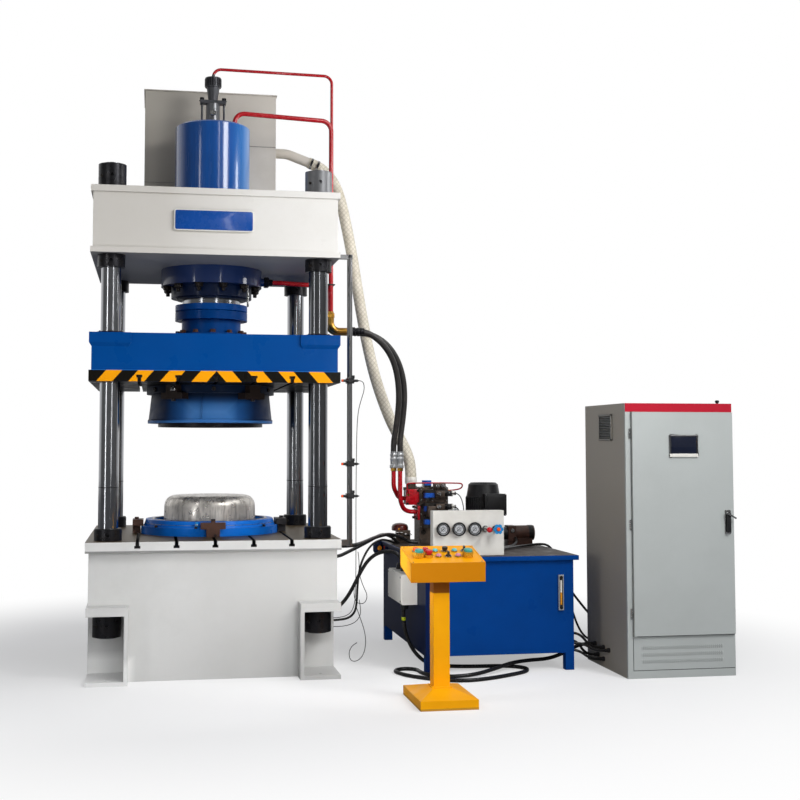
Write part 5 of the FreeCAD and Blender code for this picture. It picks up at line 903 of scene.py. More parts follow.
EXTRA_ROUTES: dict[str, tuple[Point, ...]] = {
    "sensor_wire_black": ((0.962, -0.774, 1.956), (0.988, -0.774, 1.955), (1.000, -0.758, 1.900),
        (0.980, -0.736, 1.830), (0.958, -0.724, 1.740), (0.951, -0.720, 1.557), (0.947, -0.720, 1.152),
        (0.949, -0.712, 0.880), (0.952, -0.690, 0.620), (0.956, -0.640, 0.460), (0.940, -0.560, 0.372),
        (0.880, -0.500, 0.336), (0.810, -0.480, 0.334)),
    "bed_cable_black": ((0.808, -0.500, 0.752), (0.862, -0.496, 0.754), (0.930, -0.450, 0.778),
        (1.040, -0.352, 0.815), (1.130, -0.240, 0.842), (1.190, -0.130, 0.856), (1.262, 0.040, 0.862),
        (1.330, 0.160, 0.850), (1.390, 0.225, 0.820), (1.420, 0.255, 0.790), (1.440, 0.275, 0.774)),
    "branch_cable_black": ((0.808, -0.320, 0.294), (0.880, -0.322, 0.296), (0.960, -0.326, 0.306),
        (1.006, -0.334, 0.350), (1.016, -0.344, 0.430), (1.018, -0.362, 0.560), (1.034, -0.376, 0.680),
        (1.082, -0.336, 0.766), (1.140, -0.226, 0.808), (1.200, -0.100, 0.822), (1.272, 0.060, 0.824),
        (1.336, 0.180, 0.808), (1.390, 0.262, 0.786), (1.420, 0.300, 0.774)),
    "loose_wire_high": ((1.016, -0.388, 0.776), (1.024, -0.394, 0.720), (1.020, -0.402, 0.630),
        (1.048, -0.408, 0.540), (1.084, -0.408, 0.470), (1.058, -0.408, 0.412), (0.996, -0.404, 0.424),
        (0.984, -0.396, 0.500), (0.992, -0.392, 0.556)),
    "loose_wire_low": ((1.028, -0.366, 0.440), (1.044, -0.376, 0.360), (1.018, -0.382, 0.300),
        (0.965, -0.384, 0.270), (0.900, -0.374, 0.258), (0.850, -0.370, 0.258), (0.808, -0.370, 0.262)),
    "loose_wire_loop": ((1.004, -0.366, 0.400), (1.030, -0.398, 0.320), (1.060, -0.410, 0.230),
        (1.070, -0.410, 0.150), (1.056, -0.410, 0.070), (1.014, -0.410, 0.022), (0.962, -0.410, 0.022),
        (0.946, -0.410, 0.080), (0.972, -0.412, 0.134), (1.006, -0.416, 0.150)),
    "lid_cable_long": ((1.950, -0.712, 0.850), (1.946, -0.650, 0.850), (1.962, -0.575, 0.816),
        (2.030, -0.480, 0.788), (2.130, -0.370, 0.787), (2.230, -0.260, 0.787), (2.320, -0.200, 0.788),
        (2.400, -0.190, 0.796), (2.462, -0.210, 0.790), (2.496, -0.250, 0.740), (2.515, -0.300, 0.640),
        (2.545, -0.340, 0.540), (2.600, -0.352, 0.450), (2.655, -0.356, 0.380), (2.723, -0.346, 0.302),
        (2.800, -0.310, 0.240), (2.900, -0.262, 0.206), (3.010, -0.250, 0.200), (3.100, -0.300, 0.200),
        (3.110, -0.400, 0.200), (3.110, -0.488, 0.200)),
    "lid_cable_short": ((1.950, -0.712, 0.810), (1.944, -0.655, 0.808), (1.950, -0.560, 0.790),
        (2.020, -0.430, 0.785), (2.130, -0.290, 0.785), (2.220, -0.150, 0.786), (2.270, -0.070, 0.806),
        (2.280, 0.004, 0.826)),
    "wall_cable_black": ((2.426, -0.440, 0.440), (2.490, -0.440, 0.438), (2.545, -0.445, 0.384),
        (2.572, -0.447, 0.313), (2.596, -0.450, 0.240), (2.640, -0.448, 0.164), (2.710, -0.424, 0.120),
        (2.810, -0.370, 0.100), (2.900, -0.320, 0.100), (2.990, -0.320, 0.100), (3.030, -0.390, 0.100),
        (3.030, -0.488, 0.100)),
    "gland_cable_1": ((2.426, -0.740, 0.180), (2.490, -0.740, 0.180), (2.562, -0.714, 0.072),
        (2.626, -0.714, 0.072)),
    "gland_cable_2": ((2.426, -0.800, 0.238), (2.490, -0.800, 0.238), (2.562, -0.821, 0.137),
        (2.626, -0.821, 0.137)),
    "gland_cable_3": ((2.426, -0.848, 0.176), (2.490, -0.850, 0.176), (2.562, -0.921, 0.132),
        (2.626, -0.921, 0.132)),
    "gland_cable_4": ((2.426, -0.770, 0.118), (2.490, -0.770, 0.118), (2.562, -0.819, 0.058),
        (2.626, -0.819, 0.058)),
    "valve_lead_high": ((1.830, 0.189, 1.153), (1.868, 0.187, 1.160), (1.900, 0.170, 1.130),
        (1.910, 0.135, 1.070), (1.909, 0.100, 0.990), (1.900, 0.080, 0.900), (1.882, 0.062, 0.840),
        (1.850, 0.050, 0.800), (1.800, 0.046, 0.774)),
    "valve_lead_low": ((1.830, 0.189, 1.053), (1.864, 0.184, 1.056), (1.886, 0.160, 1.024),
        (1.890, 0.120, 0.960), (1.880, 0.080, 0.890), (1.850, 0.040, 0.830), (1.800, 0.010, 0.795),
        (1.750, 0.000, 0.774)),
}


THIN_CORDS: tuple[tuple[str, float, float, str, str, str], ...] = (
    # name, diameter, length, stiffness, lay, far end
    ("sensor_wire_black", 0.005, 1.808, "limp", "hanging", "object"),
    ("bed_cable_black", 0.024, 1.059, "medium", "hanging", "object"),
    ("branch_cable_black", 0.016, 1.377, "medium", "hanging", "object"),
    ("loose_wire_high", 0.005, 0.558, "limp", "loose", "bare"),
    ("loose_wire_low", 0.005, 0.362, "limp", "loose", "object"),
    ("loose_wire_loop", 0.005, 0.602, "limp", "loose", "bare"),
    ("lid_cable_long", 0.017, 2.010, "medium", "loose", "object"),
    ("lid_cable_short", 0.020, 0.815, "medium", "loose", "object"),
    ("wall_cable_black", 0.0155, 0.933, "medium", "hanging", "object"),
    ("gland_cable_1", 0.018, 0.240, "medium", "hanging", "object"),
    ("gland_cable_2", 0.018, 0.235, "medium", "hanging", "object"),
    ("gland_cable_3", 0.018, 0.224, "medium", "hanging", "object"),
    ("gland_cable_4", 0.018, 0.221, "medium", "hanging", "object"),
    ("valve_lead_high", 0.007, 0.501, "limp", "loose", "object"),
    ("valve_lead_low", 0.007, 0.430, "limp", "loose", "object"),
)


def cords() -> list[Cord]:
    """List the free hoses and cables of the machine: those of the CAD first, then the thinner ones."""
    return [
        Cord("suction_hose_cream", SUCTION_ROUTE, 0.086, 2.699, HOSE_CREAM, "hose_cream",
             lay="hanging", stands_for=("suction_hose",)),
        Cord("pressure_hose_front_black", FRONT_ROUTE, 0.044, 1.122, HOSE_BLACK, "hose_rubber",
             stiffness="stiff", lay="hanging", stands_for=("pressure_hose_front",)),
        Cord("pressure_hose_rear_black", REAR_ROUTE, 0.044, 1.161, HOSE_BLACK, "hose_rubber",
             stiffness="stiff", lay="hanging", stands_for=("pressure_hose_rear",)),
        Cord("press_cable_black", PRESS_CABLE_ROUTE, 0.026, 1.195, CABLE, "cable_rubber",
             lay="hanging", stands_for=("press_cable",)),
        Cord("junction_cable_black", JUNCTION_CABLE_ROUTE, 0.026, 0.837, CABLE, "cable_rubber",
             lay="hanging", stands_for=("junction_cable",)),
        Cord("floor_cable_black", FLOOR_CABLE_ROUTE, 0.026, 4.183, CABLE, "cable_rubber",
             stands_for=("floor_cable",)),
    ] + [Cord(name, EXTRA_ROUTES[name], diameter, length, CABLE, "cable_rubber", stiffness, lay, far_end)
         for name, diameter, length, stiffness, lay, far_end in THIN_CORDS]


# ---- modelling with operators ----------------------------------------------------------------
FLIP = Matrix.Rotation(math.pi, 4, "X")


def begin() -> None:
    """Deselect everything, so that an operator acts on the new piece alone."""
    bpy.ops.object.select_all(action="DESELECT")


def opened() -> Piece:
    """Go into edit mode on the piece just added, with its size and place written into its mesh."""
    bpy.ops.object.transform_apply(location=True, rotation=True, scale=True)
    bpy.ops.object.mode_set(mode="EDIT")
    return bpy.context.object


def picked(thing: Piece, test: Callable[[Vector, Vector], bool]) -> None:
    """Select the faces of a piece in edit mode.

    Args:
        thing: The piece.
        test: Whether to take a face, from its middle and its normal.
    """
    bpy.ops.mesh.select_mode(type="FACE")
    bpy.ops.mesh.select_all(action="DESELECT")
    mesh = bmesh.from_edit_mesh(thing.data)
    mesh.normal_update()
    for face in mesh.faces:
        if test(face.calc_center_median(), face.normal):
            face.select_set(True)
    bmesh.update_edit_mesh(thing.data)


def corners_picked(thing: Piece, along: int) -> None:
    """Select the edges that run along one axis.

    Args:
        thing: The piece, in edit mode.
        along: 0, 1 or 2 for X, Y or Z.
    """
    bpy.ops.mesh.select_mode(type="EDGE")
    bpy.ops.mesh.select_all(action="DESELECT")
    mesh = bmesh.from_edit_mesh(thing.data)
    for edge in mesh.edges:
        way = (edge.verts[1].co - edge.verts[0].co).normalized()
        edge.select_set(abs(way[along]) > 0.999)
    bmesh.update_edit_mesh(thing.data)


def closed(thing: Piece, name: str, place: Matrix | None = None, smooth: float = 35.0) -> Piece:
    """Leave edit mode with doubles merged, faces outwards, the place in the mesh and round sides smooth.

    Args:
        thing: The piece, in edit mode, at the origin or already in place.
        name: Its name.
        place: Where it goes, if it isn't there yet.
        smooth: Edges below this angle in degrees are shaded smooth.

    Returns:
        The piece.
    """
    bpy.ops.mesh.select_all(action="SELECT")
    bpy.ops.mesh.remove_doubles(threshold=1e-5)
    bpy.ops.mesh.normals_make_consistent(inside=False)
    bpy.ops.object.mode_set(mode="OBJECT")
    thing.name = thing.data.name = name
    if place is not None:
        thing.matrix_world = place @ thing.matrix_world
    bpy.ops.object.transform_apply(location=True, rotation=True, scale=True)
    bpy.ops.object.shade_smooth_by_angle(angle=math.radians(smooth))
    return thing


def block(name: str, low: Point, high: Point, bevel: float = 0.002, corner: float = 0.0, along: int = 1,
          place: Matrix | None = None) -> Piece:
    """Model a block with rounded edges between two corners.

    Args:
        name: Its name.
        low: Low corner.
        high: High corner.
        bevel: Rounding of all edges.
        corner: Larger rounding of the four edges along one axis.
        along: That axis.
        place: A turn or move of the whole block.

    Returns:
        The piece.
    """
    begin()
    size = [b - a for a, b in zip(low, high)]
    middle = [(a + b) / 2 for a, b in zip(low, high)]
    bpy.ops.mesh.primitive_cube_add(size=1.0, location=middle, scale=size)
    thing = opened()
    if corner:
        corners_picked(thing, along)
        bpy.ops.mesh.bevel(offset=corner, segments=5, affect="EDGES")
    bpy.ops.mesh.select_all(action="SELECT")
    if bevel:
        bpy.ops.mesh.bevel(offset=bevel, segments=2, affect="EDGES", clamp_overlap=True)
    return closed(thing, name, place)


def blocks(name: str, spans: Iterable[tuple[Point, Point]], bevel: float = 0.002,
           place: Matrix | None = None) -> Piece:
    """Model several blocks as one piece.

    Args:
        name: Its name.
        spans: Low and high corner of each block.
        bevel: Rounding of all edges.
        place: A turn or move of them all.

    Returns:
        The piece.
    """
    return joined(name, [block(name, low, high, bevel, place=place) for low, high in spans])


def at(x: float, y: float, z: float, axis: Axis = Axis.Z, tilt: float = 0.0) -> Matrix:
    """Place for a piece that is modelled upright at the origin.

    Args:
        x: Place.
        y: Place.
        z: Place.
        axis: The axis that its own Z takes.
        tilt: A further turn about X in radians, after the first.

    Returns:
        The matrix.
    """
    turn = Euler(axis.value).to_matrix().to_4x4()
    return Matrix.Translation((x, y, z)) @ Matrix.Rotation(tilt, 4, "X") @ turn


def facing(x: float, y: float, z: float) -> Matrix:
    """Place for a piece that is modelled upright at the origin and comes to face the front."""
    return at(x, y, z, Axis.Y) @ FLIP


def turned(name: str, steps: Sequence[tuple[float, float]], place: Matrix, sides: int = 28,
           smooth: float = 35.0, flutes: float = 0.0) -> Piece:
    """Turn a piece by extruding and resizing a disc step by step.

    Args:
        name: Its name.
        steps: Radius and height of each step; a falling height sinks the face into the piece.
        place: Where it goes.
        sides: Sides of the disc; 6 makes a hexagon.
        smooth: Smoothing angle in degrees.
        flutes: How far every other side stands proud.

    Returns:
        The piece.
    """
    begin()
    radius, height = steps[0]
    bpy.ops.mesh.primitive_circle_add(vertices=sides, radius=radius, fill_type="NGON", location=(0, 0, height))
    thing = opened()
    bpy.ops.mesh.select_all(action="SELECT")
    for step_radius, step_height in steps[1:]:
        bpy.ops.mesh.extrude_region_move(TRANSFORM_OT_translate={"value": (0, 0, step_height - height)})
        share = step_radius / radius
        bpy.ops.transform.resize(value=(share, share, 1), center_override=(0, 0, step_height))
        radius, height = step_radius, step_height
    if flutes:
        width = max(step[0] for step in steps)

        def every_other(middle: Vector, normal: Vector) -> bool:
            """Take each second face of the widest side."""
            number = round(math.atan2(middle.y, middle.x) / math.tau * sides + 0.5)
            return abs(normal.z) < 0.1 and middle.xy.length > width * 0.96 and number % 2 == 0

        picked(thing, every_other)
        bpy.ops.mesh.extrude_faces_move(TRANSFORM_OT_shrink_fatten={"value": flutes})
    return closed(thing, name, place, smooth)


def copied(piece: Piece, name: str, places: Iterable[Matrix]) -> Piece:
    """Repeat a piece at other places, each copy with its own mesh, and join them.

    Args:
        piece: The piece, modelled at the origin.
        name: Name of the joined piece.
        places: Where the copies go.

    Returns:
        The joined piece.
    """
    twins = []
    for place in places:
        twin = piece.copy()
        twin.data = piece.data.copy()
        twin.data.transform(place)
        bpy.context.collection.objects.link(twin)
        twins.append(twin)
    bpy.data.objects.remove(piece)
    return joined(name, twins)


def joined(name: str, pieces: Sequence[Piece]) -> Piece:
    """Join pieces to one.

    Args:
        name: Name of the joined piece.
        pieces: The pieces.

    Returns:
        The joined piece.
    """
    begin()
    for piece in pieces:
        piece.select_set(True)
    bpy.context.view_layer.objects.active = pieces[0]
    if len(pieces) > 1:
        bpy.ops.object.join()
    whole = bpy.context.object
    whole.name = whole.data.name = name
    return whole


def round_about(count: int, radius: float, height: float, centre: tuple[float, float] = (0.0, 0.0),
                first: float = 0.0) -> list[Matrix]:
    """Places round a vertical axis, each turned to face outwards.

    Args:
        count: How many.
        radius: Their distance from the axis.
        height: Their height.
        centre: The axis in plan.
        first: Angle of the first in degrees.

    Returns:
        The matrices.
    """
    made = []
    for number in range(count):
        angle = math.radians(first + 360 / count * number)
        spot = (centre[0] + radius * math.cos(angle), centre[1] + radius * math.sin(angle), height)
        made.append(Matrix.Translation(spot) @ Matrix.Rotation(angle, 4, "Z"))
    return made


def ring(name: str, inner: float, outer: float, height: float, place: Matrix, sides: int = 40,
         edge: float = 0.001) -> Piece:
    """Model a ring: a disc with its middle bridged through, edges rounded.

    Args:
        name: Its name.
        inner: Inner radius.
        outer: Outer radius.
        height: Its height.
        place: Where it goes.
        sides: Its sides.
        edge: Rounding.

    Returns:
        The piece.
    """
    begin()
    bpy.ops.mesh.primitive_cylinder_add(vertices=sides, radius=outer, depth=height, location=(0, 0, height / 2))
    thing = opened()
    picked(thing, lambda middle, normal: abs(normal.z) > 0.9)
    bpy.ops.mesh.inset(thickness=outer - inner, use_individual=True)
    bpy.ops.mesh.bridge_edge_loops()
    if edge:
        bpy.ops.mesh.select_mode(type="EDGE")
        bpy.ops.mesh.select_all(action="DESELECT")
        bpy.ops.mesh.edges_select_sharp(sharpness=math.radians(50))
        bpy.ops.mesh.bevel(offset=edge, segments=2, affect="EDGES")
    return closed(thing, name, place)


def pipe(name: str, route: Sequence[Point], diameter: float, rounds: int = 3) -> Piece:
    """Bend a rigid pipe along a smooth curve and make it a mesh.

    Args:
        name: Its name.
        route: The curve's control points.
        diameter: Outside diameter.
        rounds: Roundness of its section.

    Returns:
        The piece.
    """
    begin()
    thing = smooth_curve(name, route, diameter, rounds, steps=6)
    thing.select_set(True)
    bpy.context.view_layer.objects.active = thing
    bpy.ops.object.convert(target="MESH")
    bpy.ops.object.mode_set(mode="EDIT")
    return closed(bpy.context.object, name, smooth=60.0)


def hexagon(name: str, across: float, head: float, washer: float = 0.0) -> Piece:
    """Model a hexagon screw head or nut, chamfered, on its washer, standing at the origin.

    Args:
        name: Its name.
        across: Width across the corners.
        head: Height of the head.
        washer: Thickness of the washer, or 0 for none.

    Returns:
        The piece.
    """
    half = across / 2
    made = [turned(name, [(half * 0.94, washer), (half, washer + head * 0.12), (half, washer + head * 0.82),
                          (half * 0.88, washer + head), (half * 0.5, washer + head),
                          (half * 0.45, washer + head * 0.9)], Matrix(), sides=6, smooth=20.0)]
    if washer:
        made.append(turned(name + "_washer", [(half * 1.2, 0.0), (half * 1.2, washer * 0.8), (half * 1.14, washer)],
                           Matrix(), sides=20))
    return joined(name, made)


def socket(name: str, diameter: float, head: float) -> Piece:
    """Model a socket head screw, knurled side left smooth, with its hexagon socket sunk.

    Args:
        name: Its name.
        diameter: Head diameter.
        head: Head height.

    Returns:
        The piece.
    """
    half = diameter / 2
    return turned(name, [(half, 0.0), (half, head * 0.88), (half * 0.9, head), (half * 0.52, head),
                         (half * 0.5, head * 0.45)], Matrix(), sides=18)


def dressed(piece: Piece, finish: Finish, body: str = "frame") -> Piece:
    """Give a new piece its finish and the body that it rides on.

    Args:
        piece: The piece.
        finish: Its finish.
        body: The CAD body.

    Returns:
        The piece.
    """
    piece.data.materials.clear()
    piece.data.materials.append(finish.build())
    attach(piece, body)
    LOG.info("piece %s on %s: %s", piece.name, body, finish.name)
    return piece


# ---- press: crown, cylinder, tank, slide, tooling ----------------------------------------------
@dataclass
class CrownDress:
    """Nameplate, the flange screws and the port nut under the crown."""

    front: float = -0.811
    plate_low: tuple[float, float] = (-0.286, 2.940)
    plate_high: tuple[float, float] = (0.240, 3.082)
    plate_corner: float = 0.018
    flange_bottom: float = 2.660
    screw_ring: float = 0.327
    screws: int = 12

    def build(self) -> None:
        """Make the plate, the flange screws and the port nut."""
        self.nameplate()
        self.flange_screws()
        self.port()

    def nameplate(self) -> None:
        """Fix the bare plate: a cream rim with a blue field set in it."""
        (left, low), (right, high) = self.plate_low, self.plate_high
        rim = block("nameplate_rim", (left, self.front - 0.004, low), (right, self.front + 0.002, high), 0.001,
                    self.plate_corner)
        dressed(rim, PLATE_RIM)
        field_plate = block("nameplate_field", (left + 0.007, self.front - 0.0055, low + 0.007),
                            (right - 0.007, self.front - 0.001, high - 0.007), 0.0008, self.plate_corner - 0.006)
        dressed(field_plate, PLATE_BLUE)

    def flange_screws(self) -> None:
        """Hang hexagon screws with their nuts round the cylinder flange."""
        nut = hexagon("flange_nut", 0.058, 0.026, 0.005)
        stud = turned("flange_stud", [(0.014, 0.0), (0.014, 0.052), (0.011, 0.056)], Matrix(), sides=14)
        hung = joined("flange_screw", [nut, stud])
        places = [place @ FLIP for place in round_about(self.screws, self.screw_ring, self.flange_bottom, first=12)]
        dressed(copied(hung, "cylinder_flange_screws", places), SCREW)
        strip = block("flange_strip", (0.238, -0.256, 2.500), (0.252, -0.246, 2.661), 0.001)
        dressed(strip, PLATED)

    def port(self) -> None:
        """Screw the union nut on the lower cylinder port."""
        nut = turned("port_nut", [(0.040, 0.0), (0.043, 0.004), (0.043, 0.030), (0.036, 0.036), (0.026, 0.036),
                                  (0.026, 0.060), (0.022, 0.064)], at(0.380, 0.0, 2.7092, Axis.X), sides=6, smooth=20)
        dressed(nut, BLACK_STEEL)


@dataclass
class ValveDress:
    """Fluted cap, nuts, seat and side plug of the prefill valve."""

    cylinder_top: float = 3.836
    bridge_top: float = 4.040
    cap_low: float = 4.140
    cap_high: float = 4.210
    cap_radius: float = 0.0570
    post: float = 0.080

    def build(self) -> None:
        """Make the fluted cap, the post nuts, the seat and the side plug."""
        cap = turned("valve_cap_fluted", [(self.cap_radius, self.cap_low + 0.006),
                                          (self.cap_radius, self.cap_high - 0.008),
                                          (self.cap_radius - 0.006, self.cap_high - 0.001)],
                     Matrix(), sides=40, flutes=0.0045, smooth=25)
        dressed(cap, BLACK_STEEL)
        nut = hexagon("valve_nut", 0.036, 0.020, 0.003)
        places = [Matrix.Translation((side * self.post, 0.0, height + 0.0005))
                  for height in (self.bridge_top, self.cylinder_top) for side in (-1, 1)]
        dressed(copied(nut, "valve_post_nuts", places), BLACK_STEEL)
        seat = turned("valve_seat_flange", [(0.086, 0.0), (0.086, 0.020), (0.080, 0.026), (0.060, 0.026),
                                            (0.056, 0.040)], at(0, 0, self.cylinder_top + 0.0004), sides=44)
        dressed(seat, MACHINED)
        cross = turned("valve_side_plug", [(0.020, -0.066), (0.024, -0.062), (0.024, -0.052), (0.018, -0.050)],
                       at(0, 0, 3.940, Axis.Y), sides=6, smooth=20)
        dressed(cross, PLATED)


@dataclass
class HeaderDress:
    """Lines of painted shade along the folds, breather and hose clamps of the overhead tank."""

    front: float = 0.300
    left: float = -0.492
    right: float = 0.492
    top: float = 4.191
    seam: float = 3.788
    low_seam: float = 3.488
    outlet_fall: float = math.atan2(62, 172)

    def build(self) -> None:
        """Make the painted shade lines along the folds, the clamps and the breather."""
        spans = (((0.285, self.seam), (0.39, self.seam + 0.0005), (self.right, self.seam)),
                 ((self.left, self.low_seam), (self.left + 0.11, self.low_seam), (self.left + 0.22, self.low_seam)))
        fold_shade_lines = [pipe("header_fold_shade_line", [(x, self.front - lift, z) for (x, z), lift in zip(span, (0.0, 0.0004, 0.0))],
                      0.006, 2) for span in spans]
        dressed(joined("header_tank_fold_shade_lines", fold_shade_lines), FOLD_SHADE_GREY)
        for number, (x, z) in enumerate(((0.789, 3.7325), (0.838, 3.7135))):
            turn = Matrix.Translation((x, 0.550, z)) @ Matrix.Rotation(math.pi / 2 + self.outlet_fall, 4, "Y")
            band = ring(f"hose_clamp_band_{number}", 0.0432, 0.0455, 0.016, turn, sides=44, edge=0.0006)
            house = block(f"hose_clamp_house_{number}", (-0.014, -0.0600, -0.001), (0.014, -0.044, 0.017), 0.003,
                          place=turn)
            screw = turned(f"hose_clamp_screw_{number}", [(0.0075, 0.014), (0.0075, 0.028), (0.006, 0.030)],
                           turn @ at(0, -0.053, 0.008, Axis.X), sides=6, smooth=20)
            dressed(band, PLATED)
            dressed(joined(f"suction_hose_clamp_{number}", [house, screw]), BLACK_STEEL)
        vent = turned("header_breather", [(0.030, 0.0), (0.034, 0.004), (0.034, 0.014), (0.024, 0.018), (0.024, 0.030),
                                          (0.044, 0.036), (0.046, 0.060), (0.038, 0.070), (0.012, 0.074)],
                      at(0.300, 0.640, self.top - 0.001), sides=36)
        dressed(vent, BLACK_STEEL)


@dataclass
class SlideDress:
    """Screws of the slide and the bolts in its T-slots."""

    top: float = 2.257
    boss: float = 2.317
    screw_ring: float = 0.2385

    def build(self) -> None:
        """Make the neck screws, the wiper ring screws and the T bolts."""
        screw = hexagon("neck_screw", 0.040, 0.020, 0.004)
        dressed(copied(screw, "ram_neck_screws", round_about(12, self.screw_ring, self.boss, first=0)),
                BROWN_SCREW, "ram")
        small = socket("wiper_screw", 0.011, 0.006)
        places = [place for side in (-1, 1) for deep in (-1, 1)
                  for place in round_about(6, 0.0785, self.top + 0.012, (side * 0.692, deep * 0.679), 30)]
        dressed(copied(small, "wiper_ring_screws", places), SCREW, "ram")
        bolts = [((middle - half, front, low), (middle + half, back, high)) for middle in SLOTS
                 for half, front, back, low, high in ((0.0165, -0.815, -0.775, 1.9645, 1.9775),
                                                      (0.0090, -0.813, -0.777, 1.9400, 1.9660))]
        dressed(blocks("slide_t_bolts", bolts, 0.001), SCREW, "ram")


@dataclass
class ToolDress:
    """Screws, seams and rings of the die, the holder and the clamps."""

    holder_step: float = 0.954
    holder_ring: float = 0.4745
    holder_screws: tuple[float, ...] = (-143.4, -103.8, -39.9, 15.0, 75.0, 140.0)

    def build(self) -> None:
        """Make the holder's screws, groove, lip and stud, the clamp's black parts and the die's fittings."""
        screw = socket("holder_screw", 0.022, 0.014)
        places = []
        for angle in self.holder_screws:
            turn = math.radians(angle)
            places.append(Matrix.Translation((self.holder_ring * math.cos(turn), self.holder_ring * math.sin(turn),
                                              self.holder_step)))
        dressed(copied(screw, "holder_screws", places), SCREW)
        groove = ring("holder_groove", 0.4520, 0.4602, 0.0030, at(0, 0, 0.9715), sides=96, edge=0.0008)
        dressed(groove, MACHINED)
        hole = turned("clamp_hole", [(0.0100, 0.0), (0.0100, 0.0012), (0.0070, 0.0016)],
                      facing(0.013, -0.5428, 0.911), sides=24)
        nut = turned("clamp_nut", [(0.0170, 0.0), (0.0175, 0.002), (0.0175, 0.008), (0.0150, 0.010)],
                     at(0.0, -0.515, 1.0118), sides=6, smooth=20)
        dressed(joined("front_clamp_black_parts", [hole, nut]), BLACK_STEEL)
        stud = turned("holder_stud", [(0.0075, 0.0), (0.0075, 0.028), (0.0095, 0.031), (0.0095, 0.041),
                                      (0.0070, 0.044)],
                      at(-0.110, -0.4616, 0.9541), sides=20)
        dressed(stud, WHEEL_BLUE)
        cuff = ring("holder_stud_cuff", 0.0077, 0.0098, 0.004, at(-0.110, -0.4616, 0.978), sides=20, edge=0.0004)
        dressed(cuff, PLATE_RIM)
        lip = ring("holder_inner_lip", 0.3935, 0.408, 0.003, at(0, 0, 0.9998), sides=96, edge=0.001)
        dressed(lip, MACHINED)
        nut = block("square_nut", (-0.0150, -0.0045, -0.0150), (0.0150, 0.0045, 0.0150), 0.002)
        core = turned("nut_core", [(0.0080, 0.0), (0.0080, 0.0056), (0.0060, 0.0060)], facing(0, 0, 0), sides=20)
        dressed(core, BLACK_PLASTIC, "ram")
        core.data.transform(Matrix.Translation((-0.278, -0.4790, 1.908)))
        nut.data.transform(Matrix.Translation((-0.278, -0.4760, 1.908)))
        dressed(nut, PLATED, "ram")
        seam = [(-0.075, -0.4192, 1.880), (-0.0765, -0.4265, 1.830), (-0.078, -0.4340, 1.780),
                (-0.079, -0.4408, 1.730), (-0.0795, -0.4440, 1.705)]
        dressed(pipe("die_weld_seam", seam, 0.009, 2), DIE_BLUE, "ram")
        eye = socket("die_plug", 0.030, 0.010)
        places = [Matrix.Rotation(math.radians(turn), 4, "Z") @ at(0.4555, 0, 1.910, Axis.X)
                  for turn in (-90, -30, 30, 90, 150, 210)]
        dressed(copied(eye, "die_plate_plugs", places), SCREW, "ram")


@dataclass
class ColumnDress:
    """Witness bands on the columns, seals on their collars and set screws of the round nuts."""

    side: float = 0.692
    deep: float = 0.679
    radius: float = 0.065
    band: float = 1.243
    nuts: tuple[tuple[float, float], ...] = ((3.300, 0.091), (2.735, 0.089), (0.935, 0.089), (0.350, 0.091))

    def corners(self) -> list[tuple[float, float]]:
        """Axes of the four columns."""
        return [(side * self.side, deep * self.deep) for side in (-1, 1) for deep in (-1, 1)]

    def build(self) -> None:
        """Make the bands, the seals on the collars and the set screws."""
        line = ring("witness", self.radius + 0.0001, self.radius + 0.0009, 0.005, Matrix(), sides=64, edge=0.0)
        places = [Matrix.Translation((x, y, self.band)) for x, y in self.corners()]
        dressed(copied(line, "column_witness_bands", places), BLACK_PLASTIC)
        seal = ring("seal", self.radius + 0.0002, 0.0865, 0.007, Matrix(), sides=64, edge=0.002)
        places = [Matrix.Translation((x, y, 0.9718)) for x, y in self.corners()]
        dressed(copied(seal, "bed_collar_seals", places), BLACK_PLASTIC)
        screw = socket("nut_screw", 0.020, 0.006)
        places = []
        for x, y in self.corners():
            for height, radius in self.nuts:
                for turn in (45, 225):
                    places.append(Matrix.Translation((x, y, height)) @ Matrix.Rotation(math.radians(turn), 4, "Z")
                                  @ at(radius, 0, 0, Axis.X))
        dressed(copied(screw, "tie_nut_set_screws", places), SCREW)


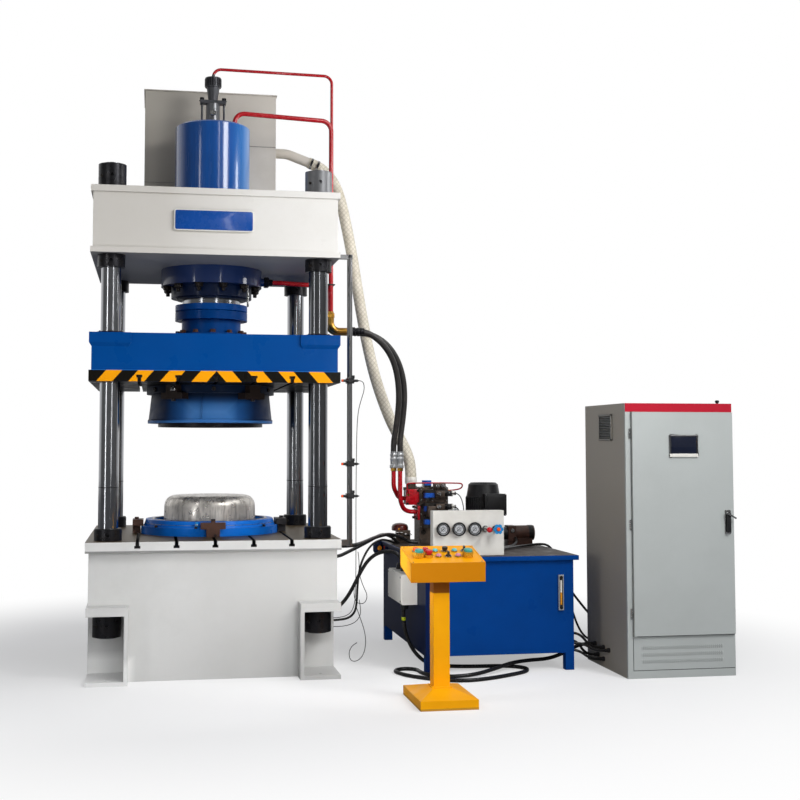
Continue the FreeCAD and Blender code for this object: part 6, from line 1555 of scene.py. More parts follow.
# ---- power unit --------------------------------------------------------------------------------
@dataclass
class PipeDress:
    """Union nuts, crimped hose ends and the clamp of the red pipes."""

    side: float = 0.872
    rows: tuple[float, float] = (-0.030, 0.096)
    pipe_end: float = 2.466
    elbow_end: float = 1.032
    elbow_low: float = 2.360
    ferrules: tuple[float, float] = (1.384, 1.434)

    def build(self) -> None:
        """Make the nuts, the crimped ends and the clamp."""
        nuts, ends = [], []
        for row in self.rows:
            nuts.append(turned("elbow_nut", [(0.024, 0.0), (0.029, 0.003), (0.029, 0.034), (0.022, 0.038),
                                             (0.022, 0.048)],
                               at(self.side, row, self.pipe_end - 0.012), sides=6, smooth=20))
            ends.append(turned("hose_end", [(0.026, 0.0), (0.030, 0.003), (0.030, 0.022), (0.024, 0.026),
                                            (0.0238, 0.034), (0.0262, 0.038), (0.0262, 0.050), (0.0238, 0.054),
                                            (0.0238, 0.060), (0.0262, 0.064), (0.0262, 0.076), (0.0238, 0.080),
                                            (0.0238, 0.086), (0.0258, 0.090)],
                               at(self.elbow_end - 0.004, row, self.elbow_low, Axis.X), sides=28))
        dressed(joined("elbow_union_nuts", nuts), BRASS)
        dressed(joined("hose_end_crimps_upper", ends), BLACK_STEEL)
        crimp = turned("lower_crimp", [(0.026, 0.0), (0.030, 0.003), (0.030, 0.022), (0.0246, 0.026), (0.0246, 0.060),
                                       (0.0266, 0.064), (0.0266, 0.076), (0.0246, 0.080), (0.0246, 0.090),
                                       (0.0266, 0.094), (0.0266, 0.106), (0.0246, 0.110), (0.0232, 0.124)], Matrix(),
                       sides=28)
        spots = [Matrix.Translation((x, 0.190, 1.348)) for x in self.ferrules]
        dressed(copied(crimp, "hose_end_crimps_lower", spots), ALUMINIUM)
        nut = turned("lower_nut", [(0.0225, 0.0), (0.0240, 0.002), (0.0240, 0.022), (0.0225, 0.024)], Matrix(), sides=6,
                     smooth=20)
        spots = [Matrix.Translation((x, 0.190, 1.325)) for x in self.ferrules]
        dressed(copied(nut, "hose_end_nuts_lower", spots), BRASS)
        clamp = block("pipe_clamp", (0.826, -0.056, 2.696), (0.900, 0.122, 2.704), 0.002)
        dressed(clamp, BLACK_PLASTIC)


@dataclass
class PoleDress:
    """Faces, screws, light and tails of the three sensors, and the pole's cap."""

    side: float = 0.900
    front: float = -0.740
    heights: tuple[float, float, float] = (1.181, 1.396, 1.956)

    def build(self) -> None:
        """Make the screws, sensing faces, tails, the red light and the pole's cap."""
        faces, screws, tails = [], [], []
        for height in self.heights:
            faces.append(turned("sensing_face", [(0.0088, 0.0), (0.0088, 0.010), (0.0070, 0.012)],
                                at(self.side - 0.050, self.front - 0.034, height, Axis.X)
                                @ FLIP, sides=20))
            screws.append(turned("clamp_screw", [(0.006, 0.0), (0.006, 0.007), (0.0032, 0.007), (0.003, 0.003)],
                                 at(self.side - 0.010, self.front - 0.026, height + 0.0168), sides=14))
            tails.append(turned("sensor_tail", [(0.0090, 0.0), (0.0090, 0.008), (0.0050, 0.011), (0.0035, 0.020)],
                                at(self.side + 0.041, self.front - 0.034, height, Axis.X), sides=18))
        top = self.heights[-1]
        light = block("sensor_light_red", (self.side - 0.024, self.front - 0.0400, top + 0.0085),
                      (self.side - 0.014, self.front - 0.0280, top + 0.0105), 0.0008)
        dressed(joined("sensor_faces", faces), ORANGE_CAP)
        dressed(joined("sensor_screws", screws), PLATED)
        dressed(joined("sensor_tails", tails), BLACK_PLASTIC)
        dressed(light, RED_CAP)
        cap = turned("pole_cap", [(0.0195, 0.0), (0.0195, 0.014), (0.014, 0.022), (0.004, 0.024)],
                     at(self.side, self.front, 2.7946), sides=28)
        dressed(cap, BLACK_PLASTIC)


@dataclass
class ManifoldDress:
    """Flanges, plugs, connectors, fittings and thin pipes of the valve manifold."""

    left: float = 1.598
    right: float = 1.820
    front: float = 0.2502
    top: float = 1.1975

    def build(self) -> None:
        """Make everything that is screwed to the manifold."""
        red = [block("inlet_flange", (1.494, 0.262, 1.066), (1.600, 0.282, 1.186), 0.003),
               block("lower_flange", (self.left - 0.018, 0.236, 0.952), (self.left + 0.0005, 0.386, 1.060), 0.004)]
        dressed(joined("manifold_red_flanges", red), PIPE_RED)
        screw = socket("flange_screw", 0.019, 0.014)
        spots = [facing(x, 0.2622, z) for x in (1.506, 1.588) for z in (1.078, 1.174)]
        spots += [at(self.left - 0.0178, y, z, Axis.X) @ FLIP for y in (0.250, 0.372) for z in (0.966, 1.046)]
        dressed(copied(screw, "manifold_flange_screws", spots), SCREW)
        cuff = turned("suction_cuff", [(0.0455, 0.0), (0.0465, 0.003), (0.0465, 0.046), (0.0448, 0.050)],
                      at(1.548, 0.335, 1.226), sides=40)
        dressed(cuff, PLATE_RIM)
        plug = turned("manifold_plug", [(0.0190, 0.0), (0.0190, 0.007), (0.0165, 0.010), (0.0085, 0.010),
                                        (0.0080, 0.003)], Matrix(), sides=24)
        spots = [facing(x, self.front, z) for x, z in ((1.635, 1.155), (1.795, 0.960), (1.795, 0.860), (1.625, 0.860),
                                                       (1.625, 1.060))]
        spots += [at(self.right - 0.0002, y, z, Axis.X) for y, z in ((0.30, 1.05), (0.38, 1.12), (0.30, 0.90))]
        dressed(copied(plug, "manifold_plugs", spots), SCREW)
        self.cartridges()
        self.valves()
        self.pipes()

    def cartridges(self) -> None:
        """Screw the plated cartridges, the grey side blocks and their bolts to the manifold's front."""
        sides = blocks("manifold_side_blocks", (((1.700, 0.196, 1.186), (1.790, 0.2505, 1.232)),
                                                ((1.705, 0.150, 1.128), (1.772, 0.1905, 1.176)),
                                                ((1.705, 0.150, 1.030), (1.772, 0.1905, 1.078))), 0.003)
        dressed(sides, DARK_STEEL)
        nut = turned("cartridge", [(0.0150, 0.0), (0.0165, 0.002), (0.0165, 0.014), (0.0110, 0.017), (0.0110, 0.030),
                                   (0.0080, 0.033)], Matrix(), sides=6, smooth=20)
        spots = [facing(x, y, z) for x, y, z in ((1.726, 0.1502, 1.152), (1.726, 0.1502, 1.054),
                                                               (1.762, 0.1962, 1.209), (1.724, 0.1962, 1.209))]
        spots += [at(x, y, self.top) for x, y in ((1.640, 0.300), (1.735, 0.330), (1.790, 0.300))]
        dressed(copied(nut, "manifold_cartridges", spots), PLATED)
        bolt = socket("manifold_bolt", 0.012, 0.008)
        spots = [facing(x, self.front, z) for x in (1.608, 1.698, 1.808) for z in (0.80, 0.90, 1.00, 1.10, 1.185)]
        spots += [at(x, y, self.top) for x in (1.612, 1.700, 1.806) for y in (0.262, 0.438)]
        dressed(copied(bolt, "manifold_bolts", spots), PLATED)

    def valves(self) -> None:
        """Dress the three valves: white coil ends, connectors, nuts; and the relief valve beside them."""
        ends, nuts, heads = [], [], []
        for height in (1.124, 1.024, 0.924):
            middle = height + 0.029
            ends.append(turned("coil_end", [(0.0225, 0.0), (0.0235, 0.002), (0.0235, 0.010), (0.0120, 0.014),
                                            (0.0110, 0.024)], at(1.838, 0.220, middle, Axis.X), sides=28))
            nuts.append(turned("coil_nut", [(0.0150, 0.0), (0.0150, 0.010), (0.012, 0.012)],
                               at(1.862, 0.220, middle, Axis.X), sides=6, smooth=20))
            heads.append(block("coil_connector", (1.796, 0.176, middle - 0.016), (1.830, 0.202, middle + 0.018), 0.004))
            nuts.append(turned("connector_screw", [(0.0045, 0.0), (0.0045, 0.004), (0.003, 0.005)],
                               facing(1.813, 0.176, middle), sides=12))
        dressed(joined("valve_coil_ends", ends), PLATE_RIM)
        dressed(joined("valve_coil_nuts", nuts), PLATED)
        dressed(joined("valve_connectors", heads), BLACK_PLASTIC)
        body = block("relief_block", (1.640, 0.150, 0.985), (1.716, 0.192, 1.060), 0.004)
        dressed(body, DARK_STEEL)
        tail = turned("relief_cylinder", [(0.024, 0.0), (0.026, 0.003), (0.026, 0.036), (0.020, 0.040),
                                          (0.020, 0.060), (0.028, 0.064), (0.028, 0.088), (0.022, 0.094),
                                          (0.009, 0.094), (0.008, 0.110)],
                      at(1.8195, 0.300, 1.010, Axis.X), sides=32)
        dressed(tail, ALUMINIUM)

    def pipes(self) -> None:
        """Bend the thin red pilot pipe round the manifold and screw it in."""
        loop = pipe("pilot_loop", [(1.512, 0.240, 1.150), (1.500, 0.232, 1.190), (1.490, 0.225, 1.228),
                                   (1.540, 0.215, 1.234), (1.880, 0.215, 1.232), (1.930, 0.225, 1.226),
                                   (1.925, 0.240, 1.190), (1.870, 0.260, 1.176), (1.8195, 0.270, 1.172)], 0.011, 2)
        dressed(loop, PIPE_RED)
        nut = turned("pilot_nut", [(0.0105, 0.0), (0.0105, 0.012), (0.008, 0.014)], Matrix(), sides=6, smooth=20)
        spots = [at(1.8195, 0.270, 1.172, Axis.X), facing(1.512, 0.262, 1.144)]
        dressed(copied(nut, "pilot_pipe_nuts", spots), BRASS)


@dataclass
class MotorDress:
    """Cooling fins, fan grille, terminal box lid and flange screws of the motor, and the feed pump's ends."""

    x: float = 2.062
    y: float = 0.120
    fin_low: float = 0.872
    fin_high: float = 1.126
    fins: int = 44
    radius: float = 0.128
    pump_axis: float = 0.860

    def build(self) -> None:
        """Make the fins, the grille, the box lid, the gland, the screws and the pump's caps."""
        fin = block("fin", (self.radius - 0.002, -0.0015, self.fin_low), (self.radius + 0.0058, 0.0015, self.fin_high),
                    0.0008)
        middle = Matrix.Translation((self.x, self.y, 0))
        places = [middle @ Matrix.Rotation(math.tau / self.fins * number, 4, "Z") for number in range(self.fins)
                  if not 21 < number * 360 / self.fins - 255 < 70]
        dressed(copied(fin, "motor_cooling_fins", places), MOTOR_BLACK)
        bands = [ring("cowl_lip", 0.1285, 0.1315, 0.012, at(self.x, self.y, 1.124), sides=56, edge=0.001),
                 ring("grille_rim", 0.092, 0.0985, 0.003, at(self.x, self.y, 1.2342), sides=56, edge=0.001)]
        for radius in (0.046, 0.058, 0.070, 0.082):
            bands.append(ring("grille_ring", radius - 0.0014, radius + 0.0014, 0.0025, at(self.x, self.y, 1.2335),
                              sides=40, edge=0.0))
        for number in range(6):
            bands.append(block("grille_spoke", (0.038, -0.002, 1.2330), (0.094, 0.002, 1.2362), 0.0008,
                               place=middle @ Matrix.Rotation(math.pi / 3 * number, 4, "Z")))
        dressed(joined("motor_fan_grille", bands), MOTOR_BLACK)
        lid = block("terminal_lid", (2.020, -0.094, 0.998), (2.184, -0.080, 1.160), 0.004, 0.010)
        ridge = block("terminal_ridge", (2.034, -0.099, 1.012), (2.170, -0.092, 1.146), 0.004, 0.008)
        dressed(joined("terminal_box_lid", [lid, ridge]), MOTOR_BLACK)
        screw = socket("box_screw", 0.010, 0.006)
        spots = [facing(x, -0.0935, z) for x in (2.028, 2.176)
                 for z in (1.006, 1.152)]
        dressed(copied(screw, "terminal_box_screws", spots), PLATED)
        gland = turned("motor_gland", [(0.016, 0.0), (0.018, 0.003), (0.018, 0.016), (0.012, 0.020), (0.011, 0.034)],
                       at(2.098, -0.030, 0.9990) @ FLIP, sides=6, smooth=20)
        dressed(gland, BLACK_PLASTIC)
        foot = hexagon("motor_screw", 0.026, 0.012, 0.002)
        dressed(copied(foot, "motor_flange_screws", round_about(8, 0.109, 0.790, (self.x, self.y), 10)), SCREW)
        caps = [turned("feed_cap", [(0.0575, 0.0), (0.0585, 0.003), (0.0585, 0.034), (0.052, 0.040), (0.030, 0.044)],
                       at(2.388, 0.060, self.pump_axis, Axis.X), sides=36),
                turned("feed_front", [(0.030, -0.012), (0.046, -0.010), (0.0465, 0.004), (0.0465, 0.026)],
                       at(2.196, 0.060, self.pump_axis, Axis.X), sides=36)]
        dressed(joined("feed_pump_caps", caps), MOTOR_BLACK)
        spot = turned("feed_plug", [(0.016, 0.0), (0.016, 0.008), (0.012, 0.010), (0.007, 0.010), (0.006, 0.005)],
                      facing(2.256, 0.0042, 0.880), sides=6, smooth=20)
        dressed(spot, PLATED)


@dataclass
class GaugeDress:
    """Bezels, dials, marks and numbers of the gauges, and what is screwed to the panel."""

    centres: tuple[float, float, float] = (1.531, 1.641, 1.751)
    height: float = 0.954
    front: float = -0.814
    first_mark: float = 225.0
    sweep: float = 270.0
    marks: int = 21

    def build(self) -> None:
        """Make the gauges and the fittings of the knob and the wheel."""
        for number, x in enumerate(self.centres, start=1):
            self.gauge(number, x)
        self.controls()

    def gauge(self, number: int, x: float) -> None:
        """Make one gauge's bezel, dial and print.

        Args:
            number: Which gauge.
            x: Its axis.
        """
        place = at(x, self.front, self.height, Axis.Y)
        rim = ring(f"gauge_bezel_{number}", 0.0368, 0.0468, 0.011, place @ Matrix.Translation((0, 0, -0.0045)),
                   sides=56, edge=0.0028)
        dressed(rim, MOTOR_BLACK)
        dial = turned(f"gauge_dial_{number}", [(0.0366, 0.0), (0.0366, 0.0008), (0.0340, 0.0010)],
                      facing(x, self.front + 0.0062, self.height), sides=48)
        dressed(dial, DIAL)
        print_y = self.front + 0.0050
        ink = [ring(f"dial_arc_{number}", inner, outer, 0.0003, at(x, print_y, self.height, Axis.Y), sides=56, edge=0.0)
               for inner, outer in ((0.0285, 0.0336), (0.0115, 0.0145))]
        tick = block(f"dial_tick_{number}", (-0.0004, 0.0, 0.0262), (0.0004, 0.0003, 0.0308), 0.0)
        places = []
        for mark in range(self.marks):
            turn = math.radians(self.first_mark - self.sweep / (self.marks - 1) * mark - 90)
            bold = Matrix.Diagonal((2.2, 1, 1, 1)) if mark % 5 == 0 else Matrix()
            places.append(Matrix.Translation((x, print_y, self.height)) @ Matrix.Rotation(-turn, 4, "Y") @ bold)
        ink.append(copied(tick, f"dial_ticks_{number}", places))
        for mark in range(5):
            turn = math.radians(self.first_mark - self.sweep / 4 * mark)
            ink.append(self.numeral(str(mark * 10), x + 0.0205 * math.cos(turn), print_y,
                                    self.height + 0.0205 * math.sin(turn)))
        dressed(joined(f"gauge_print_{number}", ink), DIAL_INK)

    def numeral(self, text: str, x: float, y: float, z: float) -> Piece:
        """Print a number of the scale.

        Args:
            text: The number.
            x: Its middle.
            y: Its plane.
            z: Its middle.

        Returns:
            The number as a mesh.
        """
        begin()
        bpy.ops.object.text_add()
        words = bpy.context.object
        words.data.body, words.data.size = text, 0.0085
        words.data.align_x, words.data.align_y = "CENTER", "CENTER"
        words.data.extrude = 0.00012
        bpy.ops.object.convert(target="MESH")
        mark = bpy.context.object
        mark.matrix_world = Matrix.Translation((x, y, z)) @ Matrix.Rotation(math.pi / 2, 4, "X")
        bpy.ops.object.transform_apply(location=True, rotation=True, scale=True)
        return mark

    def controls(self) -> None:
        """Cap the relief knob and the handwheel and ring their stems."""
        ball = turned("relief_ball", [(0.0175, 0.0), (0.0190, 0.006), (0.0185, 0.014), (0.0150, 0.020),
                                      (0.0090, 0.0245), (0.0020, 0.0260)], facing(1.826, -0.904, self.height), sides=32,
                      smooth=50)
        dressed(ball, RED_CAP, "relief_knob")
        stem = turned("relief_stem", [(0.0200, 0.0), (0.0220, 0.002), (0.0220, 0.012), (0.0165, 0.016), (0.0165, 0.052),
                                      (0.0140, 0.056), (0.0140, 0.094)],
                      facing(1.826, -0.7902, self.height), sides=32)
        dressed(stem, PLATED)
        nut = turned("panel_lock_nuts", [(0.022, 0.0), (0.024, 0.003), (0.024, 0.014), (0.018, 0.018),
                                         (0.011, 0.018)], facing(1.900, -0.7902, self.height), sides=6, smooth=20)
        dressed(nut, BLACK_STEEL)
        hub = turned("wheel_cap", [(0.0130, 0.0), (0.0130, 0.003), (0.0105, 0.0055), (0.0060, 0.0062)],
                     facing(1.900, -0.8735, self.height), sides=28)
        dressed(hub, ORANGE_CAP, "shutoff_wheel")


@dataclass
class TankDress:
    """Sight gauge, junction box cover, lugs, filler and return filter of the reservoir."""

    front: float = -0.870
    lid_top: float = 0.774
    gauge: tuple[float, float] = (2.316, 2.352)
    gauge_low: float = 0.404
    gauge_high: float = 0.642
    box_low: Point = (1.290, -0.606, 0.426)
    box_high: Point = (1.394, -0.122, 0.634)

    def build(self) -> None:
        """Make the gauge, the cover, the bushes, the lid's rim and its fittings."""
        self.sight()
        self.junction()
        bush = ring("lug_bush", 0.0125, 0.0178, 0.019, Matrix(), sides=28, edge=0.001)
        spots = [at(x, y, 0.730, Axis.X) for x in (1.3765, 2.4245) for y in (-0.750, 0.540)]
        dressed(copied(bush, "lug_bushes_orange", spots), ORANGE_CAP)
        rim = [((left, front, 0.742), (right, back, 0.7735)) for left, right, front, back in (
            (1.366, 2.4545, -0.9005, -0.8965), (2.4525, 2.4565, -0.9000, 0.6900), (1.3635, 1.3675, -0.9000, 0.6900))]
        dressed(blocks("lid_folded_rim", rim, 0.001), TANK_BLUE)
        # The lug plate is painted navy as shade, like the tank's end plate.
        lug = block("lid_lug_plate", (1.3000, 0.595, 0.668), (1.3940, 0.607, 0.7700), 0.002, 0.034, 1)
        dressed(lug, NAVY)
        eye = turned("lid_lug_plug", [(0.0170, 0.0), (0.0180, 0.002), (0.0180, 0.008), (0.0150, 0.011),
                                      (0.0060, 0.012)],
                     facing(1.3500, 0.5955, 0.716), sides=28)
        dressed(eye, AMBER_CAP)
        filler = [turned("filler_neck", [(0.062, 0.0), (0.062, 0.010), (0.048, 0.014), (0.048, 0.060)],
                         at(2.200, 0.430, self.lid_top), sides=40),
                  turned("filler_cap", [(0.056, 0.056), (0.060, 0.060), (0.060, 0.100), (0.052, 0.110), (0.020, 0.114)],
                         at(2.200, 0.430, self.lid_top), sides=40, flutes=0.002)]
        dressed(joined("filler_breather", filler), BLACK_STEEL)
        self.return_filter()

    def return_filter(self) -> None:
        """Stand the return filter on the lid, with its plug and the connectors on their block."""
        x, y = 1.478, 0.420
        neck = turned("filter_neck", [(0.050, 0.0), (0.050, 0.010), (0.034, 0.014), (0.034, 0.090)],
                      at(x, y, self.lid_top), sides=36)
        head = block("filter_block", (1.438, 0.358, self.lid_top - 0.001), (1.548, 0.388, 0.868), 0.004)
        dressed(joined("return_filter_neck", [neck, head]), DARK_STEEL)
        cap = turned("return_filter_cap", [(0.056, 0.0), (0.064, 0.006), (0.064, 0.030), (0.056, 0.046),
                                           (0.034, 0.056), (0.010, 0.059)], at(x, y, 0.862), sides=44, smooth=50)
        dressed(cap, FILTER_BROWN)
        plug = turned("filter_plug", [(0.0150, 0.0), (0.0160, 0.003), (0.0160, 0.010), (0.0100, 0.014)],
                      facing(1.468, 0.372, 0.878), sides=20)
        dressed(plug, AMBER_CAP)
        ends = []
        for left, height, long in ((1.430, 0.851, 0.056), (1.494, 0.837, 0.060), (1.458, 0.806, 0.030)):
            ends.append(turned("lid_connector", [(0.0070, 0.0), (0.0090, 0.002), (0.0090, long * 0.6),
                                                 (0.0065, long * 0.66), (0.0065, long)],
                               at(left, 0.3500, height, Axis.X), sides=16))
        dressed(joined("lid_connectors", ends), PLATED)

    def sight(self) -> None:
        """Fit the sight tube, its oil, rails and screws."""
        middle = sum(self.gauge) / 2
        y = self.front - 0.0100
        low, high = self.gauge_low + 0.037, self.gauge_high - 0.037
        half = (low + high) / 2
        oil = turned("sight_oil", [(0.0065, low), (0.0065, half)], at(middle, y, 0), sides=20)
        dressed(oil, OIL_AMBER)
        tube = turned("sight_tube_empty", [(0.0065, half + 0.0002), (0.0065, high)], at(middle, y, 0), sides=20)
        dressed(tube, PLATE_RIM)
        screw = turned("sight_screw", [(0.0115, 0.0), (0.0115, 0.005), (0.0090, 0.0075), (0.0050, 0.0075),
                                       (0.0045, 0.0040)], Matrix(), sides=20)
        spots = [facing(middle, self.front - 0.0138, z) for z in (self.gauge_low + 0.018, self.gauge_high - 0.018)]
        dressed(copied(screw, "sight_gauge_screws", spots), SCREW)
        rails = [((x - 0.0015, self.front - 0.0175, low - 0.004), (x + 0.0015, self.front - 0.0135, high + 0.004))
                 for x in (middle - 0.012, middle + 0.012)]
        dressed(blocks("sight_gauge_rails", rails, 0.0008), ALUMINIUM)

    def junction(self) -> None:
        """Cover the junction box, with its screws and glands."""
        low, high = self.box_low, self.box_high
        cover = block("junction_cover", (low[0] - 0.010, low[1] + 0.006, low[2] + 0.006),
                      (low[0] + 0.001, high[1] - 0.006, high[2] - 0.006), 0.003, 0.012, 0)
        dressed(cover, LIGHT_GREY)
        screw = turned("cover_screw", [(0.0080, 0.0), (0.0080, 0.002), (0.0060, 0.004), (0.0022, 0.004),
                                       (0.0020, 0.002)], Matrix(), sides=18)
        spots = [at(low[0] - 0.0098, y, z, Axis.X) @ FLIP for y in (low[1] + 0.022, high[1] - 0.022)
                 for z in (low[2] + 0.022, high[2] - 0.022)]
        dressed(copied(screw, "junction_cover_screws", spots), PLATED)
        gland = turned("gland", [(0.020, 0.0), (0.022, 0.003), (0.022, 0.014), (0.019, 0.018), (0.019, 0.030),
                                 (0.0150, 0.036), (0.0138, 0.044)], Matrix(), sides=6, smooth=20)
        spots = [at(1.342, -0.380, high[2] - 0.0004), at(1.342, -0.220, high[2] - 0.0004),
                 at(1.306, -0.560, low[2] + 0.0004) @ FLIP, at(1.342, -0.470, low[2] + 0.0004) @ FLIP]
        dressed(copied(gland, "junction_box_glands", spots), BLACK_PLASTIC)
        sleeve = ring("floor_cable_sleeve", 0.0133, 0.0155, 0.022, at(1.3070, -0.560, 0.318), sides=24, edge=0.001)
        dressed(sleeve, LEAD_GREEN)


# ---- pedestal and cabinet ----------------------------------------------------------------------
class Row(Enum):
    """Distance of a row of controls from the panel's rear edge."""

    BACK = 0.110
    FRONT = 0.207


@dataclass
class DeskDress:
    """Caps, collars, lenses and edges on the push-button box."""

    first: float = 1.158
    pitch: float = 0.060
    back: float = -1.549
    height: float = 0.904
    slope: float = math.atan2(73, 316)

    def spot(self, column: int, row: Row, above: float = 0.0) -> Matrix:
        """Place of a control on the slanted panel.

        Args:
            column: Its column from the left.
            row: Its row.
            above: Height over the panel.

        Returns:
            The matrix.
        """
        along = row.value
        base = at(self.first + self.pitch * column, self.back - along * math.cos(self.slope),
                  self.height - along * math.sin(self.slope), tilt=self.slope)
        return base @ Matrix.Translation((0, 0, above))

    def build(self) -> None:
        """Make the caps of the controls, the lenses and the box's edges."""
        for name, body, column, finish, slot in (
                ("orange_cap", "orange_button", 0, ORANGE_CAP, "orange_plastic"),
                ("red_cap", "red_button", 1, RED_CAP, "red_plastic"),
                ("black_cap", "black_button", 3, BLACK_PLASTIC, "black_plastic")):
            rise = 0.030 if column == 3 else 0.026
            cap = turned(name, [(0.0171, rise - 0.008), (0.0173, rise - 0.003), (0.0168, rise + 0.0003),
                                (0.0145, rise + 0.0014), (0.0120, rise + 0.0010), (0.0040, rise + 0.0006)],
                         self.spot(column, Row.BACK), sides=32, smooth=50)
            dressed(cap, finish, body)
        for name, body, column in (("left_palm_dome", "left_palm_button", 0),
                                   ("right_palm_dome", "right_palm_button", 5)):
            dome = turned(name, [(0.0200, 0.0330), (0.0254, 0.0345), (0.0257, 0.0400), (0.0254, 0.0455),
                                 (0.0238, 0.0470), (0.0150, 0.0482), (0.0050, 0.0486)],
                          self.spot(column, Row.FRONT), sides=40, smooth=60)
            dressed(dome, TEAL_CAP, body)
            cup = ring(name + "_cup", 0.0285, 0.0325, 0.034, self.spot(column, Row.FRONT, 0.0002), sides=48,
                       edge=0.001)
            dressed(cup, COLLAR_GOLD)
        stop = turned("stop_dome", [(0.0170, 0.0280), (0.0212, 0.0300), (0.0216, 0.0360), (0.0212, 0.0416),
                                    (0.0195, 0.0430), (0.0100, 0.0438), (0.0040, 0.0440)],
                      self.spot(1, Row.FRONT), sides=36, smooth=60)
        dressed(stop, RED_CAP, "emergency_stop")
        cup = ring("stop_cup", 0.0235, 0.0262, 0.018, self.spot(1, Row.FRONT, 0.0002), sides=40, edge=0.001)
        dressed(cup, COLLAR_GOLD)
        self.rings()
        self.selectors()
        self.edges()

    def rings(self) -> None:
        """Ring every control and dome every lamp."""
        collar = ring("control_ring", 0.0176, 0.0208, 0.0075, Matrix(), sides=32, edge=0.0015)
        spots = [self.spot(column, Row.BACK, 0.0002) for column in (0, 1, 3, 5)]
        spots += [self.spot(3, Row.FRONT, 0.0002)]
        dressed(copied(collar, "control_rings", spots), PLATED)
        lens = turned("lens", [(0.0140, 0.006), (0.0152, 0.010), (0.0150, 0.015), (0.0120, 0.0185), (0.0060, 0.0200)],
                      Matrix(), sides=32, smooth=60)
        spots = [self.spot(column, row) for column in (2, 4) for row in (Row.BACK, Row.FRONT)]
        dressed(copied(lens, "lamp_lenses", spots), LAMP_CYAN)
        bezel = ring("bezel", 0.0154, 0.0185, 0.0090, Matrix(), sides=32, edge=0.0015)
        spots = [self.spot(column, row, 0.0002) for column in (2, 4) for row in (Row.BACK, Row.FRONT)]
        dressed(copied(bezel, "lamp_bezels", spots), PLATED)

    def selectors(self) -> None:
        """Give each selector its waisted handle with a white mark."""
        for name, column, row in (("rear_selector", 5, Row.BACK), ("front_selector", 3, Row.FRONT)):
            spot = self.spot(column, row)
            skirt = turned(name + "_skirt", [(0.0148, 0.0045), (0.0150, 0.010), (0.0138, 0.014), (0.0100, 0.0155)],
                           spot, sides=32)
            grip = block(name + "_grip", (-0.0052, -0.0138, 0.012), (0.0052, 0.0138, 0.0342), 0.0022, place=spot)
            dressed(joined(name + "_handle", [skirt, grip]), BLACK_PLASTIC, name)
            mark = block(name + "_mark", (-0.0010, 0.0020, 0.0338), (0.0010, 0.0125, 0.0348), 0.0003, place=spot)
            dressed(mark, DIAL, name)

    def edges(self) -> None:
        """Edges and screws of the pedestal's lid and the flange of its post."""
        tilt = at(1.312, self.back, self.height, tilt=self.slope)
        lid = [((left, front, -0.004), (right, back, 0.0022)) for left, right, front, back in (
            (-0.2252, -0.2170, -0.3245, 0.0), (0.2170, 0.2252, -0.3245, 0.0), (-0.2252, 0.2252, -0.0082, 0.0),
            (-0.2252, 0.2252, -0.3245, -0.3163))]
        dressed(blocks("desk_lid_edges", lid, 0.001, tilt), YELLOW)
        screw = socket("desk_screw", 0.007, 0.003)
        spots = [tilt @ Matrix.Translation((x, y, 0.0002)) for x in (-0.208, 0.208) for y in (-0.020, -0.305)]
        dressed(copied(screw, "desk_screws", spots), PLATED)
        collar = block("post_flange", (1.228, -1.789, 0.0905), (1.352, -1.665, 0.0985), 0.002)
        dressed(collar, YELLOW)


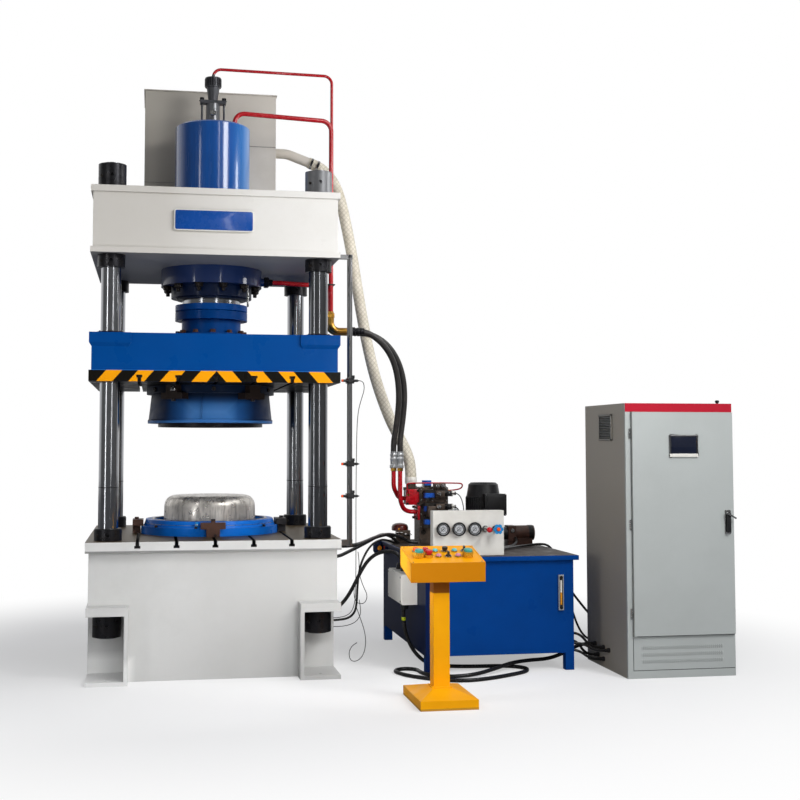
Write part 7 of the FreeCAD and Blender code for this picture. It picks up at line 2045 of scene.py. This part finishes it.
@dataclass
class CabinetDress:
    """Screen bezel, lock, hinges, seal, vents, top knob and plinth of the cabinet."""

    left: float = 2.660
    right: float = 3.412
    front: float = -1.253
    skin: float = -1.275
    top: float = 1.800
    screen_low: tuple[float, float] = (2.958, 1.446)
    screen_high: tuple[float, float] = (3.154, 1.588)
    hinges: tuple[float, float, float] = (0.420, 1.000, 1.600)
    louvres: tuple[float, float, float] = (0.109, 0.153, 0.197)
    vent_low: tuple[float, float] = (-1.018, 1.552)
    vent_high: tuple[float, float] = (-0.780, 1.732)

    def build(self) -> None:
        """Make the door's fittings, then the case's."""
        self.screen()
        self.lock()
        self.case()
        self.vents()

    def screen(self) -> None:
        """Frame the touch screen, with a pale lip below and the glass set in."""
        low, high = self.screen_low, self.screen_high
        outer = block("bezel_blank", (low[0] - 0.002, self.skin - 0.0095, low[1] - 0.002),
                      (high[0] + 0.002, self.skin - 0.0005, high[1] + 0.002), 0.002, 0.003)
        begin()
        outer.select_set(True)
        bpy.context.view_layer.objects.active = outer
        bpy.ops.object.mode_set(mode="EDIT")
        picked(outer, lambda middle, normal: normal.y < -0.99)
        bpy.ops.mesh.inset(thickness=0.009)
        bpy.ops.mesh.inset(thickness=0.0008, depth=-0.0040)
        dressed(closed(outer, "screen_bezel"), POLE_STEEL, "cabinet_door")
        lip = block("screen_lip", (low[0] - 0.002, self.skin - 0.0110, low[1] - 0.002),
                    (high[0] + 0.002, self.skin - 0.0090, low[1] + 0.020), 0.0008, 0.002)
        dressed(lip, PLATE_RIM, "cabinet_door")
        glass = block("screen_glass", (low[0] + 0.010, self.skin - 0.0072, low[1] + 0.010),
                      (high[0] - 0.010, self.skin - 0.0050, high[1] - 0.010), 0.0005)
        dressed(glass, SCREEN, "cabinet_door")

    def lock(self) -> None:
        """Fit the lock plate with its black well, and the slanting lever."""
        plate = block("lock_plate", (3.340, self.skin - 0.0050, 0.932), (3.382, self.skin - 0.0005, 1.092), 0.0015,
                      0.008)
        dressed(plate, PLATED, "cabinet_door")
        well = block("lock_well", (3.347, self.skin - 0.0062, 0.944), (3.375, self.skin - 0.0046, 1.080), 0.0006,
                     0.006)
        dressed(well, BLACK_PLASTIC, "cabinet_door")
        slant = Matrix.Translation((3.372, self.skin - 0.0358, 1.056)) @ Matrix.Rotation(math.radians(29), 4, "Y")
        lever = block("lever_grip", (-0.0410, -0.0050, -0.0055), (0.0390, 0.0050, 0.0055), 0.0025, place=slant)
        dressed(lever, PLATED, "door_handle")
        well = block("lever_inset", (3.3505, self.skin - 0.0310, 0.952), (3.3695, self.skin - 0.0295, 1.036),
                     0.0006, 0.004)
        dressed(well, BLACK_PLASTIC, "door_handle")
        key = turned("lock_key", [(0.0085, 0.0), (0.0085, 0.004), (0.0065, 0.006), (0.0030, 0.006), (0.0028, 0.003)],
                     facing(3.360, self.skin - 0.0060, 0.958), sides=24)
        dressed(key, PLATED, "cabinet_door")

    def case(self) -> None:
        """Make the door's seal and hinges, the gap of the lower panel, the top knob and the plinth's shadow."""
        seal = [((2.6975, self.front - 0.0018, low), (right, self.front + 0.0005, high))
                for right, low, high in ((2.7000, 0.272, 1.742), (3.4080, 0.2700, 0.2745))]
        dressed(blocks("door_seal", seal, 0.0), BLACK_PLASTIC)
        hinge = [turned("hinge_knuckle", [(0.0045, z - 0.035), (0.0055, z - 0.033), (0.0055, z + 0.033),
                                          (0.0045, z + 0.035)], at(2.6870, -1.2582, 0), sides=20)
                 for z in self.hinges]
        dressed(joined("hinge_knuckles", hinge), PLATED)
        lines = [((left, self.front - 0.0007, 0.0500), (right, self.front + 0.0002, high))
                 for left, right, high in ((2.7000, 3.4080, 0.0535), (2.6970, 2.7005, 0.2620))]
        dressed(blocks("lower_panel_gap", lines, 0.0), BLACK_PLASTIC)
        knob = turned("top_knob", [(0.009, 0.0), (0.009, 0.006), (0.014, 0.009), (0.014, 0.018), (0.009, 0.023)],
                      at(3.326, -1.220, self.top), sides=24, smooth=50)
        dressed(knob, BLACK_STEEL)
        plinth = block("plinth_shadow_gap", (self.left + 0.010, self.front + 0.004, 0.0),
                       (self.right - 0.010, self.front + 0.010, 0.030), 0.001)
        dressed(plinth, BLACK_PLASTIC)

    def vents(self) -> None:
        """Bar the lower louvres into fine slots and frame the side vent with its blades."""
        shade = [((2.756, self.front - 0.0004, height + low), (3.316, self.front + 0.0002, height + high))
                 for height in self.louvres for low, high in ((-0.0120, -0.0030), (0.0030, 0.0120))]
        dressed(blocks("sill_slot_shade", shade, 0.0), SLOT_GREY)
        bar = block("louvre_bar", (-0.0052, self.front - 0.0010, -0.0125), (0.0052, self.front + 0.0030, 0.0125),
                    0.0006)
        spots = [Matrix.Translation((2.760 + 0.014 * number, 0, height)) for number in range(41)
                 for height in self.louvres]
        dressed(copied(bar, "sill_louvre_bars", spots), CABINET)
        (front, low), (back, high) = self.vent_low, self.vent_high
        sides = [((self.left - 0.010, near, below), (self.left + 0.0005, far, above)) for near, far, below, above in (
            (front, front + 0.016, low, high), (back - 0.016, back, low, high), (front, back, low, low + 0.014),
            (front, back, high - 0.014, high))]
        dressed(blocks("side_vent_frame", sides), CABINET)
        blade = block("blade", (-0.0045, -0.104, -0.0011), (0.0045, 0.104, 0.0011), 0.0004,
                      place=Matrix.Rotation(math.radians(35), 4, "Y"))
        spots = [Matrix.Translation((self.left - 0.0052, -0.899, 1.574 + 0.0113 * number)) for number in range(13)]
        dressed(copied(blade, "side_vent_blades", spots), SLOT_GREY)


# ---- the whole -------------------------------------------------------------------------------
def paint_nodes(nodes: dict[str, Piece]) -> None:
    """Give every CAD piece that shows its finish.

    Args:
        nodes: The CAD pieces by name.
    """
    for name, finish in NODE_FINISHES.items():
        thing = nodes[name]
        material = finish.build()
        if not thing.material_slots:
            thing.data.materials.append(material)
        for slot in thing.material_slots:
            slot.link = "OBJECT"
            slot.material = material
        LOG.info("finish of %s: %s", name, finish.name)


def main() -> None:
    """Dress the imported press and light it."""
    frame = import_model()
    Studio().build()
    for cord in cords():
        cord.build()
    paint_nodes(frame["nodes"])
    for part in (CrownDress(), ValveDress(), HeaderDress(), SlideDress(), ToolDress(), ColumnDress(), PipeDress(),
                 PoleDress(), ManifoldDress(), MotorDress(), GaugeDress(), TankDress(), DeskDress(),
                 CabinetDress()):
        part.build()


if __name__ == "__main__":
    main()
